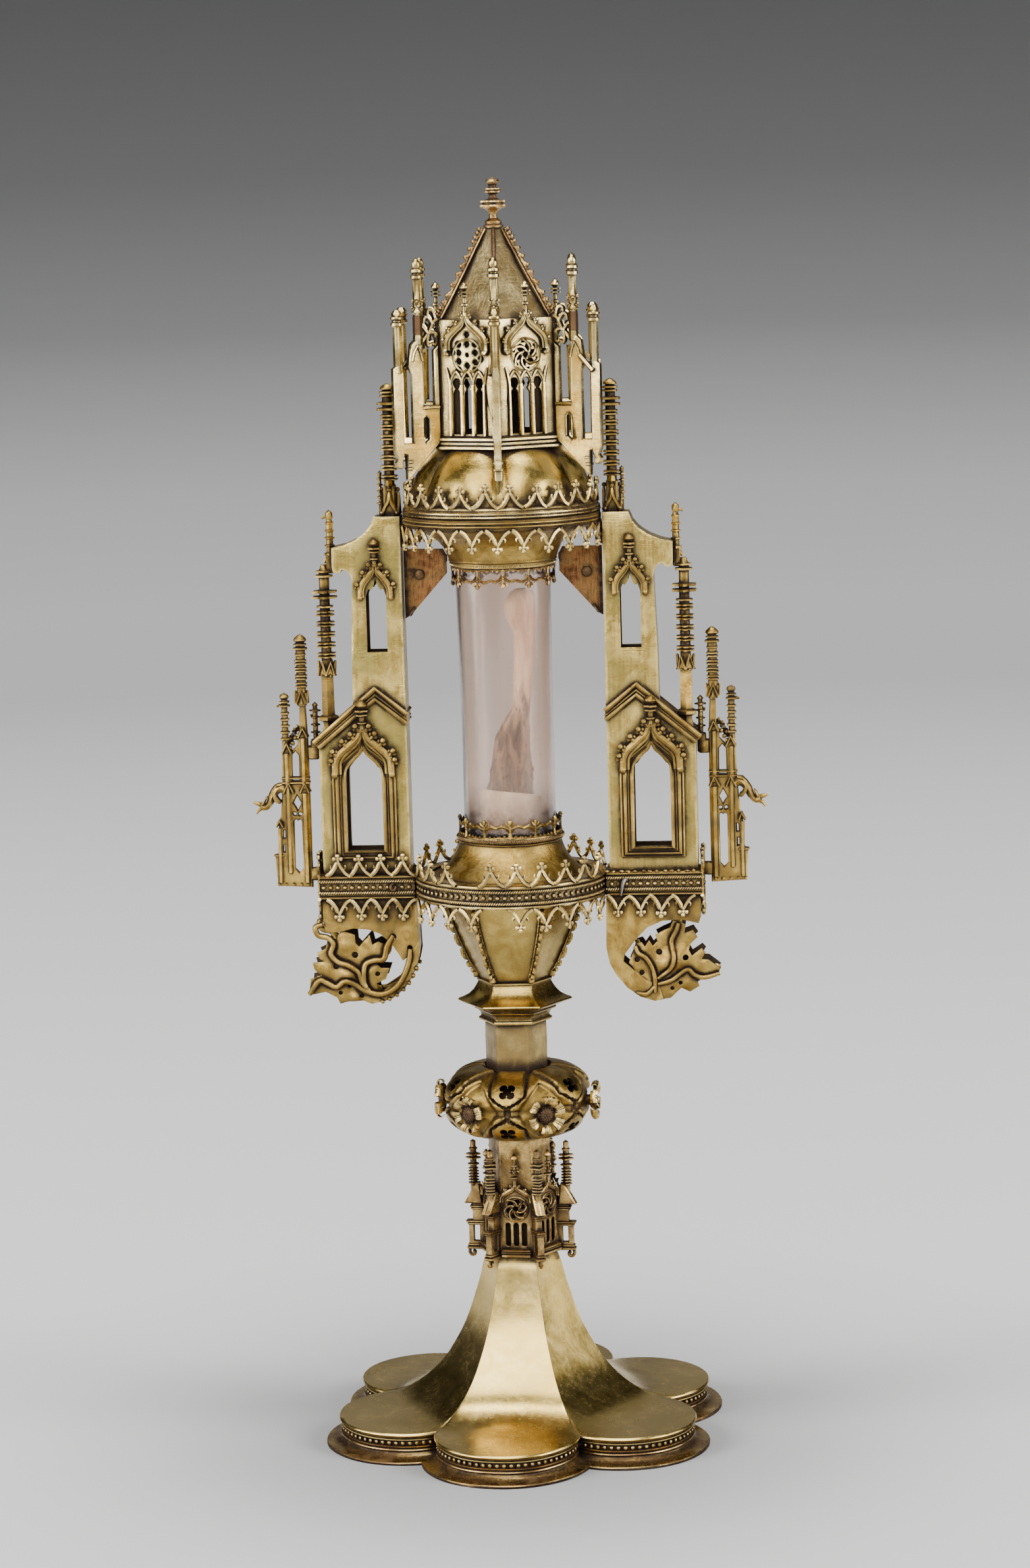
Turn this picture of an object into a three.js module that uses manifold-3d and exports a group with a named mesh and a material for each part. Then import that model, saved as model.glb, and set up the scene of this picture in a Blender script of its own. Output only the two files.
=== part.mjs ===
// A late Gothic tower reliquary of gilded metal: a six-lobed foot, a stem with a little chapel and a
// pierced knop, a gallery that carries a glass tube with a relic, two side towers, and a lid with a
// six-sided lantern. Millimetres, +Z up, origin on the floor under the middle of the foot. The front
// looks along -Y and the towers stand at -X and +X.
import * as THREE from "three";
import { mergeVertices } from "three/addons/utils/BufferGeometryUtils.js";
import Module from "manifold-3d";

const wasm = await Module();
wasm.setup();

// ---- Driving dimensions ----
const GAP = 0.3; // between pieces that are cut to each other
const SHEET = 1.2; // wall of raised and folded sheet
const ROUND = 24; // sides of a round piece

// foot
const FOOT_TOP = 72;
const LOBE_CENTRE = 50;
const LOBE_R = 29;
const FLANGE_R = 34.6;
const PLATE_Z = 11.2;
const TRUNK_CORNER = 14.4;
const LOBE_SIDES = 5;

// stem, chapel and knop
const STEM_CORNER = 12.4;
const CHAPEL_CORNER = 15.2;
const CHAPEL_EAVES = 96;
const CHAPEL_APEX = 101.5;
const KNOP_Z = 133.5;
const KNOP_HALF = 15;
const KNOP_R = 29;
const SHAFT_TURN = THREE.MathUtils.degToRad(-4.5); // the shaft sits a little turned under the gallery
const COLLAR_Z = 167;
const BOWL_Z = 184.3;
const BOWL_CORNER = [14.2, 26.9];

// gallery
const GALLERY_Z = 218;
const GALLERY_H = 9.5;
const GALLERY_R = 38.4;
const GALLERY_TOP = GALLERY_Z + GALLERY_H;
const CREST_UNITS = 24;
const CREST_H = 9.2;
const STRIP = 0.8; // thickness of a cresting strip

// tube
const SEAT_FLOOR = 238;
const SEAT_RIM = 242.6;
const TUBE_R = [18.1, 18.8]; // the tube widens a little upwards
const TUBE_WALL = 1.6;
const TUBE_TOP = 352;
const FLEURON_UNITS = 12;

// neck and lid
const NECK_Z = 350;
const BAND_Z = 365.7;
const BAND_TOP = 370.1;
const BAND_R = 39.1;
const LID_TURN = THREE.MathUtils.degToRad(3.5); // the lid is set down a little turned
const LID_Z = BAND_TOP + GAP;
const RIM_TOP = 374.6;
const LANTERN_Z = 396;
const LANTERN_CORNER = 26;
const LANTERN_TOP = 442;
const ROOF_APEX = 481;
const TOTAL = 500;

// side towers
const PLATFORM = { x0: 38.7, x1: 76.5, halfDepth: 8.5 };
const TOWER = { x0: 39.5, x1: 74.5, step: 60.2, halfDepth: 6 };
const NECK_TOP = 369.7;

// ---- Finishes ----
const finish = (color, metalness, roughness, more = {}) =>
  new THREE.MeshStandardMaterial({ color, metalness, roughness, ...more });
const gilt = finish(0xc9a75a, 1, 0.28);
const castGilt = finish(0x9c7736, 1, 0.42);
const copper = finish(0x7a4a2a, 0.8, 0.6);
const glass = finish(0xd9d3d0, 0, 0.1, { transparent: true, opacity: 0.35 });
const bone = finish(0xb99a78, 0, 0.7);
const vellum = finish(0xcfc4b4, 0, 0.8);

// ---- Shaping helpers ----
const { degToRad } = THREE.MathUtils;
const SIXTHS = [0, 1, 2, 3, 4, 5];
const point = ([x, y]) => new THREE.Vector2(x, y);

// The closed solid that a geometry bounds, with its faces turned outwards.
function solid(geometry) {
  const bare = geometry.index ? geometry.toNonIndexed() : geometry.clone();
  for (const name of Object.keys(bare.attributes))
    if (name !== "position") bare.deleteAttribute(name);
  const merged = mergeVertices(bare, 1e-3);
  const vertProperties = merged.attributes.position.array;
  const kept = [];
  let volume = 0;
  for (let i = 0; i < merged.index.count; i += 3) {
    const corner = [0, 1, 2].map((n) => merged.index.getX(i + n));
    if (new Set(corner).size < 3) continue;
    kept.push(...corner);
    const [a, b, c] = corner.map((n) => new THREE.Vector3().fromArray(vertProperties, n * 3));
    volume += a.dot(b.cross(c));
  }
  if (volume < 0) kept.reverse();
  return new wasm.Manifold(
    new wasm.Mesh({ numProp: 3, vertProperties, triVerts: new Uint32Array(kept) }),
  );
}

// A named mesh with flat faces, from a solid.
function piece(name, made, material) {
  const mesh = made.asOriginal().simplify(0.02).getMesh();
  const geometry = new THREE.BufferGeometry()
    .setAttribute("position", new THREE.Float32BufferAttribute(mesh.vertProperties, 3))
    .setIndex([...mesh.triVerts])
    .toNonIndexed();
  geometry.computeVertexNormals();
  const shown = new THREE.Mesh(geometry, material);
  shown.name = name;
  return shown;
}

const joined = (solids) => solids.reduce((all, next) => all.add(next));
const without = (body, cuts) => cuts.reduce((left, cut) => left.subtract(cut), body);

// A turned or many-sided body about Z. Its profile is [radius, z] from the axis to the axis, or a
// closed loop. The first corner is at the angle start from the front, towards +X.
function turned(profile, sides, start = 0) {
  const ends = [profile[0], profile[profile.length - 1]];
  const loop = ends.every(([r]) => r === 0) ? profile : [...profile, profile[0]];
  return new THREE.LatheGeometry(loop.map(point), sides, start).rotateX(Math.PI / 2);
}

// A flat plate in the XZ plane, with its middle at y.
function plate(outline, thickness, y = 0) {
  const shape = new THREE.Shape(outline.map(point));
  return new THREE.ExtrudeGeometry(shape, { depth: thickness, bevelEnabled: false })
    .translate(0, 0, -thickness / 2 - y)
    .rotateX(Math.PI / 2);
}

// The same plate with holes cut through it, as a solid.
const pierced = (outline, thickness, holes, y = 0) =>
  without(
    solid(plate(outline, thickness, y)),
    holes.map((hole) => solid(plate(hole, thickness + 1, y))),
  );

// Turns a plate whose +X points outwards to the angle from the front, towards +X.
const facing = (geometry, angle) => geometry.clone().rotateZ(angle - Math.PI / 2);

// The skin between rows of points; the first and last row are closed flat, or joined to each other.
function loft(rows, ring = false) {
  const count = rows[0].length;
  const faces = [];
  const put = (...corners) => corners.forEach((c) => faces.push(...c.toArray()));
  const strips = ring ? rows.length : rows.length - 1;
  for (let i = 0; i < strips; i++) {
    const [low, high] = [rows[i], rows[(i + 1) % rows.length]];
    for (let j = 0; j < count; j++) {
      const k = (j + 1) % count;
      put(low[j], low[k], high[k]);
      put(low[j], high[k], high[j]);
    }
  }
  if (!ring)
    for (let j = 1; j < count - 1; j++) {
      const [first, last] = [rows[0], rows[rows.length - 1]];
      put(first[0], first[j + 1], first[j]);
      put(last[0], last[j], last[j + 1]);
    }
  return new THREE.BufferGeometry().setAttribute(
    "position",
    new THREE.Float32BufferAttribute(faces, 3),
  );
}

// Stands a strip of units that are 1 mm wide along a path, with one unit from corner to corner.
function along(path, geometry) {
  const at = geometry.attributes.position;
  const across = (n) => new THREE.Vector2(path[n + 1].y - path[n].y, path[n].x - path[n + 1].x);
  for (let i = 0; i < at.count; i++) {
    const unit = Math.min(Math.round(at.getX(i) * 2) >> 1, path.length - 2);
    const share = at.getX(i) - unit;
    const middle = path[unit].clone().lerp(path[unit + 1], share);
    const out = across(unit).normalize();
    if (unit > 0 && share < 0.1) {
      const before = across(unit - 1).normalize();
      out.add(before).divideScalar(out.dot(before));
    }
    middle.addScaledVector(out, -at.getY(i));
    at.setXY(i, middle.x, middle.y);
  }
  return geometry;
}

// The corners of a many-sided ring round Z, from one angle to another.
const arc = (radius, from, to, units) =>
  Array.from({ length: units + 1 }, (_, i) => {
    const angle = from + ((to - from) * i) / units;
    return new THREE.Vector2(radius * Math.sin(angle), -radius * Math.cos(angle));
  });

const rectangle = (x0, z0, x1, z1) => [
  [x0, z0],
  [x1, z0],
  [x1, z1],
  [x0, z1],
];
const polygon = (x, z, r, sides) =>
  Array.from({ length: sides }, (_, i) => [
    x + r * Math.sin((2 * Math.PI * i) / sides),
    z + r * Math.cos((2 * Math.PI * i) / sides),
  ]);
const lancet = (x, z0, z1, width) => [
  ...rectangle(x - width / 2, z0, x + width / 2, z1 - width / 2).slice(0, 3),
  [x, z1],
  [x - width / 2, z1 - width / 2],
];

// An S-shaped arch from one springing over its point to the other.
function ogee(x, halfWidth, z0, z1, steps = 3) {
  const side = Array.from({ length: steps + 1 }, (_, i) => {
    const t = i / steps;
    return [(halfWidth * (1 + Math.cos(Math.PI * t))) / 2, z0 + (z1 - z0) * t];
  });
  const left = side.map(([dx, z]) => [x - dx, z]);
  const right = side.slice(0, -1).map(([dx, z]) => [x + dx, z]);
  return [...left, ...right.reverse()];
}

// Open pointed arches along a path, standing on z (or hanging from it, with down).
function cresting(path, height, z, down = false) {
  const way = down ? -1 : 1;
  const top = [[0, height * 0.3]];
  const bottom = [[0, 0]];
  for (let i = 0; i < path.length - 1; i++) {
    top.push([i + 0.5, height], [i + 1, height * 0.3]);
    bottom.push([i + 0.5, height * 0.5], [i + 1, 0]);
  }
  const outline = [...top, ...bottom.reverse()].map(([x, up]) => [x, z + way * up]);
  return solid(along(path, plate(outline, STRIP)));
}

// A row of leaf buds on a thin radial fin, along a slope from one [radius, z] to another.
function crocketRib(from, to, buds, reach, thickness) {
  const along = new THREE.Vector2(to[0] - from[0], to[1] - from[1]);
  const out = new THREE.Vector2(along.y, -along.x).normalize();
  if (out.x < 0) out.negate();
  const at = (t, offset) => [
    from[0] + along.x * t + out.x * offset,
    from[1] + along.y * t + out.y * offset,
  ];
  const edge = Array.from({ length: 2 * buds + 1 }, (_, i) =>
    at(i / (2 * buds), i % 2 ? reach : reach * 0.3),
  );
  return plate([at(0, -1), ...edge, at(1, -1)], thickness);
}

// Rows of a spire: shaft with a knop at each of the places, then a pointed tip.
function crockets(z0, z1, count, shaft, reach) {
  const step = (z1 - z0) / count;
  return Array.from({ length: count }, (_, i) => [
    [shaft, z0 + step * i],
    [reach, z0 + step * (i + 0.5)],
  ]).flat();
}

// ---- Foot ----
const cusp = (r) => LOBE_CENTRE * Math.cos(Math.PI / 6) + Math.sqrt(r * r - LOBE_CENTRE ** 2 / 4);

// One level of the foot: flat-sided with the corner radius given, and swollen by lobes.
function footRow(z, corner, swell) {
  const chord = corner * Math.cos(Math.PI / 6);
  return SIXTHS.flatMap((sixth) =>
    Array.from({ length: LOBE_SIDES }, (_, i) => {
      const half = (Math.PI * i) / LOBE_SIDES;
      const out = chord + swell * Math.sin(half);
      const aside = (-corner / 2) * Math.cos(half);
      const turn = (sixth * Math.PI) / 3;
      return new THREE.Vector3(
        out * Math.sin(turn) + aside * Math.cos(turn),
        -out * Math.cos(turn) + aside * Math.sin(turn),
        z,
      );
    }),
  );
}

const lobedRow = (z, r) =>
  footRow(z, cusp(r), LOBE_CENTRE + r - cusp(r) * Math.cos(Math.PI / 6));

// The trunk sweeps out from the stem to the lobes; t is 0 at its top and 1 at the plate's edge.
function trunkRow(t, inwards) {
  const z = FOOT_TOP - t * (FOOT_TOP - PLATE_Z) - inwards;
  const corner = TRUNK_CORNER + 15 * t + (cusp(LOBE_R) - TRUNK_CORNER - 15) * t ** 4.4;
  const swell = (LOBE_CENTRE + LOBE_R - cusp(LOBE_R) * Math.cos(Math.PI / 6)) * t ** 24;
  return footRow(z, corner - inwards, swell);
}

function foot() {
  const outside = [0, 0.16, 0.42, 0.66, 0.82, 0.93, 1];
  const inside = [0.95, 0.82, 0.66, 0.42, 0.02];
  const riser = [
    [PLATE_Z - 1.2, LOBE_R - 1],
    [5.2, LOBE_R - 1.4],
    [1.4, LOBE_R + 1.6],
    [1.1, FLANGE_R],
    [0, FLANGE_R],
    [0, LOBE_R],
  ];
  return loft([
    ...outside.map((t) => trunkRow(t, 0)),
    ...riser.map(([z, r]) => lobedRow(z, r)),
    ...inside.map((t) => trunkRow(t, SHEET + 0.4)),
  ]);
}

// ---- Six-sided walls with tracery, for the chapel and the lantern ----
// A flat side faces the front. Each side has three lancet lights under a round one.
function tracedWalls({ corner, z0, z1, lights, rose, wall }) {
  const ring = turned(
    [
      [corner - wall, z0],
      [corner, z0],
      [corner, z1],
      [corner - wall, z1],
    ],
    6,
    Math.PI / 6,
  );
  const holes = [-1, 0, 1].map((n) =>
    lancet(n * lights.pitch, lights.z0, lights.z1, lights.width),
  );
  holes.push(polygon(0, rose.z, rose.r, 6));
  const cuts = holes.flatMap((hole) => {
    const cut = solid(plate(hole, 3 * corner));
    return [0, 60, 120].map((angle) => cut.rotate([0, 0, angle]));
  });
  return without(solid(ring), cuts);
}

const sixTimes = (made) => SIXTHS.map((n) => made.rotate([0, 0, 60 * n]));

// ---- Chapel round the stem ----
function chapelButtress() {
  const z = FOOT_TOP;
  const pier = pierced(
    [
      [14.6, z],
      [21.4, z],
      [20.8, z + 3],
      [21.6, z + 12],
      [18.9, z + 14],
      [21.2, z + 21],
      [18.4, z + 26],
      [14.6, z + 26],
    ],
    2.6,
    [rectangle(16.6, z + 3, 18.9, z + 10.2)],
  );
  const spire = turned(
    [
      [0, z + 24],
      [1.9, z + 24],
      [1.3, z + 37],
      [3, z + 40.5],
      [0.9, z + 42.5],
      [0, z + 45.6],
    ],
    4,
  ).translate(17, 0, 0);
  return pier.add(solid(spire));
}

function chapel() {
  const walls = tracedWalls({
    corner: CHAPEL_CORNER,
    z0: FOOT_TOP,
    z1: CHAPEL_EAVES,
    lights: { pitch: 3.2, z0: 77, z1: 86.8, width: 1.9 },
    rose: { z: 91.6, r: 3.6 },
    wall: 2,
  });
  const base = turned(
    [
      [13, FOOT_TOP],
      [16.8, FOOT_TOP],
      [16.4, FOOT_TOP + 3.4],
      [13, FOOT_TOP + 3.4],
    ],
    6,
    Math.PI / 6,
  );
  const apothem = CHAPEL_CORNER * Math.cos(Math.PI / 6);
  const gable = plate(
    [
      [-6.4, CHAPEL_EAVES - 1],
      [6.4, CHAPEL_EAVES - 1],
      [0, CHAPEL_APEX],
    ],
    1.2,
    -apothem + 0.8,
  );
  return joined([
    walls,
    solid(base),
    ...sixTimes(solid(gable)),
    ...sixTimes(chapelButtress()),
  ]);
}

// ---- Knop ----
function knop() {
  const columns = ROUND;
  const row = (z, radius) =>
    Array.from({ length: columns }, (_, i) => {
      const angle = (2 * Math.PI * i) / columns;
      const r = radius(angle);
      return new THREE.Vector3(r * Math.sin(angle), -r * Math.cos(angle), z);
    });
  const bore = STEM_CORNER + GAP + 0.1;
  const hexagon = (angle) => {
    const fold = ((angle % (Math.PI / 3)) + Math.PI / 3) % (Math.PI / 3);
    const flat = Math.min(fold, Math.PI / 3 - fold);
    return (bore * Math.cos(Math.PI / 6)) / Math.cos(flat);
  };
  const inner = bore + 1.4;
  const rise = [-90, -58, -30, -10, 10, 30, 58, 90].map(degToRad);
  const outside = rise.map((tilt) => {
    const r = inner + (KNOP_R - inner) * Math.cos(tilt);
    const lobe = 1.1 * Math.sin(2 * Math.abs(tilt));
    return row(KNOP_Z + KNOP_HALF * Math.sin(tilt), (angle) => r + lobe * Math.cos(6 * angle));
  });
  const body = solid(
    loft(
      [
        row(KNOP_Z - KNOP_HALF, hexagon),
        ...outside,
        row(KNOP_Z + KNOP_HALF, hexagon),
      ],
      true,
    ),
  );
  const eye = (up) =>
    SIXTHS.map((n) => {
      const tilt = degToRad(42) * up;
      const cut = new THREE.CylinderGeometry(2.8, 2.8, 5, 4);
      cut.rotateX(Math.PI / 2 + tilt);
      const r = inner + (KNOP_R - inner) * Math.cos(tilt) + 0.6;
      cut.translate(0, -r, KNOP_Z + KNOP_HALF * Math.sin(tilt));
      return solid(cut.rotateZ((n * Math.PI) / 3));
    });
  return without(body, [...eye(1), ...eye(-1)]);
}

// Six-petalled flower on the knop's waist, facing +X before it is turned into place.
function rosette() {
  const star = Array.from({ length: 12 }, (_, i) => {
    const r = i % 2 ? 4.2 : 7.4;
    const angle = (Math.PI * i) / 6;
    return [r * Math.sin(angle), r * Math.cos(angle)];
  });
  const petals = plate(star, 1.6).rotateZ(-Math.PI / 2);
  const boss = turned(
    [
      [0, 0],
      [3.2, 0],
      [0, 3.2],
    ],
    6,
  ).rotateY(Math.PI / 2);
  return solid(petals).add(solid(boss)).translate([KNOP_R + 2, 0, KNOP_Z]);
}

// ---- Collar and bowl, six-sided with a flat to the front ----
function collar() {
  const z = COLLAR_Z;
  return turned(
    [
      [0, z],
      [13.8, z],
      [14.7, z + 1.2],
      [14.2, z + 2.4],
      [16.4, z + 6],
      [23, z + 8.6],
      [23, z + 9.6],
      [18.4, z + 11.4],
      [14.6, z + 15.2],
      [14.9, BOWL_Z],
      [0, BOWL_Z],
    ],
    6,
    Math.PI / 6,
  );
}

function bowl() {
  const [low, high] = BOWL_CORNER;
  const cone = turned(
    [
      [0, BOWL_Z],
      [low, BOWL_Z],
      [high, GALLERY_Z],
      [0, GALLERY_Z],
    ],
    6,
    Math.PI / 6,
  );
  const rib = crocketRib([low + 0.3, BOWL_Z + 0.8], [high - 0.8, GALLERY_Z - 2.6], 5, 2.2, 1.4);
  const ribs = SIXTHS.map((n) => solid(facing(rib, Math.PI / 6 + (n * Math.PI) / 3)));
  return joined([solid(cone), ...ribs]);
}

// ---- Gallery round the tube's seat ----
function gallery() {
  return turned(
    [
      [0, GALLERY_Z],
      [GALLERY_R, GALLERY_Z],
      [GALLERY_R, GALLERY_TOP],
      [GALLERY_R - 1.6, GALLERY_TOP],
      [GALLERY_R - 1.6, GALLERY_TOP - 1.3],
      [0, GALLERY_TOP - 1.3],
    ],
    ROUND,
  );
}

// Half a ring of cresting, between the two platforms.
function galleryCresting(middle, down) {
  const half = degToRad(75);
  const path = arc(GALLERY_R - STRIP / 2, middle - half, middle + half, 10);
  return cresting(path, CREST_H, down ? GALLERY_Z : GALLERY_TOP, down);
}

function seat() {
  const z = GALLERY_TOP - 1.3;
  return turned(
    [
      [0, z],
      [28.6, z],
      [24, z + 4],
      [20.2, SEAT_RIM - 3],
      [21.6, SEAT_RIM - 1.4],
      [21.6, SEAT_RIM],
      [TUBE_R[0] + 0.6, SEAT_RIM],
      [TUBE_R[0] + 0.6, SEAT_FLOOR],
      [0, SEAT_FLOOR],
    ],
    ROUND,
  );
}

// A full ring of cresting with a small open joint at the back.
function ringCresting(units, radius, height, z, down) {
  const joint = 0.15 / radius;
  return cresting(arc(radius, joint - Math.PI, Math.PI - joint, units), height, z, down);
}

function tube() {
  const [low, high] = TUBE_R;
  return turned(
    [
      [low, SEAT_FLOOR],
      [high, TUBE_TOP - 6],
      [high, TUBE_TOP],
      [high - TUBE_WALL, TUBE_TOP],
      [low - TUBE_WALL, SEAT_FLOOR],
    ],
    ROUND,
  );
}

// ---- Relic ----
const TRAY = { x: 24.5, y: 17, top: 261 };

function tray() {
  const block = new THREE.BoxGeometry(TRAY.x, TRAY.y, TRAY.top - SEAT_FLOOR);
  block.translate(0, 0, (TRAY.top + SEAT_FLOOR) / 2);
  const recess = new THREE.BoxGeometry(TRAY.x - 2.4, TRAY.y - 2.4, 6);
  recess.translate(0, 0, TRAY.top);
  return solid(block).subtract(solid(recess));
}

// A long bone with a rounded head on top and a broken, spreading lower end.
function relic() {
  const rows = [
    { z: TRAY.top - 3, x: 0, w: 9.4, d: 6 },
    { z: 272, x: 0.4, w: 8.8, d: 6 },
    { z: 285, x: 2.4, w: 7, d: 5.4 },
    { z: 296, x: 6.6, w: 3.8, d: 3.8 },
    { z: 321, x: 7.4, w: 3.8, d: 3.8 },
    { z: 328, x: 6.4, w: 5.8, d: 5.2 },
    { z: 335, x: 6, w: 6.2, d: 5.6 },
    { z: 340, x: 7, w: 3.6, d: 3.4 },
  ];
  const sides = 7;
  return loft(
    rows.map(({ z, x, w, d }) =>
      Array.from({ length: sides }, (_, i) => {
        const angle = (2 * Math.PI * (i + 0.5)) / sides;
        return new THREE.Vector3(x + w * Math.cos(angle), d * Math.sin(angle), z);
      }),
    ),
  );
}

// ---- Neck above the tube ----
function neck() {
  return turned(
    [
      [19.2, NECK_Z],
      [21.8, NECK_Z],
      [20.9, NECK_Z + 2.2],
      [24.5, NECK_Z + 9],
      [29.5, NECK_Z + 12.8],
      [37.6, BAND_Z],
      [BAND_R, BAND_Z],
      [BAND_R, BAND_TOP],
      [BAND_R - 2, BAND_TOP],
      [28, NECK_Z + 14],
      [19.2, NECK_Z + 4],
    ],
    ROUND,
  );
}

// ---- Lid ----
// One level of the dome, pinched at the six corners by the share given.
function domeRow(z, radius, pinch) {
  return Array.from({ length: ROUND }, (_, i) => {
    const angle = (2 * Math.PI * i) / ROUND;
    const r = radius * (1 - pinch * (1 - Math.abs(Math.sin(3 * angle))));
    return new THREE.Vector3(r * Math.sin(angle), -r * Math.cos(angle), z);
  });
}

function lidDome() {
  const rows = [
    [LID_Z, BAND_R, 0],
    [RIM_TOP, BAND_R, 0],
    [RIM_TOP, 35.2, 0],
    [386, 34.2, 0.08],
    [392.5, 31, 0.09],
    [LANTERN_Z - GAP, 25.4, 0],
    [LANTERN_Z - 1.9, 22, 0],
    [386, 32, 0.09],
    [RIM_TOP, 33.4, 0],
    [LID_Z, 37.2, 0],
  ];
  return loft(
    rows.map(([z, r, pinch]) => domeRow(z, r, pinch)),
    true,
  );
}

function lantern() {
  const walls = tracedWalls({
    corner: LANTERN_CORNER,
    z0: LANTERN_Z,
    z1: LANTERN_TOP,
    lights: { pitch: 5.3, z0: 401.8, z1: 424, width: 3.4 },
    rose: { z: 431.4, r: 5.6 },
    wall: SHEET + 0.2,
  });
  const face = -LANTERN_CORNER * Math.cos(Math.PI / 6) - 0.45;
  const arch = ogee(0, 11.6, 433.5, 450, 2);
  const under = ogee(0, 9.2, 432, 444.4, 2).reverse();
  const hood = plate([...arch, ...under], 1, face);
  const bud = turned(
    [
      [0, 446],
      [0.9, 446],
      [2.1, 456.6],
      [0, 460.4],
    ],
    4,
  ).translate(0, face, 0);
  const sill = turned(
    [
      [LANTERN_CORNER - 2, LANTERN_Z],
      [LANTERN_CORNER + 0.6, LANTERN_Z],
      [LANTERN_CORNER + 0.2, LANTERN_Z + 4.8],
      [LANTERN_CORNER - 2, LANTERN_Z + 4.8],
    ],
    6,
    Math.PI / 6,
  );
  return joined([
    walls,
    solid(sill),
    ...sixTimes(solid(hood)),
    ...sixTimes(solid(bud)),
  ]).rotate([0, 0, 30]);
}

// A pierced plate with two pinnacles that stands out from a corner of the lantern.
function lidButtress() {
  const r = LANTERN_CORNER + 0.6 + GAP;
  return pierced(
    [
      [r, 402],
      [39.6, 386.4],
      [41, 394],
      [43.4, 390.6],
      [46.8, 391.4],
      [46.2, 445],
      [43.4, 450.4],
      [40.7, 445],
      [40.7, 431],
      [37.4, 438],
      [37.4, 455],
      [35.4, 468.5],
      [33.4, 455],
      [33.4, 441],
      [29.6, 444.6],
      [r, 439],
    ],
    2.4,
    [rectangle(28.4, 413.4, 33.4, 434.4), rectangle(38, 399.4, 42.2, 425.4)],
  );
}

function roof() {
  const base = 25.6;
  const top = 2.6;
  const pyramid = turned(
    [
      [0, LANTERN_TOP + GAP],
      [base, LANTERN_TOP + GAP],
      [top, ROOF_APEX],
      [0, ROOF_APEX],
    ],
    6,
  );
  const rib = crocketRib([base - 2.2, LANTERN_TOP + 4], [top + 0.2, ROOF_APEX - 1], 6, 1.8, 1.2);
  const ribs = SIXTHS.map((n) => solid(facing(rib, (n * Math.PI) / 3)));
  return joined([solid(pyramid), ...ribs]);
}

function finial() {
  const z = ROOF_APEX;
  return turned(
    [
      [0, z],
      [3.4, z],
      [3.2, z + 2.6],
      [1.8, z + 3.4],
      [2, z + 6],
      [5.6, z + 8],
      [5.6, z + 10],
      [1.7, z + 11],
      [3.6, z + 13],
      [3.2, z + 14.6],
      [1.3, z + 15.4],
      [2.5, z + 17.6],
      [0, TOTAL],
    ],
    6,
  );
}

// ---- Side tower, made at +X ----
function platform() {
  const { x0, x1, halfDepth } = PLATFORM;
  const block = new THREE.BoxGeometry(x1 - x0 + 4, 2 * halfDepth, GALLERY_H);
  block.translate((x0 + x1 - 4) / 2, 0, GALLERY_Z + GALLERY_H / 2);
  const clear = GALLERY_R + GAP;
  const drum = turned(
    [
      [0, GALLERY_Z - 1],
      [clear, GALLERY_Z - 1],
      [clear, GALLERY_TOP + 1],
      [0, GALLERY_TOP + 1],
    ],
    ROUND,
  );
  return solid(block).subtract(solid(drum));
}

// Cresting round the front, the end and the back of the platform. Where the front is lost, only
// the rail it stood on is left there.
function platformCresting(down, lostFront) {
  const { x0, x1, halfDepth } = PLATFORM;
  const z = down ? GALLERY_Z : GALLERY_TOP;
  const side = halfDepth - STRIP / 2;
  const [start, end] = [x0 + 0.6, x1 - STRIP / 2];
  const steps = [0, 1, 2, 3].map((n) => start + ((end - start) * n) / 4);
  const front = steps.map((x) => [x, -side]);
  const back = steps.map((x) => [x, side]).reverse();
  const bend = [
    [end, -side],
    [end, 0],
    [end, side],
  ];
  const path = [...(lostFront ? [] : front), ...bend, ...back].map(point);
  const strip = cresting(path, CREST_H, z, down);
  const rail = plate(rectangle(start, z, end, z + 1.4), STRIP, -side);
  return lostFront ? strip.add(solid(rail)) : strip;
}

// Two sheets, cut as a bracket that ends in a leaf, held apart by a strip along their inner edge.
function bracket() {
  const inner = 38.2;
  const depth = 14;
  const curve = (shift) =>
    new THREE.SplineCurve(
      [
        [inner, 200],
        [inner + 0.6, 192],
        [inner + 4.6, 184],
        [inner + 12.6, 177],
        [inner + 19.5, 175.2],
      ].map(([x, z]) => point([x + shift, z + shift * 0.8])),
    )
      .getPoints(6)
      .map((p) => p.toArray());
  const outer = [
    [inner, GALLERY_Z],
    ...curve(0),
    [64, 176],
    [72, 180.4],
    [83.4, 186.2],
    [78, 189.4],
    [79.4, 194.6],
    [74, 196],
    [75, 203],
    [69.4, 201.4],
    [67, 207.4],
    [74, 206.8],
    [74, GALLERY_Z],
  ];
  const gap = [
    [44.6, 191.6],
    [50.4, 200.6],
    [60.4, 206.2],
    [57, 200.4],
    [52.4, 200.8],
    [48.2, 193.4],
  ];
  const open = [
    [inner + SHEET, GALLERY_Z - SHEET],
    ...curve(SHEET),
    [90, 172],
    [90, GALLERY_Z - SHEET],
  ];
  return pierced(outer, depth, [gap]).subtract(solid(plate(open, depth - 2 * SHEET)));
}

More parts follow.
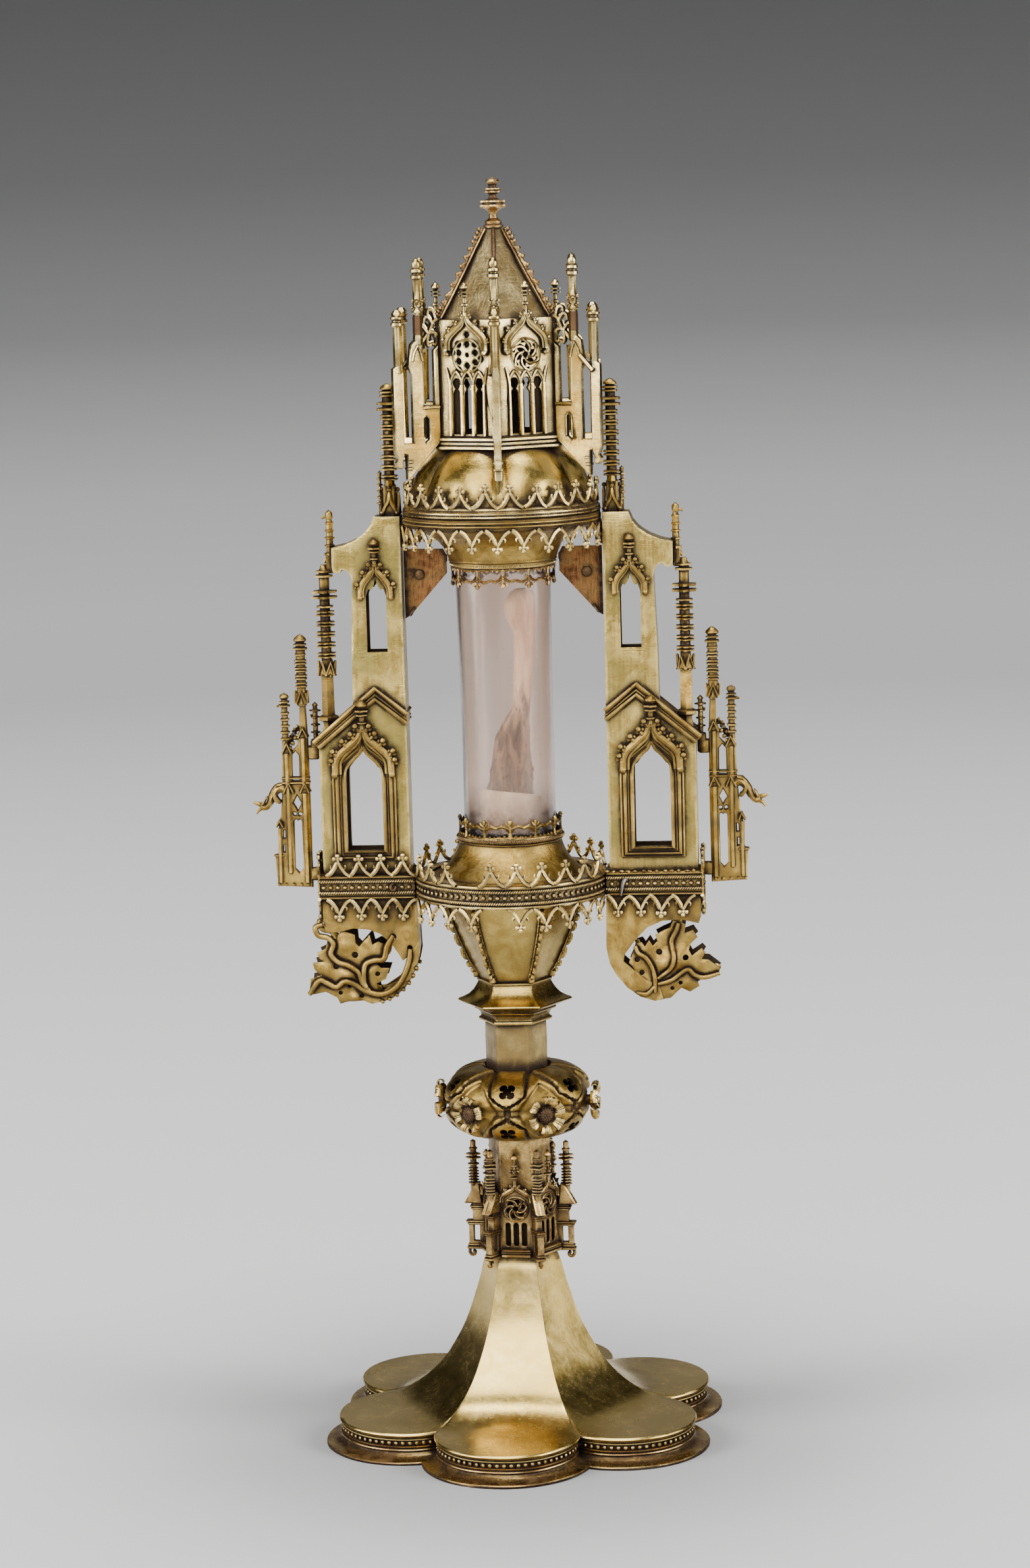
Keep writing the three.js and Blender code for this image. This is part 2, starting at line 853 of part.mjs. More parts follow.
function tower() {
  const { x0, x1, step, halfDepth } = TOWER;
  const rise = (x1 - step) * 0.995;
  const eaves = 281.4;
  const sweep = new THREE.QuadraticBezierCurve(
    point([67, 357.9]),
    point([51, 359.6]),
    point([49.3, NECK_TOP - 2]),
  )
    .getPoints(4)
    .map((p) => p.toArray());
  const outline = [
    [x0, GALLERY_TOP],
    [x1, GALLERY_TOP],
    [x1, eaves],
    [step, eaves + rise],
    [step, 345.6],
    [61.4, 349],
    [63.8, 349],
    [64.8, 346.9],
    [67, 347.7],
    ...sweep,
    [49.3, NECK_TOP],
    [x0, NECK_TOP],
  ];
  const s = SHEET;
  const cavity = [
    [x0 + s, GALLERY_TOP + s],
    [x1 - s, GALLERY_TOP + s],
    [x1 - s, eaves - s / 2],
    [step - s, eaves + rise - s / 2],
    [step - s, 356],
    [49.3 - s, 362],
    [49.3 - s, NECK_TOP - s],
    [x0 + s, NECK_TOP - s],
  ];
  const low = [[49.8, 237.4], [64.2, 237.4], ...ogee(57, 7.2, 268, 279.4, 2).reverse()];
  const high = lancet(50.1, 316.4, 344.6, 8.1);
  const through = 4 * halfDepth;
  const face = halfDepth + 0.35;
  const gable = [
    [x0, 290.4],
    [x0 + 12, 301.4],
    [x1 + 1, 282.4],
    [x1 + 1, 279.6],
    [x0 + 12, 298],
    [x0, 287.6],
  ];
  const lowHood = [...ogee(57, 11, 266, 284, 2), ...ogee(57, 8.6, 266, 281, 2).reverse()];
  const highHood = [...ogee(50.1, 7, 335, 352, 2), ...ogee(50.1, 5.2, 335, 348.6, 2).reverse()];
  const flower = (x, z, h) => [
    [x - 0.9, z],
    [x + 0.9, z],
    [x + 2.2, z + h * 0.62],
    [x, z + h],
    [x - 2.2, z + h * 0.62],
  ];
  const raised = [lowHood, highHood, flower(57, 281.6, 16), flower(50.1, 349.6, 12)].map((outline) =>
    solid(plate(outline, 1.3, -face)),
  );
  const gables = [-face, face].map((y) => solid(plate(gable, 1.3, y)));
  const shell = without(solid(plate(outline, 2 * halfDepth)), [
    solid(plate(cavity, 2 * (halfDepth - s))),
    solid(plate(low, through)),
    solid(plate(high, through)),
  ]);
  return joined([shell, ...gables, ...raised]);
}

function topPinnacle() {
  const z = NECK_TOP;
  return turned(
    [
      [0, z],
      [4.2, z],
      [4.4, z + 6],
      [2.6, z + 11],
      ...crockets(z + 12, z + 36, 4, 1.9, 3.2),
      [1.8, z + 36.4],
      [4.9, z + 39.6],
      [4.7, z + 42],
      [1.6, z + 43],
      [3.6, z + 46.6],
      [1.8, z + 48.6],
      [0, z + 51.8],
    ],
    6,
  ).translate(43.9, 0, 0);
}

// The free-standing spire on the tower's shoulder, with the thin pinnacle beside its head.
function sideSpire() {
  const spire = solid(
    turned(
      [
        [0, 280],
        [2.6, 280],
        [2.6, 288],
        [3.6, 289.4],
        [2.6, 307],
        [4.2, 308],
        [2.4, 314],
        ...crockets(315, 333, 3, 1.9, 3.6),
        [1.9, 335.6],
        [5.4, 338.4],
        [1.8, 341.4],
        [3.6, 346],
        [0, 352],
      ],
      6,
    ).translate(71, 0, 0),
  );
  const thin = plate(
    [
      [67 + GAP, 348],
      [70, 348],
      [69.8, 355],
      [68.8, 358],
      [68.8, 366],
      [70.4, 367],
      [69, 368],
      [68.4, 372.6],
      [67 + GAP, 372.6],
    ],
    1.8,
  );
  const slope = [
    [TOWER.x1 + GAP, 270],
    [TOWER.x1 + GAP, 281.6],
    [TOWER.step, 281.4 + (TOWER.x1 - TOWER.step) * 0.995 + 0.7],
    [TOWER.step, 270],
  ];
  const under = [...slope.slice(0, 2), [TOWER.x1 + 8, 279], [TOWER.x1 + 8, 270]];
  return without(spire.add(solid(thin)), [solid(plate(slope, 30)), solid(plate(under, 30))]);
}

// The outermost buttress: a pierced plate with two pinnacles and a beast that leans out.
function outerButtress() {
  const outline = [
    [79.6, 221.8],
    [95.2, 221.8],
    [95.2, 240],
    [92.4, 252],
    [91.4, 270],
    [90.2, 277],
    [90.6, 291],
    [88.6, 300.3],
    [87, 291],
    [87, 276.4],
    [83.7, 283.4],
    [83.7, 298.6],
    [84.6, 317.6],
    [81.6, 323.6],
    [78.6, 317.6],
    [79.5, 298.6],
  ];
  const links = [
    rectangle(PLATFORM.x1 + GAP, 222.4, 80, 226.6),
    rectangle(TOWER.x1 + GAP, 274.6, 80, 279.6),
  ];
  const corner = [
    [75.4, 275],
    [77.2, 275],
    [77.2, 289],
    [78.2, 291],
    [76.3, 296.8],
    [75.2, 291],
    [75.6, 289],
  ];
  const holes = [
    rectangle(84.2, 265.5, 87, 275),
    rectangle(83.4, 228.6, 86.6, 250),
    polygon(85.2, 257, 1.7, 4),
  ];
  const beast = [
    { x: 90.6, z: 258.4, r: 2.4 },
    { x: 95.4, z: 259, r: 1.8 },
    { x: 98.6, z: 256, r: 1.5 },
    { x: 100.6, z: 255.8, r: 1.8 },
    { x: 102.7, z: 254.6, r: 0.7 },
  ].map(({ x, z, r }) =>
    Array.from({ length: 6 }, (_, i) => {
      const angle = (Math.PI * i) / 3;
      return new THREE.Vector3(x, r * Math.sin(angle), z + r * Math.cos(angle));
    }),
  );
  return joined([
    pierced(outline, 3.2, holes),
    ...links.map((link) => solid(plate(link, 2))),
    solid(plate(corner, 1.8)),
    solid(loft(beast)),
  ]);
}

// The bare copper plate that stays the tower against the neck.
function gusset() {
  return plate(
    [
      [TOWER.x0 - GAP, 328.7],
      [TOWER.x0 - GAP, 356.4],
      [23.4, 356.3],
      [22.1, 353.6],
      [22.1, 346.4],
    ],
    SHEET,
  );
}

// ---- The whole ----
const reliquary = new THREE.Group();
const shaft = new THREE.Group();
shaft.rotation.z = SHAFT_TURN;
const lid = new THREE.Group();
lid.rotation.z = LID_TURN;
reliquary.add(shaft, lid);

const stemProfile = [
  [0, FOOT_TOP],
  [STEM_CORNER, FOOT_TOP],
  [STEM_CORNER, COLLAR_Z],
  [0, COLLAR_Z],
];
shaft.add(
  piece("foot", solid(foot()), gilt),
  piece("chapel", chapel(), castGilt),
  piece("stem", solid(turned(stemProfile, 6, Math.PI / 6)), gilt),
  piece("knop", knop(), gilt),
);
for (const n of SIXTHS) {
  const flower = piece(`rosette_${n + 1}`, rosette(), gilt);
  flower.rotation.z = degToRad(60 * n - 60);
  shaft.add(flower);
}

reliquary.add(
  piece("stem_collar", solid(collar()), gilt),
  piece("bowl", bowl(), gilt),
  piece("gallery", solid(gallery()), gilt),
  piece("gallery_crest_front", galleryCresting(0, false), castGilt),
  piece("gallery_crest_back", galleryCresting(Math.PI, false), castGilt),
  piece("gallery_pendants_front", galleryCresting(0, true), castGilt),
  piece("gallery_pendants_back", galleryCresting(Math.PI, true), castGilt),
  piece("tube_seat", solid(seat()), gilt),
  piece("seat_fleurons", ringCresting(FLEURON_UNITS, 19.9, 7.4, SEAT_RIM, false), castGilt),
  piece("glass_tube", solid(tube()), glass),
  piece("relic_tray", tray(), vellum),
  piece("relic", solid(relic()), bone),
  piece("neck", solid(neck()), gilt),
  piece("neck_fleurons", ringCresting(FLEURON_UNITS, 20.6, 9.6, NECK_Z, true), castGilt),
  piece("neck_pendants", ringCresting(CREST_UNITS, BAND_R - 0.6, 8.6, BAND_Z, true), castGilt),
);

lid.add(
  piece("lid_dome", solid(lidDome()), gilt),
  piece("lid_crest", ringCresting(CREST_UNITS, BAND_R - 1.2, 8.9, RIM_TOP, false), castGilt),
  piece("lantern", lantern(), gilt),
  piece("roof", roof(), gilt),
  piece("roof_finial", solid(finial()), castGilt),
);
for (const n of SIXTHS) {
  const buttress = piece(`lid_buttress_${n + 1}`, lidButtress(), gilt);
  buttress.rotation.z = degToRad(60 * n - 90);
  lid.add(buttress);
}

for (const side of ["right", "left"]) {
  const parts = {
    platform: [platform(), gilt],
    platform_crest: [platformCresting(false, side === "right"), castGilt],
    platform_pendants: [platformCresting(true, false), castGilt],
    bracket: [bracket(), gilt],
    tower: [tower(), gilt],
    tower_pinnacle: [solid(topPinnacle()), castGilt],
    tower_spire: [sideSpire(), castGilt],
    outer_buttress: [outerButtress(), castGilt],
    gusset: [solid(gusset()), copper],
  };
  for (const [name, [made, material]] of Object.entries(parts)) {
    const placed = side === "left" ? made.mirror([1, 0, 0]) : made;
    reliquary.add(piece(`${name}_${side}`, placed, material));
  }
}

export default reliquary;
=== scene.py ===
from math import atan2, ceil, copysign, cos, degrees, exp, hypot, pi, radians, sin, sqrt

import bmesh
import bpy
import numpy as np
from mathutils import Matrix, Vector, noise
from mathutils.geometry import delaunay_2d_cdt as delaunay


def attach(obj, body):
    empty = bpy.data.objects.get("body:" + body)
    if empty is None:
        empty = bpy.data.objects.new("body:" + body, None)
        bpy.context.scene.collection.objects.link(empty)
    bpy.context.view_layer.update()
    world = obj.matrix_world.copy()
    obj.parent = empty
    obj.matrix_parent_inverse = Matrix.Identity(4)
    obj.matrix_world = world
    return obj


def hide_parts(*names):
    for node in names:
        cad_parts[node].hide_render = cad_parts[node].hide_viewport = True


# A gilded tower reliquary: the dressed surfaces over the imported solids.
# Lengths are millimetres until a piece is finished; the front is -Y and +Z is up.

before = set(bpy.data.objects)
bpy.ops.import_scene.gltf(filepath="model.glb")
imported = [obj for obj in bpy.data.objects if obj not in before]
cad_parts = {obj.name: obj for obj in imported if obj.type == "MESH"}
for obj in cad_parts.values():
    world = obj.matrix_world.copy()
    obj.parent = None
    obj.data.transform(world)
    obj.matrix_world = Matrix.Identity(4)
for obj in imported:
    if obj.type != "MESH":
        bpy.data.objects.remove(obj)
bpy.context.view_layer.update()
noise.seed_set(1)  # the dents come out the same on every run
MM = 0.001
COS30 = cos(pi / 6)
SIXTHS = range(0, 360, 60)

SHAFT_TURN = -4.5  # foot, chapel, stem and knop have turned against the wings
LID_TURN = 3.5  # the loose lid sits a little askew


# ---- Forms: a form is (points, faces) ----


def ring_angles(count):
    """Evenly spaced angles, once round."""
    return np.linspace(0, 2 * pi, count, endpoint=False)


def put(form, x=0, y=0, z=0, turn=0, lean=0, roll=0, size=1.0):
    """The form scaled, rolled about Y, leant about X, turned about Z, then moved."""
    spin = (
        Matrix.Rotation(radians(turn), 3, "Z")
        @ Matrix.Rotation(radians(lean), 3, "X")
        @ Matrix.Rotation(radians(roll), 3, "Y")
    )
    points = np.asarray(form[0], float) * size @ np.array(spin).T
    return points + np.array([x, y, z], float), form[1]


def around(form, angle, r=0, z=0, **more):
    """The form, made facing the front, set at radius r and turned to an angle from the front."""
    return put(put(form, y=-r, z=z, **more), turn=angle)


def flipped(form, axis):
    """The form mirrored across an axis, its faces still pointing outwards."""
    points = np.array(form[0], float)
    points[:, axis] *= -1
    return points, [tuple(reversed(face)) for face in form[1]]


def mirrored(form):
    return flipped(form, 0)


def facing_back(form):
    return flipped(form, 1)


def hanging(form):
    """The same unit hung upside down, still facing the front."""
    return flipped(form, 2)


def joined(*forms):
    points, faces, start = [], [], 0
    for form in forms:
        points.append(np.asarray(form[0], float))
        faces += [tuple(i + start for i in face) for face in form[1]]
        start += len(form[0])
    return np.concatenate(points), faces


def facing_pair(form):
    """The form on the front face and again on the back."""
    return joined(form, facing_back(form))


def six_round(form, start=0.0):
    """The form six times round the axis."""
    return joined(*[put(form, turn=angle + start) for angle in SIXTHS])


def lofted(rows, ring=False):
    """Closed rows of equal length, skinned. A ring joins last to first; otherwise the ends are capped."""
    count = len(rows[0])
    points = np.array([p for row in rows for p in row], float)
    faces = []
    for j in range(len(rows) if ring else len(rows) - 1):
        a, b = j * count, (j + 1) % len(rows) * count
        for i in range(count):
            k = (i + 1) % count
            faces.append((a + i, a + k, b + k, b + i))
    if not ring:
        faces.append(tuple(reversed(range(count))))
        faces.append(tuple(range((len(rows) - 1) * count, len(rows) * count)))
    return points, faces


def lathe(profile, sides=48, lobes=0, ring=False):
    """A turned form. A profile point is (r, z) or (r, z, notch); notch pinches the radius between lobes."""
    rows = []
    for station in profile:
        r, z = station[:2]
        notch = station[2] if len(station) > 2 else 0
        row = []
        for i in range(sides):
            a = 2 * pi * i / sides
            q = max(r, 0.001) * (1 - notch * (0.5 - 0.5 * cos(lobes * a)))
            row.append((q * sin(a), -q * cos(a), z))
        rows.append(row)
    return lofted(rows, ring)


def hex_row(r, z, fillet=0.6, edge_points=1):
    """Six sides with rounded corners; a corner faces the front."""
    row = []
    fillet = min(fillet, r * 0.3)
    centre = r - fillet / COS30
    for n in range(6):
        a = radians(60 * n)
        cx, cy = centre * sin(a), -centre * cos(a)
        for k in range(3):
            b = a + radians(-30 + 60 * k / 2)
            row.append((cx + fillet * sin(b), cy - fillet * cos(b), z))
        ahead = radians(60 * (n + 1))
        b = ahead - radians(30)
        p = row[-1]
        q = (centre * sin(ahead) + fillet * sin(b), -centre * cos(ahead) - fillet * cos(b), z)
        for k in range(1, edge_points + 1):
            s = k / (edge_points + 1)
            row.append(tuple(u + (v - u) * s for u, v in zip(p, q)))
    return row


def hex_form(profile, fillet=0.6, edge_points=2, turn=0.0):
    """A closed band of six sides, turned to place."""
    return put(lofted([hex_row(r, z, fillet, edge_points) for r, z in profile], True), turn=turn)


def smooth_path(points, steps=6, closed=False):
    """A Catmull-Rom curve through the points."""
    pts = [np.array(p, float) for p in points]
    n = len(pts)
    out = []
    for i in range(n if closed else n - 1):
        p0 = pts[(i - 1) % n] if closed or i > 0 else 2 * pts[0] - pts[1]
        p1, p2 = pts[i], pts[(i + 1) % n]
        p3 = pts[(i + 2) % n] if closed or i + 2 < n else 2 * pts[-1] - pts[-2]
        square, cube = 2 * p0 - 5 * p1 + 4 * p2 - p3, 3 * p1 - p0 - 3 * p2 + p3
        for k in range(steps):
            t = k / steps
            out.append(0.5 * (2 * p1 + (p2 - p0) * t + square * t * t + cube * t**3))
    if not closed:
        out.append(pts[-1])
    return out


def wire(path, radius, sides=6, closed=False, flat=1.0, up=(0, 0, 1)):
    """A round or flattened wire along a path; radius may be one number or one per point."""
    pts = [np.array(p, float) for p in path]
    n = len(pts)
    radii = radius if hasattr(radius, "__len__") else [radius] * n
    normal = np.array(up, float)
    rows = []
    for i, p in enumerate(pts):
        before = pts[i - 1] if closed or i else p
        after = pts[(i + 1) % n] if closed or i < n - 1 else p
        tangent = after - before
        tangent /= max(np.linalg.norm(tangent), 1e-9)
        normal = normal - tangent * normal.dot(tangent)
        if np.linalg.norm(normal) < 1e-3:
            normal = np.cross(tangent, (1, 0.3, 0.1))
        normal /= np.linalg.norm(normal)
        side = np.cross(tangent, normal)
        angles = [2 * pi * k / sides for k in range(sides)]
        rows.append([p + radii[i] * (cos(a) * side + flat * sin(a) * normal) for a in angles])
    return lofted(rows, closed)


def ball(x, y, z, r, sides=6, rings=4, tall=1.0):
    steps = [pi * k / rings for k in range(rings + 1)]
    return put(lathe([(r * sin(a), -r * tall * cos(a)) for a in steps], sides), x, y, z)


def block(x0, x1, y0, y1, z0, z1, edge=0.2):
    """A box with chamfered upright and level edges."""
    e = min(edge, (x1 - x0) / 3, (y1 - y0) / 3, (z1 - z0) / 3)

    def row(inset, z):
        x_a, x_b, y_a, y_b = x0 + inset, x1 - inset, y0 + inset, y1 - inset
        return [
            (x_a + e, y_a, z), (x_b - e, y_a, z), (x_b, y_a + e, z), (x_b, y_b - e, z),
            (x_b - e, y_b, z), (x_a + e, y_b, z), (x_a, y_b - e, z), (x_a, y_a + e, z),
        ]

    return lofted([row(e, z0), row(0, z0 + e), row(0, z1 - e), row(e, z1)])


def sheet(outline, thick, holes=(), edge=0.2, y=0.0):
    """A flat sheet in the XZ plane with softened edges, centred on y."""
    curve = bpy.data.curves.new("cut_sheet", "CURVE")
    curve.dimensions, curve.fill_mode = "2D", "BOTH"
    edge = min(edge, thick * 0.45)
    curve.extrude, curve.bevel_depth = thick / 2 - edge, edge
    curve.bevel_resolution, curve.offset = 0, -edge
    for loop in (outline, *holes):
        spline = curve.splines.new("POLY")
        spline.points.add(len(loop) - 1)
        spline.points.foreach_set("co", [v for x, z in loop for v in (x, z, 0, 1)])
        spline.use_cyclic_u = True
    holder = bpy.data.objects.new("cut_sheet", curve)
    mesh = holder.to_mesh()
    points = np.array([(v.co.x, y - v.co.z, v.co.y) for v in mesh.vertices])
    faces = [tuple(p.vertices) for p in mesh.polygons]
    bpy.data.objects.remove(holder)
    bpy.data.curves.remove(curve)
    return points, faces


def circle(x, z, r, count=12):
    angles = [2 * pi * k / count for k in range(count)]
    return [(x + r * cos(a), z + r * sin(a)) for a in angles]


def foils(x, z, r, count, depth=0.45, turn=0.0, steps=7):
    """A trefoil, quatrefoil or other foiled opening."""
    out = []
    lobe = r * depth
    centre = r - lobe
    reach = radians(125 if count > 3 else 140)
    for n in range(count):
        a = 2 * pi * n / count + radians(turn)
        for k in range(steps):
            b = a - reach + 2 * reach * k / (steps - 1)
            out.append((x + centre * cos(a) + lobe * cos(b), z + centre * sin(a) + lobe * sin(b)))
    return out


def ogee(half, z0, z1, steps=7):
    """Points of an ogee arch from (-half, z0) over (0, z1) to (half, z0)."""
    rise = z1 - z0
    shape = ((1, 0), (0.93, 0.32), (0.5, 0.58), (0.17, 0.75))
    left = smooth_path([(-half * across, z0 + rise * up) for across, up in shape] + [(0, z1)], steps // 2 + 1)
    return [tuple(p) for p in left] + [(-p[0], p[1]) for p in reversed(left[:-1])]


def in_front(flat, y=0.0):
    """Flat (x, z) points as points in space."""
    return [(x, y, z) for x, z in flat]


def bent(form, radius):
    """A form made flat at y = 0, wrapped round an upright cylinder."""
    points = np.array(form[0], float)
    a = points[:, 0] / radius
    r = radius - points[:, 1]
    return np.stack([r * np.sin(a), -r * np.cos(a), points[:, 2]], 1), form[1]


def uneven(form, amount, scale, seed=0):
    """Small dents and waves left by the hammer or the casting."""
    points = np.array(form[0], float)
    for i, p in enumerate(points):
        v = noise.noise_vector(Vector(p) / scale + Vector((seed, 0, 0)))
        points[i] = p + amount * np.array(v)
    return points, form[1]


def bmesh_of(mesh, merge=0.0):
    """The mesh opened for work, with points closer than merge made one."""
    work = bmesh.new()
    work.from_mesh(mesh)
    if merge:
        bmesh.ops.remove_doubles(work, verts=work.verts, dist=merge)
    return work


def closed_up(work, mesh):
    """Turns the faces outwards and puts the work back into the mesh."""
    bmesh.ops.recalc_face_normals(work, faces=work.faces)
    work.to_mesh(mesh)
    work.free()


def linked(name, data):
    made = bpy.data.objects.new(name, data)
    bpy.context.scene.collection.objects.link(made)
    return made


# ---- Finishing a piece ----


def finished(name, forms, finishes, nodes, crease=32, merge=0.004):
    """Joins the forms into one piece in metres. A form may be (form, finish number)."""
    points, faces, marks, start = [], [], [], 0
    for item in forms:
        form, mark = item if isinstance(item[1], int) else (item, 0)
        points.append(np.asarray(form[0], float))
        faces += [tuple(i + start for i in face) for face in form[1]]
        marks += [mark] * len(form[1])
        start += len(form[0])
    mesh = bpy.data.meshes.new(name)
    mesh.from_pydata(np.concatenate(points) * MM, [], faces)
    mesh.polygons.foreach_set("material_index", marks)
    work = bmesh_of(mesh, merge * MM)
    bmesh.ops.dissolve_degenerate(work, edges=work.edges, dist=1e-7)
    closed_up(work, mesh)
    for finish in finishes:
        mesh.materials.append(finish)
    place_piece(name, mesh, nodes, crease)


def place_piece(name, mesh, nodes, crease):
    mesh.name = name
    mesh.shade_smooth()
    if crease:
        mesh.set_sharp_from_angle(angle=radians(crease))
    made = linked(name, mesh)
    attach(made, "root")
    if nodes:
        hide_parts(*nodes)


# ---- Geometry Nodes: units set out on points, and twisted wire along a path ----


def new_tree(name, sockets):
    tree = bpy.data.node_groups.new(name, "GeometryNodeTree")
    for label, kind in (("Geometry", "Geometry"), *sockets):
        tree.interface.new_socket(label, in_out="INPUT", socket_type=f"NodeSocket{kind}")
    tree.interface.new_socket("Geometry", in_out="OUTPUT", socket_type="NodeSocketGeometry")
    return tree, tree_node(tree, "NodeGroupInput").outputs


def tree_node(tree, kind, inputs=None, **settings):
    """A node with its inputs set or linked."""
    made = tree.nodes.new(kind)
    for key, value in settings.items():
        setattr(made, key, value)
    for key, value in (inputs or {}).items():
        if isinstance(value, bpy.types.NodeSocket):
            tree.links.new(value, made.inputs[key])
        else:
            made.inputs[key].default_value = value
    return made


def maths(tree, operation, a, b=None, c=None, clamp=False):
    given = {i: value for i, value in enumerate((a, b, c)) if value is not None}
    return tree_node(tree, "ShaderNodeMath", given, operation=operation, use_clamp=clamp).outputs[0]


def vectors(tree, operation, a, b=None):
    """Vector maths; SCALE takes its factor as b."""
    inputs = {0: a} if b is None else {0: a, "Scale" if operation == "SCALE" else 1: b}
    return tree_node(tree, "ShaderNodeVectorMath", inputs, operation=operation).outputs[0]


def end_tree(tree, made, finish):
    real = tree_node(tree, "GeometryNodeRealizeInstances", {"Geometry": made})
    faced = tree_node(tree, "GeometryNodeSetMaterial", {"Geometry": real.outputs[0], "Material": finish})
    tree_node(tree, "NodeGroupOutput", {0: faced.outputs[0]})
    return tree


def set_out_tree():
    """Sets a unit on every point, turned and sized by the point, each a little off true."""
    tree, given = new_tree("units_set_out", (
        ("Unit", "Object"), ("Size", "Float"), ("Off true", "Float"), ("Seed", "Int"), ("Finish", "Material"),
    ))
    unit = tree_node(tree, "GeometryNodeObjectInfo", {"Object": given["Unit"]})
    turn = tree_node(tree, "GeometryNodeInputNamedAttribute", {"Name": "turn"}, data_type="FLOAT_VECTOR")
    size = tree_node(tree, "GeometryNodeInputNamedAttribute", {"Name": "size"}, data_type="FLOAT")
    either_way = {0: (-1.0, -1.0, -1.0), 1: (1.0, 1.0, 1.0), "Seed": given["Seed"]}
    tilt = tree_node(tree, "FunctionNodeRandomValue", either_way, data_type="FLOAT_VECTOR")
    tilted = vectors(tree, "SCALE", tilt.outputs[0], given["Off true"])
    angle = vectors(tree, "ADD", turn.outputs[0], tilted)
    grow = tree_node(
        tree, "FunctionNodeRandomValue", {2: -1.0, 3: 1.0, "Seed": given["Seed"]}, data_type="FLOAT"
    )
    spread = maths(tree, "MULTIPLY_ADD", grow.outputs[1], given["Off true"], 1.0)
    scale = maths(tree, "MULTIPLY", maths(tree, "MULTIPLY", size.outputs[0], given["Size"]), spread)
    set_out = tree_node(tree, "GeometryNodeInstanceOnPoints", {
        "Points": given["Geometry"], "Instance": unit.outputs["Geometry"], "Rotation": angle, "Scale": scale,
    })
    return end_tree(tree, set_out.outputs[0], given["Finish"])


def twisted_wire_tree():
    """Two strands wound round a path that lies level."""
    steps_a_turn, strand_sides = 6.0, 5
    tree, given = new_tree("twisted_wire", (
        ("Lay radius", "Float"), ("Strand radius", "Float"), ("Pitch", "Float"), ("Finish", "Material"),
    ))
    path = tree_node(tree, "GeometryNodeMeshToCurve", {"Mesh": given["Geometry"]})
    step = maths(tree, "DIVIDE", given["Pitch"], steps_a_turn)
    fine = tree_node(
        tree, "GeometryNodeResampleCurve", {"Curve": path.outputs[0], "Length": step}, mode="LENGTH"
    )
    along = tree_node(tree, "GeometryNodeSplineParameter")
    turns = maths(tree, "DIVIDE", along.outputs["Length"], given["Pitch"])
    tangent = tree_node(tree, "GeometryNodeInputTangent")
    side = vectors(tree, "CROSS_PRODUCT", tangent.outputs[0], (0.0, 0.0, 1.0))
    section = {"Resolution": strand_sides, "Radius": given["Strand radius"]}
    section = tree_node(tree, "GeometryNodeCurvePrimitiveCircle", section)
    both = tree_node(tree, "GeometryNodeJoinGeometry")
    for phase in (0.0, pi):
        angle = maths(tree, "MULTIPLY_ADD", turns, 2 * pi, phase)
        out = vectors(tree, "SCALE", side, maths(tree, "COSINE", angle))
        up = tree_node(tree, "ShaderNodeCombineXYZ", {"Z": maths(tree, "SINE", angle)})
        offset = vectors(tree, "SCALE", vectors(tree, "ADD", out, up.outputs[0]), given["Lay radius"])
        moved = tree_node(tree, "GeometryNodeSetPosition", {"Geometry": fine.outputs[0], "Offset": offset})
        strand = {"Curve": moved.outputs[0], "Profile Curve": section.outputs[0], "Fill Caps": True}
        strand = tree_node(tree, "GeometryNodeCurveToMesh", strand)
        tree.links.new(strand.outputs[0], both.inputs[0])
    return end_tree(tree, both.outputs[0], given["Finish"])


SET_OUT = set_out_tree()
TWISTED = twisted_wire_tree()


def grown(carrier, tree, values):
    """The plain mesh that a tree makes from a carrier mesh."""
    holder = linked("carrier", carrier)
    live = holder.modifiers.new("grown", "NODES")
    live.node_group = tree
    names = {s.name: s.identifier for s in tree.interface.items_tree if s.in_out == "INPUT"}
    for label, value in values.items():
        live[names[label]] = value
    bpy.context.view_layer.update()
    graph = bpy.context.evaluated_depsgraph_get()
    mesh = bpy.data.meshes.new_from_object(holder.evaluated_get(graph), depsgraph=graph)
    holder.modifiers.remove(live)
    bpy.data.objects.remove(holder)
    return mesh


def units(name, unit, places, finish, nodes=(), off_true=0.03, seed=1, crease=40):
    """A piece of repeated units. A place is ((x, y, z), (turns about X, Y, Z in degrees), size)."""
    points = bpy.data.meshes.new("places")
    points.from_pydata([[v * MM for v in place[0]] for place in places], [], [])
    turn = points.attributes.new("turn", "FLOAT_VECTOR", "POINT")
    turn.data.foreach_set("vector", [radians(v) for place in places for v in place[1]])
    size = points.attributes.new("size", "FLOAT", "POINT")
    size.data.foreach_set("value", [float(place[2]) for place in places])
    one = bpy.data.meshes.new("unit")
    one.from_pydata(np.asarray(unit[0]) * MM, [], unit[1])
    closed_up(bmesh_of(one, 0.003 * MM), one)
    model = linked("unit", one)
    values = {"Unit": model, "Size": 1.0, "Off true": off_true, "Seed": seed, "Finish": finish}
    mesh = grown(points, SET_OUT, values)
    bpy.data.objects.remove(model)
    place_piece(name, mesh, nodes, crease)


def rope(name, paths, finish):
    """Twisted wire along level paths; a path is (points, closed)."""
    verts, edges = [], []
    for path, closed in paths:
        start = len(verts)
        verts += [[v * MM for v in p] for p in path]
        edges += [(start + i, start + i + 1) for i in range(len(path) - 1)]
        if closed:
            edges.append((start + len(path) - 1, start))
    carrier = bpy.data.meshes.new("path")
    carrier.from_pydata(verts, edges, [])
    values = {"Lay radius": 0.42 * MM, "Strand radius": 0.44 * MM, "Pitch": 1.9 * MM, "Finish": finish}
    mesh = grown(carrier, TWISTED, values)
    closed_up(bmesh_of(mesh), mesh)
    place_piece(name, mesh, (), None)


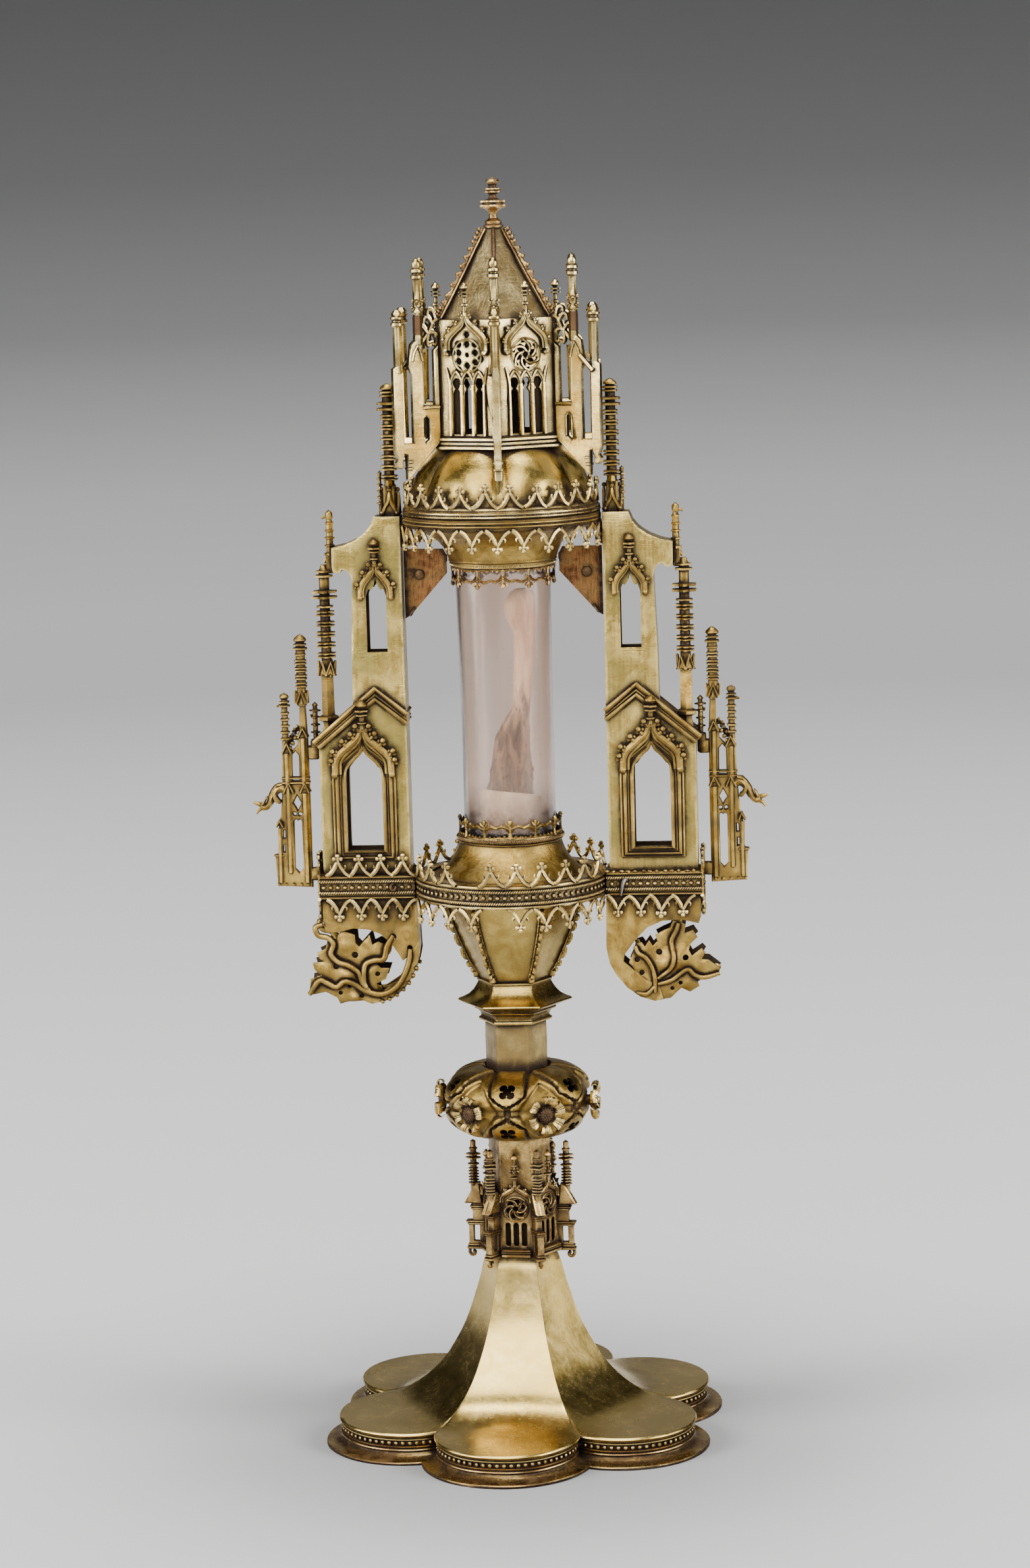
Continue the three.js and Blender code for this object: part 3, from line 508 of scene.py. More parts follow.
def ring_places(count, r, z, start=0.0, size=1.0, skip=()):
    """Places for units that face outwards round the axis; angles are measured from the front."""
    out = []
    for n in range(count):
        a = start + 360.0 * n / count
        if any(abs((a - s + 180) % 360 - 180) < 180.0 / count for s in skip):
            continue
        out.append(((r * sin(radians(a)), -r * cos(radians(a)), z), (0, 0, a), size))
    return out


def circle_path(r, z):
    count = 96
    return [(r * sin(2 * pi * i / count), -r * cos(2 * pi * i / count), z) for i in range(count)]


# ---- Finishes ----


def between(tree, value, low, high, to_low=0.0, to_high=1.0):
    return tree_node(
        tree, "ShaderNodeMapRange",
        {"Value": value, "From Min": low, "From Max": high, "To Min": to_low, "To Max": to_high},
        interpolation_type="SMOOTHSTEP",
    ).outputs[0]


def cloud(tree, spot, scale, detail=3.0, rough=0.55, warp=0.0):
    return tree_node(
        tree, "ShaderNodeTexNoise",
        {"Vector": spot, "Scale": scale, "Detail": detail, "Roughness": rough, "Distortion": warp},
    ).outputs["Fac"]


def stretched(tree, spot, scale):
    return tree_node(tree, "ShaderNodeMapping", {"Vector": spot, "Scale": scale}).outputs[0]


def old_metal_group():
    """Age on worked metal: tone, grime with painted shade in the hollows, rubbed edges with a painted
    highlight, streaks, pits and dents.
    """
    group = bpy.data.node_groups.new("old_metal", "ShaderNodeTree")
    face = group.interface
    for label, value in (
        ("Grain", 1.0), ("Hollow reach", 0.003), ("Hollow dirt", 1.0), ("Stain", 0.5),
        ("Streak", 0.5), ("Pitting", 0.5), ("Rub", 0.5),
    ):
        face.new_socket(label, in_out="INPUT", socket_type="NodeSocketFloat").default_value = value
    for label in ("Tone", "Tint", "Dirt", "Rubbed", "Blur", "Height"):
        face.new_socket(label, in_out="OUTPUT", socket_type="NodeSocketFloat")
    given = group.nodes.new("NodeGroupInput").outputs
    spot = group.nodes.new("ShaderNodeTexCoord").outputs["Object"]
    spot = tree_node(group, "ShaderNodeVectorMath", {0: spot}, operation="SCALE")
    group.links.new(given["Grain"], spot.inputs["Scale"])
    spot = spot.outputs[0]
    broad = cloud(group, spot, 42.0, 3.0, 0.5, 0.4)
    patch = cloud(group, spot, 120.0, 5.0, 0.6, 0.6)
    fine = cloud(group, spot, 620.0, 5.0, 0.65)
    upright = cloud(group, stretched(group, spot, (900.0, 900.0, 40.0)), 1.0, 4.0, 0.6, 0.3)
    level = cloud(group, stretched(group, spot, (160.0, 160.0, 1500.0)), 1.0, 3.0, 0.6, 0.2)
    pits = tree_node(
        group, "ShaderNodeTexVoronoi", {"Vector": spot, "Scale": 900.0, "Randomness": 1.0}
    ).outputs["Distance"]
    pit = between(group, pits, 0.16, 0.06)
    pit = maths(group, "MULTIPLY", pit, between(group, patch, 0.52, 0.68))
    pit = maths(group, "MULTIPLY", pit, given["Pitting"])
    # painted shade: darker where the metal comes close to other surfaces, varied in patches like grime
    hollow_shade = tree_node(
        group, "ShaderNodeAmbientOcclusion", {"Distance": given["Hollow reach"]}, samples=4
    ).outputs["AO"]
    hollow_shade = maths(group, "SUBTRACT", 1.0, hollow_shade, clamp=True)
    hollow_shade = maths(group, "MULTIPLY", hollow_shade, between(group, patch, 0.25, 0.7, 0.7, 1.4))
    hollow_shade = maths(group, "MULTIPLY", hollow_shade, given["Hollow dirt"])
    hollow_shade = between(group, hollow_shade, 0.16, 0.66)
    # rubbed edges: worn clean of dirt, and lightened as a painted highlight
    edge = tree_node(
        group, "ShaderNodeAmbientOcclusion", {"Distance": 0.0004}, samples=4, inside=True
    ).outputs["AO"]
    edge = maths(group, "SUBTRACT", 1.0, edge, clamp=True)
    rubbed_edge_and_highlight = maths(group, "MULTIPLY", between(group, edge, 0.4, 0.9), given["Rub"], clamp=True)
    rubbed_edge_and_highlight = maths(group, "MULTIPLY", rubbed_edge_and_highlight, maths(group, "SUBTRACT", 1.0, hollow_shade, clamp=True))
    stain = maths(group, "MULTIPLY", between(group, broad, 0.48, 0.72), between(group, patch, 0.3, 0.65))
    speck = between(group, fine, 0.56, 0.74)
    stain = maths(group, "MULTIPLY_ADD", speck, 0.35, stain)
    stain = maths(group, "MULTIPLY", stain, given["Stain"], clamp=True)
    dirt_and_shade = maths(
        group, "SUBTRACT", maths(group, "MAXIMUM", stain, pit), maths(group, "MULTIPLY", rubbed_edge_and_highlight, 0.8),
        clamp=True
    )
    # the shade painted into the hollows joins the stains and pits here
    dirt_and_shade = maths(group, "MAXIMUM", dirt_and_shade, hollow_shade)
    drawn = maths(group, "MULTIPLY", maths(group, "SUBTRACT", upright, 0.5), given["Streak"])
    tone = maths(group, "MULTIPLY_ADD", drawn, 1.3, between(group, patch, 0.3, 0.7))
    tint = maths(group, "MULTIPLY_ADD", drawn, 0.8, between(group, broad, 0.42, 0.62))
    blur = maths(group, "MULTIPLY_ADD", fine, 0.5, maths(group, "MULTIPLY", patch, 0.5))
    height = maths(
        group, "MULTIPLY_ADD", fine, maths(group, "MULTIPLY", given["Pitting"], 0.25),
        maths(group, "MULTIPLY", broad, 0.5)
    )
    height = maths(
        group, "MULTIPLY_ADD", maths(group, "SUBTRACT", level, 0.5),
        maths(group, "MULTIPLY", given["Streak"], 0.2), height
    )
    height = maths(group, "MULTIPLY_ADD", drawn, 0.3, height)
    height = maths(group, "SUBTRACT", height, maths(group, "MULTIPLY", pit, 0.9))
    sent = {
        "Tone": maths(group, "ADD", tone, 0.0, clamp=True), "Tint": maths(group, "ADD", tint, 0.0, clamp=True),
        "Dirt": dirt_and_shade, "Rubbed": rubbed_edge_and_highlight, "Blur": blur, "Height": height
    }
    tree_node(group, "NodeGroupOutput", sent)
    return group


OLD_METAL = old_metal_group()


def new_finish(name):
    finish = bpy.data.materials.new(name)
    finish.use_nodes = True
    tree = finish.node_tree
    return finish, tree, tree.nodes["Principled BSDF"]


def mixed(tree, factor, a, b):
    made = tree.nodes.new("ShaderNodeMix")
    made.data_type = "RGBA"
    for socket, value in ((made.inputs[0], factor), (made.inputs[6], a), (made.inputs[7], b)):
        if isinstance(value, bpy.types.NodeSocket):
            tree.links.new(value, socket)
        elif isinstance(value, tuple):
            socket.default_value = (*value, 1.0)
        else:
            socket.default_value = value
    return made.outputs[2]


def metal(name, light, deep, tint, grime_and_shade, *, grain=1.0, reach=0.003, hollow_shade=1.0, stain=0.5,
          streak=0.5, pitting=0.5, rub_and_highlight=0.5, gloss=(0.2, 0.4), relief=0.25, tint_share=0.5):
    """Worked metal: light and deep tones of the metal, a tint in patches, grime and painted shade in the
    hollows, a painted highlight on rubbed edges.
    """
    finish, tree, shader = new_finish(name)
    age = tree_node(tree, "ShaderNodeGroup", node_tree=OLD_METAL)
    for label, value in (
        ("Grain", grain), ("Hollow reach", reach), ("Hollow dirt", hollow_shade), ("Stain", stain),
        ("Streak", streak), ("Pitting", pitting), ("Rub", rub_and_highlight),
    ):
        age.inputs[label].default_value = value
    out = age.outputs
    colour = mixed(tree, out["Tone"], deep, light)
    colour = mixed(tree, maths(tree, "MULTIPLY", out["Tint"], tint_share), colour, tint)
    # painted highlight: rubbed edges lightened past the metal's own light tone
    colour = mixed(
        tree, maths(tree, "MULTIPLY", out["Rubbed"], 0.7), colour, tuple(min(1.0, v * 1.25) for v in light)
    )
    # grime, and shade painted into the hollows
    colour = mixed(tree, out["Dirt"], colour, grime_and_shade)
    tree.links.new(colour, shader.inputs["Base Color"])
    tree.links.new(between(tree, out["Dirt"], 0.0, 1.0, 1.0, 0.3), shader.inputs["Metallic"])
    tree.links.new(between(tree, out["Dirt"], 0.0, 1.0, 0.5, 0.2), shader.inputs["Specular IOR Level"])
    rough = between(tree, out["Blur"], 0.3, 0.7, *gloss)
    tree.links.new(
        maths(tree, "MULTIPLY_ADD", out["Dirt"], 0.38, rough, clamp=True), shader.inputs["Roughness"]
    )
    bump = tree_node(tree, "ShaderNodeBump", {"Height": out["Height"], "Strength": relief, "Distance": 0.0012})
    tree.links.new(bump.outputs[0], shader.inputs["Normal"])
    return finish


# the colour of grime and of the shade painted into hollows
BROWN = (0.020, 0.010, 0.005)

gilt_polished = metal(
    "gilt_polished", (0.74, 0.54, 0.185), (0.58, 0.405, 0.11), (0.50, 0.345, 0.085), BROWN, reach=0.004,
    hollow_shade=1.8, stain=0.05, streak=0.3, pitting=0.35, rub_and_highlight=0.8, gloss=(0.18, 0.30), relief=0.12
)
gilt_rim = metal(
    "gilt_rim", (0.66, 0.465, 0.16), (0.36, 0.22, 0.065), (0.26, 0.135, 0.045), BROWN, grain=1.2, reach=0.0045,
    hollow_shade=2.4, stain=0.6, streak=0.3, pitting=0.7, rub_and_highlight=1.0, gloss=(0.17, 0.32), relief=0.3, tint_share=0.8
)
gilt_dull = metal(
    "gilt_dull", (0.44, 0.33, 0.135), (0.24, 0.165, 0.058), (0.21, 0.135, 0.045), BROWN, grain=0.9, reach=0.006,
    hollow_shade=2.4, stain=0.6, streak=0.7, pitting=0.7, rub_and_highlight=0.9, gloss=(0.18, 0.33), relief=0.26, tint_share=0.7
)
gilt_satin = metal(
    "gilt_satin", (0.50, 0.355, 0.10), (0.32, 0.21, 0.05), (0.28, 0.20, 0.045), BROWN, reach=0.0045, hollow_shade=2.1,
    stain=0.55, streak=0.5, pitting=0.6, rub_and_highlight=0.9, gloss=(0.17, 0.32), relief=0.24
)
gilt_brushed = metal(
    "gilt_brushed", (0.60, 0.445, 0.14), (0.31, 0.205, 0.048), (0.28, 0.225, 0.058), BROWN, reach=0.0038,
    hollow_shade=2.0, stain=0.4, streak=1.7, pitting=0.7, rub_and_highlight=1.0, gloss=(0.2, 0.36), relief=0.34, tint_share=0.75
)
gilt_bright = metal(
    "gilt_bright", (0.88, 0.71, 0.33), (0.42, 0.285, 0.08), (0.40, 0.28, 0.08), BROWN, reach=0.0034, hollow_shade=2.4,
    stain=0.35, streak=0.4, pitting=0.8, rub_and_highlight=1.0, gloss=(0.12, 0.26), relief=0.36
)
gilt_cast = metal("gilt_cast", (0.80, 0.61, 0.24), (0.46, 0.31, 0.09), (0.32, 0.20, 0.055), BROWN,
                  grain=1.6, reach=0.003, hollow_shade=2.3, stain=0.5, streak=0.15, pitting=1.0, rub_and_highlight=1.0,
                  gloss=(0.14, 0.32), relief=0.5)
gilt_worn = metal("gilt_worn", (0.49, 0.33, 0.085), (0.22, 0.13, 0.028), (0.20, 0.125, 0.025), BROWN,
                  grain=1.4, reach=0.0038, hollow_shade=2.3, stain=0.7, streak=0.3, pitting=1.0, rub_and_highlight=1.0,
                  gloss=(0.25, 0.4), relief=0.6)
gilt_brown = metal("gilt_brown", (0.58, 0.40, 0.145), (0.20, 0.115, 0.034), (0.16, 0.085, 0.03), BROWN,
                   grain=1.5, reach=0.0034, hollow_shade=2.5, stain=0.75, streak=0.2, pitting=1.0, rub_and_highlight=1.0,
                   gloss=(0.14, 0.32), relief=0.6)
brown_metal = metal(
    "brown_metal", (0.13, 0.075, 0.036), (0.055, 0.032, 0.018), (0.08, 0.045, 0.022), (0.012, 0.007, 0.004),
    grain=1.4, hollow_shade=1.4, stain=0.6, rub_and_highlight=0.7, gloss=(0.32, 0.5), relief=0.6
)
copper_sheet = metal(
    "copper_sheet", (0.235, 0.108, 0.04), (0.065, 0.028, 0.012), (0.30, 0.175, 0.055), (0.02, 0.01, 0.006),
    grain=2.2, reach=0.0035, hollow_shade=1.9, stain=1.1, streak=1.4, pitting=1.0, rub_and_highlight=0.8, gloss=(0.28, 0.5),
    relief=0.7, tint_share=0.65
)
copper_gilt = metal(
    "copper_gilt", (0.58, 0.385, 0.14), (0.25, 0.135, 0.045), (0.32, 0.17, 0.065), BROWN, grain=1.6,
    reach=0.003, hollow_shade=2.1, stain=0.6, pitting=0.8, rub_and_highlight=1.0, gloss=(0.18, 0.36), relief=0.5
)
roof_gilt = metal(
    "roof_gilt", (0.56, 0.43, 0.20), (0.26, 0.19, 0.075), (0.22, 0.145, 0.05), (0.03, 0.018, 0.009),
    reach=0.005, hollow_shade=1.9, stain=0.7, streak=1.6, pitting=0.6, rub_and_highlight=0.5, gloss=(0.26, 0.42), relief=0.36,
    tint_share=0.8
)
iron = metal("iron_wire", (0.32, 0.31, 0.30), (0.18, 0.17, 0.16), (0.25, 0.2, 0.16), (0.03, 0.025, 0.02),
             grain=2.0, stain=0.6, rub_and_highlight=0.6, gloss=(0.4, 0.6), relief=0.5)
# painted shade: a near-black finish for sheets set inside hollows and behind openings, where only shade is seen
painted_shade_inside = metal(
    "painted_shade_inside", (0.05, 0.032, 0.018), (0.025, 0.016, 0.01), (0.035, 0.024, 0.014), (0.008, 0.005, 0.003),
    grain=1.2, hollow_shade=1.2, stain=0.8, streak=0.4, rub_and_highlight=0.1, gloss=(0.55, 0.75), relief=0.4
)


def bone_finish():
    """Old bone: creamy pink and smooth above, brown and spongy towards the broken end."""
    finish, tree, shader = new_finish("old_bone")
    spot = tree.nodes.new("ShaderNodeTexCoord").outputs["Object"]
    height = tree_node(tree, "ShaderNodeSeparateXYZ", {0: spot}).outputs["Z"]
    drawn = cloud(tree, stretched(tree, spot, (260.0, 260.0, 60.0)), 1.0, 5.0, 0.62, 0.8)
    cell = tree_node(
        tree, "ShaderNodeTexVoronoi", {"Vector": stretched(tree, spot, (1.0, 1.0, 0.55)), "Scale": 620.0}
    ).outputs["Distance"]
    low = between(
        tree, maths(tree, "MULTIPLY_ADD", maths(tree, "SUBTRACT", drawn, 0.5), 0.045, height), 0.310, 0.282
    )
    colour = mixed(tree, between(tree, drawn, 0.3, 0.7), (0.40, 0.29, 0.20), (0.55, 0.45, 0.345))
    broken = mixed(tree, between(tree, drawn, 0.35, 0.62), (0.055, 0.035, 0.02), (0.22, 0.155, 0.095))
    colour = mixed(tree, low, colour, broken)
    pore = maths(tree, "MULTIPLY", between(tree, cell, 0.38, 0.16), maths(tree, "MULTIPLY_ADD", low, 0.7, 0.08))
    colour = mixed(tree, pore, colour, (0.10, 0.06, 0.04))
    # painted shade: darker in the bone's creases and where it comes close to the tray and the glass
    hollow_shade = tree_node(tree, "ShaderNodeAmbientOcclusion", {"Distance": 0.004}, samples=4).outputs["AO"]
    colour = mixed(tree, between(tree, hollow_shade, 0.9, 0.3), colour, (0.14, 0.08, 0.05))
    tree.links.new(colour, shader.inputs["Base Color"])
    tree.links.new(between(tree, drawn, 0.3, 0.7, 0.5, 0.72), shader.inputs["Roughness"])
    lift = maths(tree, "SUBTRACT", maths(tree, "MULTIPLY", drawn, 0.6), maths(tree, "MULTIPLY", pore, 0.8))
    bump = tree_node(tree, "ShaderNodeBump", {"Height": lift, "Strength": 0.6, "Distance": 0.001})
    tree.links.new(bump.outputs[0], shader.inputs["Normal"])
    shader.inputs["Subsurface Weight"].default_value = 0.12
    shader.inputs["Subsurface Radius"].default_value = (0.004, 0.002, 0.001)
    return finish


def tray_finish():
    """Cream pasteboard, with shade painted in where it meets the glass."""
    finish, tree, shader = new_finish("cream_pasteboard")
    spot = tree.nodes.new("ShaderNodeTexCoord").outputs["Object"]
    soft = cloud(tree, spot, 95.0, 5.0, 0.6, 0.5)
    fibre = cloud(tree, stretched(tree, spot, (700.0, 700.0, 260.0)), 1.0, 4.0, 0.6)
    colour = mixed(tree, between(tree, soft, 0.3, 0.7), (0.46, 0.40, 0.31), (0.64, 0.58, 0.48))
    colour = mixed(tree, between(tree, fibre, 0.55, 0.75, 0.0, 0.35), colour, (0.40, 0.33, 0.24))
    # painted shade: darker where the tray comes close to the glass, the bone and its own folds
    hollow_shade = tree_node(tree, "ShaderNodeAmbientOcclusion", {"Distance": 0.006}, samples=4).outputs["AO"]
    colour = mixed(tree, between(tree, hollow_shade, 0.95, 0.35), colour, (0.22, 0.17, 0.12))
    tree.links.new(colour, shader.inputs["Base Color"])
    tree.links.new(between(tree, fibre, 0.3, 0.7, 0.7, 0.9), shader.inputs["Roughness"])
    bump = tree_node(tree, "ShaderNodeBump", {"Height": fibre, "Strength": 0.4, "Distance": 0.0006})
    tree.links.new(bump.outputs[0], shader.inputs["Normal"])
    return finish


def glass_finish():
    """Old blown glass with a smoky lilac cast, wavy and a little dusty."""
    finish, tree, shader = new_finish("old_glass")
    spot = tree.nodes.new("ShaderNodeTexCoord").outputs["Object"]
    height = tree_node(tree, "ShaderNodeSeparateXYZ", {0: spot}).outputs["Z"]
    wave = cloud(tree, stretched(tree, spot, (60.0, 60.0, 14.0)), 1.0, 2.0, 0.4, 0.5)
    dust = cloud(tree, spot, 480.0, 5.0, 0.7)
    seed = tree_node(tree, "ShaderNodeTexVoronoi", {"Vector": spot, "Scale": 260.0}).outputs["Distance"]
    speck = between(tree, seed, 0.07, 0.03)
    foot = between(tree, height, 0.266, 0.243)
    colour = mixed(tree, between(tree, wave, 0.35, 0.65), (0.94, 0.77, 0.67), (1.0, 0.88, 0.80))
    colour = mixed(
        tree, maths(tree, "MULTIPLY", foot, between(tree, dust, 0.4, 0.6, 0.5, 0.9)), colour,
        (0.30, 0.21, 0.155)
    )
    colour = mixed(tree, maths(tree, "MULTIPLY", speck, 0.5), colour, (0.36, 0.28, 0.2))
    tree.links.new(colour, shader.inputs["Base Color"])
    rough = between(tree, dust, 0.35, 0.7, 0.05, 0.15)
    tree.links.new(maths(tree, "MULTIPLY_ADD", foot, 0.15, rough), shader.inputs["Roughness"])
    bump = tree_node(
        tree, "ShaderNodeBump",
        {
            "Height": maths(tree, "ADD", wave, maths(tree, "MULTIPLY", speck, 0.3)), "Strength": 0.3,
            "Distance": 0.002
        }
    )
    tree.links.new(bump.outputs[0], shader.inputs["Normal"])
    shader.inputs["Transmission Weight"].default_value = 1.0
    shader.inputs["IOR"].default_value = 1.46
    shader.inputs["Metallic"].default_value = 0.0
    return finish


old_bone = bone_finish()
pasteboard = tray_finish()
old_glass = glass_finish()


# ---- Foot: six concave faces running down into six round lobes ----

LOBE_CENTRE = 50.0  # from the axis
CUSP_HALF = LOBE_CENTRE / 2  # the lobes meet this far from a lobe's own line
FOOT_STEPS = 30  # points along each of the six sides


def trunk_row(middle, corner, z):
    """A level of the foot: straight or swelling faces between six ridges that are a little rounded."""
    swell = middle - corner * COS30
    row = []
    for n in range(6):
        a = radians(60 * n + SHAFT_TURN)
        out = np.array([sin(a), -cos(a)])
        side = np.array([cos(a), sin(a)])
        for i in range(FOOT_STEPS):
            half = pi * i / FOOT_STEPS
            p = side * (-corner / 2 * cos(half)) + out * (corner * COS30 + swell * sin(half))
            if i == 0:
                p *= 1 - 0.28 / max(np.linalg.norm(p), 1)
            row.append((p[0], p[1], z))
    return row


def lobe_reach(r):
    """Half the angle of a lobe's arc of radius r, up to where it meets the next lobe."""
    cusp = LOBE_CENTRE * COS30 + sqrt(r * r - CUSP_HALF * CUSP_HALF)
    return atan2(cusp * 0.5, cusp * COS30 - LOBE_CENTRE)


def lobe_row(r, z, wave=0.0):
    """A level of the rim: six round lobes, waved a little where the sheet is thin."""
    reach = lobe_reach(r)
    row = []
    for n in range(6):
        a = radians(60 * n + SHAFT_TURN)
        out = np.array([sin(a), -cos(a)])
        side = np.array([cos(a), sin(a)])
        for i in range(FOOT_STEPS):
            b = -reach + 2 * reach * i / FOOT_STEPS
            q = r + wave * sin(5 * b + 2.1 * n) * cos(2 * b + n)
            p = side * q * sin(b) + out * (LOBE_CENTRE + q * cos(b))
            row.append((p[0], p[1], z + abs(wave) * 0.5 * (1 + sin(3 * b + 1.7 * n))))
    return row


TRUNK = [  # middle of a face, ridge, height
    (12.4, 14.3, 72.0), (13.2, 15.2, 69.8), (14.1, 16.3, 66.6), (15.4, 17.8, 60.5), (17.3, 20.0, 53.4),
    (19.4, 22.5, 46.3),
    (22.1, 25.5, 39.3), (25.0, 28.9, 33.2), (28.3, 32.6, 27.6), (32.2, 37.0, 22.6), (36.6, 41.6, 18.5),
    (41.6, 46.4, 15.3),
    (47.2, 50.6, 13.2), (53.4, 53.8, 12.15), (60.0, 55.9, 11.7), (66.6, 57.0, 11.5), (72.8, 57.7, 11.4),
    (78.9, 58.0, 11.3),
]
RIM = [
    (29.25, 11.0), (29.45, 10.55), (29.2, 10.1), (28.5, 9.75), (28.0, 9.45), (27.9, 9.1), (28.35, 8.8),
    (28.4, 8.45), (27.8, 8.2), (27.35, 7.9), (27.3, 6.4), (27.8, 6.15), (28.25, 5.85), (28.2, 5.5),
    (27.75, 5.25), (27.75, 5.0), (28.5, 4.7), (28.65, 4.3), (28.2, 4.0), (28.1, 3.5), (28.6, 2.7), (29.6, 2.0),
    (31.0, 1.55), (33.0, 1.3), (34.3, 1.2), (34.6, 0.8), (34.5, 0.0)
]


FOOT_SHARE = 0.991  # keeps the flange inside the part's own size


def banded(form, low, high):
    """The faces of a form between two heights, then the rest."""
    points, faces = form
    middle = [np.mean([points[i][2] for i in face]) for face in faces]
    inside_band = [face for face, z in zip(faces, middle) if low < z < high]
    return (points, inside_band), (points, [face for face, z in zip(faces, middle) if not low < z < high])


def foot_sheet():
    rows = [trunk_row(*row) for row in smooth_path(TRUNK, 4)]
    for r, z in RIM:
        rows.append(lobe_row(r, z, wave=0.22 if r > 32 and z > 0.5 else 0.0))
    inner = [lobe_row(r, z) for r, z in ((30.0, 0.0), (28.4, 1.0), (27.0, 3.0), (26.6, 8.6), (27.2, 9.6))]
    inner += [trunk_row(m - 1.3, c - 1.5, z - 0.9) for m, c, z in reversed(TRUNK[1:])]
    inner.append(trunk_row(10.6, 12.2, 71.4))
    points, faces = uneven(lofted(rows + inner, ring=True), 0.16, 17.0, 3)
    points = points * (FOOT_SHARE, FOOT_SHARE, 1.0)
    points[:, 2] = np.maximum(points[:, 2], 0.0)
    return points, faces


def foot_bead_places():
    places = []
    r, z, pitch = 27.75, 7.15, 2.72
    reach = lobe_reach(r)
    count = int(2 * reach * r / pitch)
    for n in range(6):
        a = radians(60 * n + SHAFT_TURN)
        for i in range(count):
            b = -reach + 2 * reach * (i + 0.5) / count
            x = r * sin(b) * cos(a) + (LOBE_CENTRE + r * cos(b)) * sin(a)
            y = r * sin(b) * sin(a) - (LOBE_CENTRE + r * cos(b)) * cos(a)
            places.append(((x * FOOT_SHARE, y * FOOT_SHARE, z), (0, 0, degrees(a + b)), 1.0))
    return places


foot_rim, foot_rest = banded(foot_sheet(), -1, 8.4)  # the flange and the mouldings under the beads
finished(
    "foot_raised_sheet", [(foot_rest, 0), (foot_rim, 1)], [gilt_polished, gilt_rim], ["foot"],
    crease=40, merge=0.002
)
units("foot_beading", ball(0, 0, 0, 0.92, 8, 6), foot_bead_places(), gilt_cast, off_true=0.05)


# ---- Stem, knop and chapel ----


def stem_tube():
    rows = [
        (10.9, 71.6), (12.3, 71.6), (12.45, 80), (12.4, 100), (12.4, 121), (12.35, 134), (12.45, 148),
        (12.6, 160), (12.4, 167.2), (10.9, 167.2)
    ]
    return uneven(hex_form(rows, 0.5, 3, SHAFT_TURN + 30), 0.1, 14.0, 5)


stem_low, stem_rest = banded(stem_tube(), 72, 134)  # browned between the chapel and the knop
finished(
    "stem_hex_tube", [(stem_rest, 0), (stem_low, 1)], [gilt_dull, gilt_brown], ["stem"], merge=0.002
)

KNOP_Z, KNOP_R, KNOP_HALF = 134.8, 27.9, 12.5


def step(value, width):
    """Nought to one over the width, centred on nought."""
    return 1 / (1 + exp(-max(-40.0, min(40.0, 4 * value / width))))


def knop_point(azimuth, level, sink=0.0):
    """The knop's skin: a flattened globe with flat ribbons in V shapes round twelve raised shields."""
    upper = 1 if level >= 0 else -1
    s = abs(level)
    body = cos(s * pi / 2) ** 0.82
    r = 12.0 + (KNOP_R - 12.0) * body
    z = KNOP_HALF * sin(s * pi / 2) ** 0.97
    off = (azimuth + 30) % 60 - 30
    across = abs(radians(off) * r)
    ribbon_at = 1.2 + 8.6 * min(1.0, s * 1.5) ** 0.85
    crown = 2.0 + 0.5 * cos((across - ribbon_at) * 1.1)
    ribbon = step(2.5 - abs(across - ribbon_at), 1.3) * crown * step(s - 0.045, 0.05)
    half = 6.3 * min(1.0, max(0.0, (s - 0.13) / 0.2)) ** 0.75 - 2.6 * max(0.0, s - 0.62)
    shield = step(half - across, 0.8) * 2.9 * step(s - 0.12, 0.05)
    lift = max(ribbon * (1 - step(half + 0.8 - across, 0.8)), shield)
    lift -= 0.8 * exp(-((s / 0.06) ** 2))
    lift += 0.5 * step(abs(off) - 22, 6) * (1 - s)
    r += lift * (0.3 + 0.7 * body) - sink
    z += lift * 0.5 * s - sink * s
    a = radians(azimuth + SHAFT_TURN)
    return r * sin(a), -r * cos(a), KNOP_Z + upper * z


def knop_shell():
    def rows(sink, order):
        return [[knop_point(360 * i / 240, level, sink) for i in range(240)] for level in order]

    levels = [copysign(1 - (1 - abs(v)) ** 1.25, v) * 0.985 for v in np.linspace(-1, 1, 69)]
    shell = lofted(rows(0.0, levels) + rows(1.3, levels[::-4]), ring=True)
    return uneven(shell, 0.14, 7.0, 11)


def cut_away(form, cutters):
    """The form less the cutters."""
    objects = []
    for label, shape in (("body", form), ("cutter", joined(*cutters))):
        mesh = bpy.data.meshes.new(label)
        mesh.from_pydata(np.asarray(shape[0]), [], shape[1])
        work = bmesh_of(mesh, 0.002)
        bmesh.ops.triangulate(work, faces=work.faces)
        closed_up(work, mesh)
        objects.append(linked(label, mesh))
    cut = objects[0].modifiers.new("cut", "BOOLEAN")
    cut.operation, cut.solver, cut.object = "DIFFERENCE", "MANIFOLD", objects[1]
    bpy.context.view_layer.update()
    graph = bpy.context.evaluated_depsgraph_get()
    mesh = objects[0].evaluated_get(graph).to_mesh()
    result = np.array([v.co[:] for v in mesh.vertices]), [tuple(p.vertices) for p in mesh.polygons]
    for made in objects:
        bpy.data.objects.remove(made)
    return result


def prism(outline, depth):
    """A straight-sided cutter with its outline in the XZ plane."""
    return lofted([[(x, y, z) for x, z in outline] for y in (-depth, depth)])


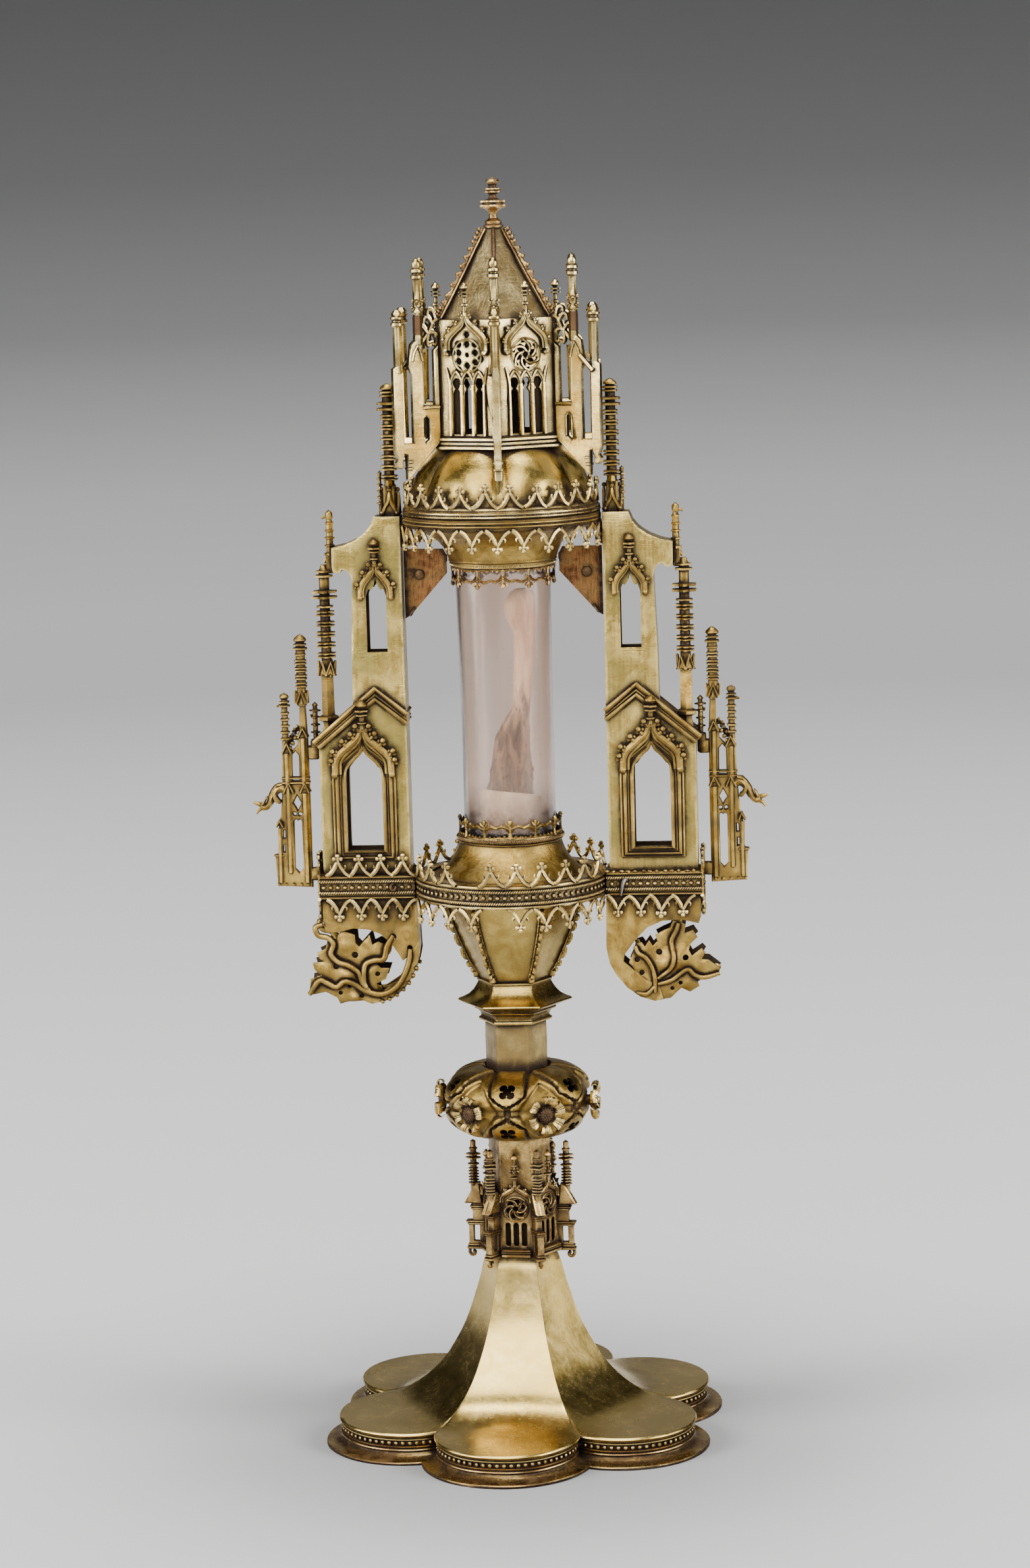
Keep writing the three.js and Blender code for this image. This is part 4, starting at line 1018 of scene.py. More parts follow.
def knop_cut(shell):
    """The shell with a quatrefoil and a pair of trefoils cut through each shield."""
    cutters = [(prism(foils(0, 0, 3.8, 4, 0.46, 45), 5), 27, 25.8, 7.9)]
    cutters += [(prism(foils(x, 0, 2.1, 3, 0.46, 90), 4), 46, 20.9, 11.9) for x in (-2.6, 2.6)]
    for form, lean, r, rise in cutters:
        group = [
            around(put(form, lean=-sign * lean), angle + SHAFT_TURN, r, KNOP_Z + sign * rise)
            for angle in SIXTHS for sign in (1, -1)
        ]
        shell = cut_away(shell, group)
    return shell


# painted shade: a near-black ring inside the knop, seen through its pierced shields
KNOP_SHADE_RING = ((13, -10.6), (18, -9.2), (22.4, -5.4), (24.2, 0), (22.4, 5.4), (18, 9.2), (13, 10.6))
knop_shade_ring = lathe([(r, KNOP_Z + z) for r, z in KNOP_SHADE_RING], 48, ring=True)
finished(
    "knop_chased_shell", [(knop_cut(knop_shell()), 0), (knop_shade_ring, 1)], [gilt_worn, painted_shade_inside],
    ["knop"], crease=48
)


def rosette():
    """A six-petalled flower of ribbon petals rolled over at the ends round a granulated button."""
    forms = []
    across = [-1.0, -0.72, -0.26, -0.17, -0.08, 0.08, 0.17, 0.26, 0.72, 1.0]
    groove = [0, 0, 0, 0.22, 0, 0, 0.22, 0, 0, 0]
    reach = [
        (3.0, 0.0, 1.25), (3.8, 0.9, 1.3), (4.8, 2.0, 1.55), (6.0, 2.9, 2.0), (7.2, 3.0, 2.4), (7.9, 2.2, 2.55),
        (7.8, 1.1, 2.5), (7.0, 0.5, 2.35)
    ]
    for n in range(6):
        rows = []
        for r, h, w in reach:
            tip = 0.12 * w
            upper = [(x * w, r - tip * abs(x) ** 3, h - g) for x, g in zip(across, groove)]
            lower = [(x * w, r - tip * abs(x) ** 3 - 0.25, h - 0.5) for x in reversed(across)]
            rows.append(upper + lower)
        points, faces = lofted(rows)
        points = np.array([(x, -h, r) for x, r, h in points])
        forms.append(put((points, faces), roll=60 * n))
    stalk = put(lathe([(0, 3.4), (1.9, 3.4), (2.3, 0.4), (0, 0.4)], 12), lean=-90)
    forms.append(stalk)
    ring = lathe([(2.2, 0), (3.5, 0), (3.6, 1.2), (3.3, 1.7), (3.0, 1.2), (2.2, 0.8)], 20, ring=True)
    dome = lathe([(0, 0), (3.1, 0), (3.05, 0.9), (2.4, 1.7), (1.2, 2.1), (0, 2.2)], 18)
    grains = [ball(0, 0, 2.25, 0.42, 5, 3)]
    for r, z, count in ((0.95, 2.1, 6), (1.8, 1.8, 11), (2.6, 1.3, 15)):
        for k in range(count):
            a = 2 * pi * k / count + r
            grains.append(ball(r * cos(a), r * sin(a), z, 0.4, 5, 3))
    face = put(joined(ring, dome, *grains), lean=90)
    return joined(*forms), face


petals, button = rosette()
button_places = ring_places(6, 29.9, KNOP_Z - 0.6, 30 + SHAFT_TURN)
petal_places = [
    (where, (0, roll, turns[2]), 1.0) for (where, turns, _), roll in zip(button_places, (7, -6, 12, 4, -9, 0))
]
where, turns, _ = petal_places[5]
petal_places[5] = (where, (6, 14, turns[2] - 6), 0.96)  # the one that was knocked askew
units(
    "knop_rosette_petals", petals, petal_places, gilt_cast, [f"rosette_{n}" for n in range(1, 7)],
    off_true=0.03, crease=50
)
units("knop_rosette_buttons", button, button_places, brown_metal, off_true=0.02)


# ---- Chapel: a small six-sided building round the foot of the stem ----


def turning(z0, core, rings, tip, lobes=4, sides=16):
    """A shaft with notched rings: a ring is (height, radius, thickness, notch)."""
    profile = [(0, z0), (core, z0)]
    for z, r, h, notch in rings:
        profile += [(core, z - h / 2), (r, z - h * 0.28, notch), (r, z + h * 0.28, notch), (core, z + h / 2)]
    profile += tip
    return lathe(profile, sides, lobes=lobes)


def rings_between(z0, z1, count, r0, r1, thick, notch=0.3):
    """Evenly spaced rings for a turning."""
    gaps = count - 1
    return [(z0 + (z1 - z0) * i / gaps, r0 + (r1 - r0) * i / gaps, thick, notch) for i in range(count)]


def doubled(rings, gap, thick):
    """Each ring as a close pair."""
    return [(z + d, r, thick, notch) for z, r, _, notch in rings for d in (-gap, gap)]


def leaf_crocket(size=1.0):
    """A small curled leaf that springs from an edge: stalk, two side lobes and a rolled tip."""
    return put(joined(
        ball(0, 0, 0.55, 0.5, 5, 3, 1.4), ball(-0.55, 0, 1.0, 0.42, 5, 3), ball(0.55, 0, 1.0, 0.42, 5, 3),
        ball(0, -0.25, 1.5, 0.5, 6, 4),
    ), size=size)


def gable(half, z0, z1, finial, width=0.9, count=3, leaf=1.0, y=0.0):
    """A moulded ogee hood with crockets and a ringed finial, facing the front."""
    line = ogee(half, z0, z1, 8)
    forms = [
        wire(
            in_front(line, y), [width * (0.75 + 0.25 * min(1, abs(p[0]) / half * 2)) for p in line], 6,
            flat=1.25
        )
    ]
    inner = [(x * 0.82, z0 + (z - z0) * 0.86) for x, z in line]
    forms.append(wire(in_front(inner, y - width * 0.3), width * 0.45, 5))
    for side in (-1, 1):
        forms.append(ball(side * half * 1.02, y, z0 - width * 0.3, width * 1.25, 7, 5))
        for k in range(count):
            s = (k + 0.6) / (count + 0.35)
            i = int(s * (len(line) // 2))
            x, z = line[i]
            forms.append(put(leaf_crocket(leaf), -side * x, y - width * 0.2, z + width * 0.4, roll=side * 32))
    forms.append(put(finial, y=y, z=z1 - width))
    return joined(*forms)


def whirl_ribs(y, z, start, r, reach, sweep, steps, thick):
    """Six curved ribs of a whirling rose, from near its middle out to its ring."""
    ribs = []
    for angle in SIXTHS:
        a = radians(angle + start)
        arc = [
            ((r + reach * s) * cos(a + sweep * s), y, z + (r + reach * s) * sin(a + sweep * s))
            for s in np.linspace(0, 1, steps)
        ]
        ribs.append(wire(arc, thick, 5))
    return ribs


def chapel_face():
    half, foot_z, head_z, rose_z = 0.95, 78.0, 85.7, 92.4
    lights = []
    for x in (-3.3, 0, 3.3):
        head = [(x + half * cos(a), head_z + half * sin(a)) for a in np.linspace(pi, 0, 7)[1:-1]]
        foot = [(x + half * cos(a), foot_z + half * sin(a)) for a in np.linspace(0, -pi, 7)[1:-1]]
        lights.append(
            [(x - half, foot_z), (x - half, head_z), *head, (x + half, head_z), (x + half, foot_z), *foot]
        )
    rose = [
        circle(2.6 * cos(radians(a) + 0.3) * 1.08, rose_z + 2.6 * sin(radians(a) + 0.3) * 1.08, 1.12, 9)
        for a in SIXTHS
    ]
    rose.append(circle(0, rose_z, 1.1, 8))
    wall = sheet(
        [(-7.4, 72.6), (7.4, 72.6), (7.4, 94.4), (5.6, 96.6), (0, 101.2), (-5.6, 96.6), (-7.4, 94.4)], 1.5,
        lights + rose, 0.25, -13.0
    )
    swirl = whirl_ribs(-13.9, rose_z, 0, 1.3, 3.5, 1.25, 6, 0.38)
    ring = wire([(4.9 * cos(a), -13.9, rose_z + 4.9 * sin(a)) for a in ring_angles(24)], 0.42, 5, True)
    steps = ((6.1, -16.0, 72.8, 74.3, 0.4), (6.1, -15.4, 74.3, 75.0, 0.2), (6.0, -15.7, 75.0, 76.1, 0.4))
    foot = joined(*[block(-w, w, y, -12.5, z0, z1, edge) for w, y, z0, z1, edge in steps])
    finial = turning(
        0, 0.7, [(3.6, 1.7, 0.8, 0), (8.6, 1.3, 0.7, 0)], [(0.6, 10.2), (1.5, 11.4), (1.2, 12.3), (0, 13.8)], 4,
        8
    )
    leaves = [put(leaf_crocket(1.15), 0, 0, 6.1, roll=r) for r in (-90, -45, 45, 90)]
    leaves += [put(leaf_crocket(0.9), 0, 0, 6.1, lean=90)]
    hood = gable(6.3, 95.4, 102.4, joined(finial, *leaves), 0.55, 3, 0.95, -14.3)
    return joined(wall, *swirl, ring, foot, hood)


def chapel_buttress():
    """Two piers with an open slot, stepped offsets, a saddle roof and a ringed pinnacle; r runs along X."""
    forms = [
        sheet(
            [(13.6, 72.4), (21.3, 72.4), (21.3, 84.0), (19.6, 84.0), (19.6, 91.6), (13.6, 91.6)], 2.7,
            [[(16.9, 75.6), (19.2, 75.6), (19.2, 82.2), (16.9, 82.2)]], 0.25
        ),
        block(14, 22.2, -1.9, 1.9, 72.3, 73.5, 0.3), block(14, 21.8, -1.65, 1.65, 73.7, 74.6, 0.25),
        block(14, 22.4, -1.9, 1.9, 83.3, 84.2, 0.25), block(14, 21.8, -1.65, 1.65, 82.3, 83.2, 0.25),
        block(15, 20.6, -1.9, 1.9, 89.6, 90.5, 0.25), block(15, 20.2, -1.6, 1.6, 88.7, 89.5, 0.2)
    ]
    roof = [(15.4, 91.2), (22.8, 91.4), (20.0, 96.4), (18.2, 99.8), (16.4, 99.8)]
    forms.append(sheet(roof, 4.2, (), 0.5))
    forms.append(wire([(22.4, 0, 91.4), (19.8, 0, 96.2), (18.4, 0, 99.4)], 0.5, 5))
    rings = rings_between(99.6, 105.6, 6, 2.3, 2.1, 0.72, 0.2) + [
        (107.4, 2.4, 0.8, 0.1), (110.0, 3.2, 0.95, 0.35), (111.5, 3.1, 0.95, 0.35), (113.8, 1.75, 0.8, 0)
    ]
    forms.append(put(turning(95, 1.35, rings, [(1.1, 114.6), (1.15, 116.8), (0, 117.6)]), 18.9))
    curl = [
        (21.2, 0, 72.2), (21.4, 0, 70.8), (20.6, 0, 69.7), (19.4, 0, 69.9), (19.2, 0, 71.0), (20.1, 0, 71.3)
    ]
    forms.append(wire(smooth_path(curl, 4), [0.75] * 20 + [0.5], 6))
    return put(joined(*forms), turn=-90)


chapel_sides = [
    form
    for angle in SIXTHS
    for form in (
        put(chapel_face(), turn=angle + SHAFT_TURN), put(chapel_buttress(), turn=angle + 30 + SHAFT_TURN)
    )
]
# painted shade: a near-black core inside the chapel, seen through its openings
chapel_shade_core = hex_form([(12.6, 72.6), (13.95, 72.6), (13.95, 98.0), (12.6, 98.0)], 0.4, 1, SHAFT_TURN + 30)
finished(
    "chapel_cast_walls", [(uneven(joined(*chapel_sides), 0.07, 2.2, 2), 0), (chapel_shade_core, 1)],
    [gilt_brown, painted_shade_inside], ["chapel"], crease=42
)


# ---- Collar and bowl ----

COLLAR = [
    (11.5, 167.0), (14.1, 167.0), (14.7, 167.3), (14.9, 167.9), (14.7, 168.4), (14.0, 168.7), (13.8, 169.3),
    (14.1, 170.2), (14.9, 171.1), (16.3, 171.7), (16.6, 172.1), (16.4, 172.5), (17.2, 172.9), (20.0, 174.2),
    (22.6, 175.0), (23.1, 175.5), (22.7, 176.0), (21.0, 176.6), (18.6, 177.8), (16.7, 179.6), (15.5, 181.4),
    (14.7, 182.9), (14.7, 183.2), (15.2, 183.5), (15.2, 184.0), (14.6, 184.3), (11.5, 184.3)
]
collar = hex_form(COLLAR, 0.7, 3, 30)
finished(
    "stem_collar_moulding", [uneven(collar, 0.13, 9.0, 21)], [gilt_satin], ["stem_collar"], crease=30
)

BOWL = [
    (12.6, 184.4), (14.2, 184.4), (15.6, 187.2), (17.6, 191.4), (19.9, 196.2), (22.2, 201.6), (24.2, 207.2),
    (25.7, 212.6), (26.8, 218.3), (25.0, 218.3)
]


def bowl_rib():
    """A scalloped leaf strip up a corner of the bowl, with a row of small knobs on its edge; r runs along X."""
    line = [
        np.array(p)
        for p in smooth_path([(14.4, 186.4), (17.7, 191.6), (22.4, 202.6), (25.0, 210.2), (26.3, 216.0)], 16)
    ]
    outer, knobs, count = [], [], 8
    for i, p in enumerate(line):
        s = i / (len(line) - 1) * count
        bump = abs(sin(pi * s)) ** 0.6
        small = 0.25 * abs(sin(3 * pi * s))
        outer.append((p[0] + 0.7 + 1.35 * bump + small, p[1] - 0.35 - 0.45 * bump))
    for k in range(count):
        p = line[int((k + 0.5) / count * (len(line) - 1))]
        knobs += [
            ball(p[0] + 1.5, 0, p[1] - 0.7, 0.8, 6, 4), ball(p[0] + 0.9, 0.8, p[1] + 0.5, 0.5, 5, 3),
            ball(p[0] + 0.9, -0.8, p[1] + 0.5, 0.5, 5, 3)
        ]
    strip = sheet([(p[0] - 0.6, p[1]) for p in line] + outer[::-1], 1.1, (), 0.3)
    edge = [wire([(p[0] + 0.2, side * 0.75, p[1]) for p in line[::4]], 0.42, 5) for side in (-1, 1)]
    foot = block(13.8, 16.4, -1.1, 1.1, 184.4, 186.9, 0.3)
    return put(joined(strip, *knobs, *edge, foot), turn=-90)


finished("bowl_faces", [uneven(hex_form(BOWL, 0.4, 4, 30), 0.14, 13.0, 4)], [gilt_satin], ["bowl"])
finished(
    "bowl_leaf_strips", [uneven(six_round(bowl_rib(), 30), 0.08, 2.0, 9)], [gilt_worn], [],
    crease=45
)


# ---- Cresting: pointed arches on two legs with a cross of four balls ----


def cresting_unit():
    """One arch of cresting, standing up from z = 0 and facing the front."""
    half, tall = 4.8, 9.3
    legs = []
    for side in (-1, 1):
        leg = smooth_path(
            [
                (side * half, -0.2, 0.2), (side * half * 0.62, -0.3, tall * 0.15),
                (side * half * 0.3, -0.4, tall * 0.38), (side * 0.25, -0.4, tall * 0.62)
            ],
            3
        )
        legs.append(wire(leg, [0.74] * (len(leg) - 1) + [0.64], 5, flat=1.15))
        cusp = [
            (side * half * 0.42, -0.3, tall * 0.3), (side * half * 0.6, -0.3, tall * 0.42),
            (side * half * 0.56, -0.3, tall * 0.5)
        ]
        legs.append(wire(cusp, [0.62, 0.5, 0.36], 4))
    neck = wire([(0, -0.4, tall * 0.58), (0, -0.45, tall * 0.76)], 0.72, 5)
    head = [
        ball(x, -0.5, tall * q, r, 6, 4)
        for x, q, r in ((-1.25, 0.78, 0.95), (1.25, 0.78, 0.95), (0, 0.9, 1.0), (0, 0.78, 0.85))
    ]
    return joined(*legs, neck, *head)


CREST = cresting_unit()
PENDANT = hanging(CREST)


def band_profile(r, z0, z1, back):
    """A wall with a rail along its top and foot and a sunk face between, as a closed profile."""
    return [
        (r - back, z0), (r - 0.9, z0), (r + 0.1, z0 + 0.15), (r + 0.3, z0 + 0.7), (r + 0.05, z0 + 1.25),
        (r - 0.75, z0 + 1.45), (r - 0.75, z1 - 1.45), (r + 0.05, z1 - 1.25), (r + 0.3, z1 - 0.7),
        (r + 0.1, z1 - 0.15), (r - 0.9, z1), (r - back, z1)
    ]


GALLERY_R, GALLERY_Z, GALLERY_TOP = 38.0, 218.2, 227.5

gallery_wall = lathe(band_profile(GALLERY_R, GALLERY_Z, GALLERY_TOP, 6), 144, ring=True)
gallery_floor = lathe([(25.6, 218.8), (33, 218.8), (33, 226.6), (26, 226.9), (25.6, 226.2)], 72, ring=True)
finished(
    "gallery_band", [(uneven(gallery_wall, 0.12, 6.0, 8), 0), (gallery_floor, 1)], [gilt_cast, gilt_worn],
    ["gallery"]
)
rope(
    "gallery_twisted_wires", [(circle_path(GALLERY_R - 0.15, z), True) for z in (220.6, 225.2)], gilt_cast,
)
units(
    "gallery_beading", ball(0, 0, 0, 0.85, 7, 5, 1.1), ring_places(84, GALLERY_R - 0.45, 222.9), gilt_cast,
    off_true=0.06
)
units(
    "gallery_cresting", CREST,
    ring_places(24, GALLERY_R - 0.2, GALLERY_TOP - 0.2, 7.5, skip=(-22.5, 82.5, 97.5, -82.5, -97.5)), gilt_cast,
    ["gallery_crest_front", "gallery_crest_back"], off_true=0.045, seed=3
)
units(
    "gallery_pendants", PENDANT,
    ring_places(24, GALLERY_R - 0.1, GALLERY_Z + 0.3, 9.0, skip=(-6.0, 84, 99, -81, -96)), gilt_cast,
    ["gallery_pendants_front", "gallery_pendants_back"], off_true=0.045, seed=5
)


# ---- Socket below the tube, and the collars of fleurons at both its ends ----

SEAT = [
    (19.4, 226.3), (28.4, 226.3), (28.6, 227.0), (27.6, 228.4), (25.4, 230.6), (23.4, 233.0), (21.8, 235.8),
    (20.8, 238.4), (20.3, 240.2), (20.9, 240.5), (21.0, 240.9), (20.6, 241.2), (20.6, 242.5), (20.2, 242.7),
    (19.2, 242.6), (19.2, 238.0), (19.4, 232.0)
]


def milled_ring(r, z, thick=0.75, count=150):
    return lathe(
        [
            (r - 0.8, z - thick), (r - 0.1, z - thick, 0.012), (r + 0.35, z - thick * 0.4, 0.02),
            (r + 0.35, z + thick * 0.4, 0.02), (r - 0.1, z + thick, 0.012), (r - 0.8, z + thick)
        ],
        count * 3, lobes=count, ring=True,
    )


seat = uneven(lathe(SEAT, 96, ring=True), 0.16, 9.0, 6)
finished(
    "tube_socket_flare",
    [
        (seat, 0), (milled_ring(21.2, 241.9), 1),
        (lathe([(20.2, 242.4), (20.7, 242.6), (20.6, 243.1), (19.9, 243.1)], 72, ring=True), 1)
    ],
    [gilt_worn, gilt_brown], ["tube_seat"]
)


COLLAR_R, COLLAR_BAYS = 19.9, 12


def fleuron_unit():
    """A bay of pierced collar: cusped rail, post and leafy head; it stands from z = 0."""
    half = pi * COLLAR_R / COLLAR_BAYS
    low = smooth_path(
        [(-half, 0, 0.6), (-half * 0.5, 0, 0.35), (0, 0, 0.6), (half * 0.5, 0, 0.35), (half, 0, 0.6)], 4
    )
    high = smooth_path(
        [
            (-half, 0, 4.6), (-half * 0.62, 0, 5.3), (-half * 0.3, 0, 4.7), (0, 0, 4.2), (half * 0.3, 0, 4.7),
            (half * 0.62, 0, 5.3), (half, 0, 4.6)
        ],
        3
    )
    forms = [
        wire(low, 0.66, 5), wire(high, 0.62, 5),
        wire([(0, 0, 0.4), (0, 0, 2.4), (0, 0, 5.8)], [0.9, 0.55, 0.62], 5)
    ]
    for side in (-1, 1):
        forms.append(ball(side * half * 0.42, 0, 1.2, 0.68, 5, 3))
        forms.append(ball(side * half * 0.8, 0, 1.1, 0.6, 5, 3))
        forms.append(wire([(side * 0.4, 0, 3.2), (side * 1.5, -0.1, 4.1)], [0.62, 0.4], 4))
        forms.append(
            wire(
                [(side * 0.2, -0.1, 5.6), (side * 1.1, -0.2, 6.2), (side * 1.5, -0.2, 6.9)], [0.5, 0.62, 0.4], 5
            )
        )
        forms.append(wire([(side * half * 0.62, 0, 5.2), (side * half * 0.5, -0.1, 6.0)], [0.58, 0.35], 4))
    forms.append(ball(0, -0.1, 6.9, 0.92, 6, 4, 1.3))
    return bent(joined(*forms), COLLAR_R)


fleurons = fleuron_unit()
for label, z, flip, nodes in (
    ("lower", 242.7, False, ["seat_fleurons"]), ("upper", 349.6, True, ["neck_fleurons"])
):
    unit = hanging(fleurons) if flip else fleurons
    places = [((0, 0, z), (0, 0, 30 * n + 4), 1.0) for n in range(COLLAR_BAYS)]
    units(
        f"{label}_fleuron_collar", unit, places, copper_gilt if flip else gilt_worn, nodes,
        off_true=0.008, seed=8
    )


# ---- Glass tube, tray and bone ----


TUBE_FOOT, TUBE_HEAD, TUBE_TALL, TUBE_WALL = 238.2, 351.6, 113.4, 1.35


def tube():
    """The blown cylinder: a little wider at the top, and nowhere quite true."""
    rows, inner = [], []
    for z in np.linspace(TUBE_FOOT, TUBE_HEAD, 40):
        s = (z - TUBE_FOOT) / TUBE_TALL
        r = 17.95 + 0.85 * s + 0.14 * sin(9 * s)
        rows.append(
            [
                ((r + 0.1 * sin(2 * a + 3 * s)) * sin(a) + 0.12 * sin(5 * s), -r * cos(a), z)
                for a in ring_angles(96)
            ]
        )
        inner.append([((r - TUBE_WALL) * sin(a), -(r - TUBE_WALL) * cos(a), z) for a in ring_angles(96)])
    return lofted(rows + inner[::-1], ring=True)


finished("glass_cylinder", [tube()], [old_glass], ["glass_tube"], crease=60)


def tray():
    """An open tray of pasteboard, sitting askew."""
    def rim(half_x, half_y, z, tilt):
        out = []
        for i in range(40):
            a = 2 * pi * i / 40
            x = copysign(abs(cos(a)) ** 0.55, cos(a)) * half_x
            y = copysign(abs(sin(a)) ** 0.55, sin(a)) * half_y
            out.append((x + 0.6, y, z - 0.06 * tilt * x - 0.1 * tilt * y))
        return out

    levels = (  # half width, half depth, height, how far it leans
        (11.2, 8.2, 243.2, 0.3), (11.7, 8.3, 246, 0.6), (11.6, 8.2, 252, 1.0), (11.9, 8.4, 257.4, 1.6),
        (12.0, 8.4, 258.6, 1.8), (11.3, 7.7, 258.8, 1.8), (11.1, 7.5, 256.8, 1.6), (10.9, 7.3, 253.6, 1.0),
    )
    return uneven(lofted([rim(*level) for level in levels]), 0.2, 6.0, 4)


finished("relic_paper_tray", [tray()], [pasteboard], ["relic_tray"])

# height, x, half width, half depth
BONE = [
    (254.5, 0.2, 8.8, 5.6), (258.0, 0.1, 9.1, 5.8), (261.5, 0.5, 8.6, 5.6), (268.0, 1.2, 8.0, 5.4),
    (275.0, 1.7, 7.3, 5.2), (281.0, 2.3, 6.5, 5.0), (286.0, 3.2, 5.5, 4.7), (289.5, 4.4, 4.4, 4.3),
    (293.0, 5.6, 3.6, 3.9), (299.0, 6.3, 3.45, 3.8), (307.0, 6.8, 3.6, 3.8), (316.0, 7.3, 3.7, 3.8),
    (322.0, 7.3, 4.0, 4.0), (326.5, 6.6, 5.2, 4.8), (330.5, 6.0, 6.0, 5.5), (334.5, 6.1, 5.9, 5.6),
    (338.0, 6.8, 4.6, 4.4), (339.8, 7.2, 2.6, 2.6)
]


def bone():
    rows = []
    for z, x, w, d in smooth_path(BONE, 7):
        low = max(0.0, min(1.0, (290 - z) / 20))
        row = []
        for i in range(56):
            a = 2 * pi * i / 56
            p = Vector((3.0 * cos(a), 3.0 * sin(a), z * 0.11))
            groove = exp(-(((a - 5.15) / 0.28) ** 2))
            lump = 0.10 * noise.noise(p) + low * 0.16 * noise.noise(p * 2.7) - low * 0.30 * groove
            row.append(
                (x + w * (1 + lump) * cos(a), d * (1 + lump) * sin(a), z + low * 0.8 * noise.noise(p * 2))
            )
        rows.append(row)
    return lofted(rows)


finished("relic_bone", [bone()], [old_bone], ["relic"], crease=60)


# ---- Neck above the tube ----

NECK = [
    (19.3, 349.7), (20.8, 349.7), (20.9, 351.4), (21.4, 351.8), (21.2, 352.4), (21.9, 354.4), (23.2, 357.2),
    (25.6, 359.8), (29.4, 362.2), (33.6, 364.2), (37.4, 365.5), (38.4, 365.7), (38.7, 366.1), (38.4, 366.5),
    (38.5, 366.8), (39.0, 367.1), (39.0, 367.6), (38.6, 367.9), (38.6, 368.2), (39.05, 368.5), (39.05, 369.0),
    (38.7, 369.3), (38.7, 369.6), (38.9, 369.9), (38.6, 370.1), (36.8, 370.1), (36.6, 366.6), (28.6, 363.0),
    (22.5, 358.0), (19.3, 353.0)
]
finished(
    "neck_funnel",
    [
        (uneven(lathe(NECK, 120, ring=True), 0.13, 8.0, 14), 0), (milled_ring(20.8, 350.5, 0.6), 1),
        (milled_ring(38.7, 368.05, 0.22, 260), 1)
    ],
    [gilt_worn, gilt_cast], ["neck"],
)
units(
    "neck_pendants", PENDANT, ring_places(24, 38.3, 366.0, 2.0, size=0.98), gilt_cast,
    ["neck_pendants"], off_true=0.05, seed=11
)


# ---- Lid: rim, dome, lantern, roof ----


def dome_row(r, z, pinch):
    row = []
    for i in range(192):
        a = 2 * pi * i / 192
        q = r * (1 - pinch * (1 - abs(sin(3 * a)) ** 0.55))
        row.append((q * sin(a), -q * cos(a), z))
    return row


LID_RIM = [
    (37.0, 370.5), (38.8, 370.5), (39.05, 370.8), (38.9, 371.2), (38.5, 371.4), (38.5, 371.8), (38.8, 372.0),
    (38.8, 372.5), (38.3, 372.8), (38.0, 373.2), (38.2, 373.6), (37.9, 374.2), (37.2, 374.6), (34.0, 374.6),
    (34.0, 373.0), (37.0, 372.6)
]
DOME = [
    (35.6, 374.3, 0.0), (35.3, 376.0, 0.02), (35.0, 379.0, 0.05), (34.4, 382.0, 0.08), (33.2, 385.4, 0.10),
    (31.2, 388.8, 0.11), (28.6, 391.8, 0.11), (26.0, 394.2, 0.08), (23.6, 395.9, 0.04), (21.0, 395.9, 0.04),
    (24.8, 392.6, 0.08), (29.6, 387.8, 0.1), (32.6, 383.0, 0.08), (33.4, 378.0, 0.05), (33.6, 374.3, 0.0)
]
rim = uneven(lathe(LID_RIM, 120, ring=True), 0.13, 9.0, 17)
dome = uneven(lofted([dome_row(*row) for row in smooth_path(DOME, 2, True)], ring=True), 0.22, 11.0, 23)
finished("lid_rim", [(rim, 0), (milled_ring(38.55, 371.6, 0.2, 260), 0)], [gilt_cast], [], crease=30)
finished("lid_gored_dome", [put(dome, turn=LID_TURN)], [gilt_satin], ["lid_dome"], crease=40)
units(
    "lid_cresting", CREST, ring_places(24, 37.3, 374.2, 10.0), gilt_cast, ["lid_crest"],
    off_true=0.05, seed=13
)


def lancet_light(x, z0, z1, half):
    """A light with a keyhole head."""
    head = [
        (x + half * 1.02 * cos(a), z1 - half * 1.1 + half * 1.05 * sin(a))
        for a in np.linspace(radians(-38), radians(218), 12)
    ]
    return [
        (x - half, z0), (x + half, z0), (x + half, z1 - half * 3.4), (x + half * 0.4, z1 - half * 2.5), *head,
        (x - half * 0.4, z1 - half * 2.5), (x - half, z1 - half * 3.4)
    ]


ROSE_Z = 432.0
ROSE_HOLES = [
    (-6.3, (1.5,)), (-3.7, (4.5, 1.3, -2.0, -5.2)), (0.0, (8.2, 4.5, -3.7, -6.9)),
    (3.7, (4.5, 1.2, -2.4, -5.2)), (6.3, (-1.2,))
]


def rose_of_holes():
    holes = [circle(x, ROSE_Z + z, 1.22, 10) for x, heights in ROSE_HOLES for z in heights]
    return holes + [circle(0, ROSE_Z + 0.4, 0.9, 8)]


def rose_of_whirls():
    holes = [circle(0, ROSE_Z, 1.2, 9)]
    for n in range(6):
        a = radians(60 * n + 8)
        holes.append(circle(3.3 * cos(a), ROSE_Z + 3.3 * sin(a), 1.4, 10))
        b = a + radians(31)
        holes.append(foils(5.15 * cos(b), ROSE_Z + 5.15 * sin(b), 0.85, 2, 0.4, 60 * n + 129, 5))
    return holes


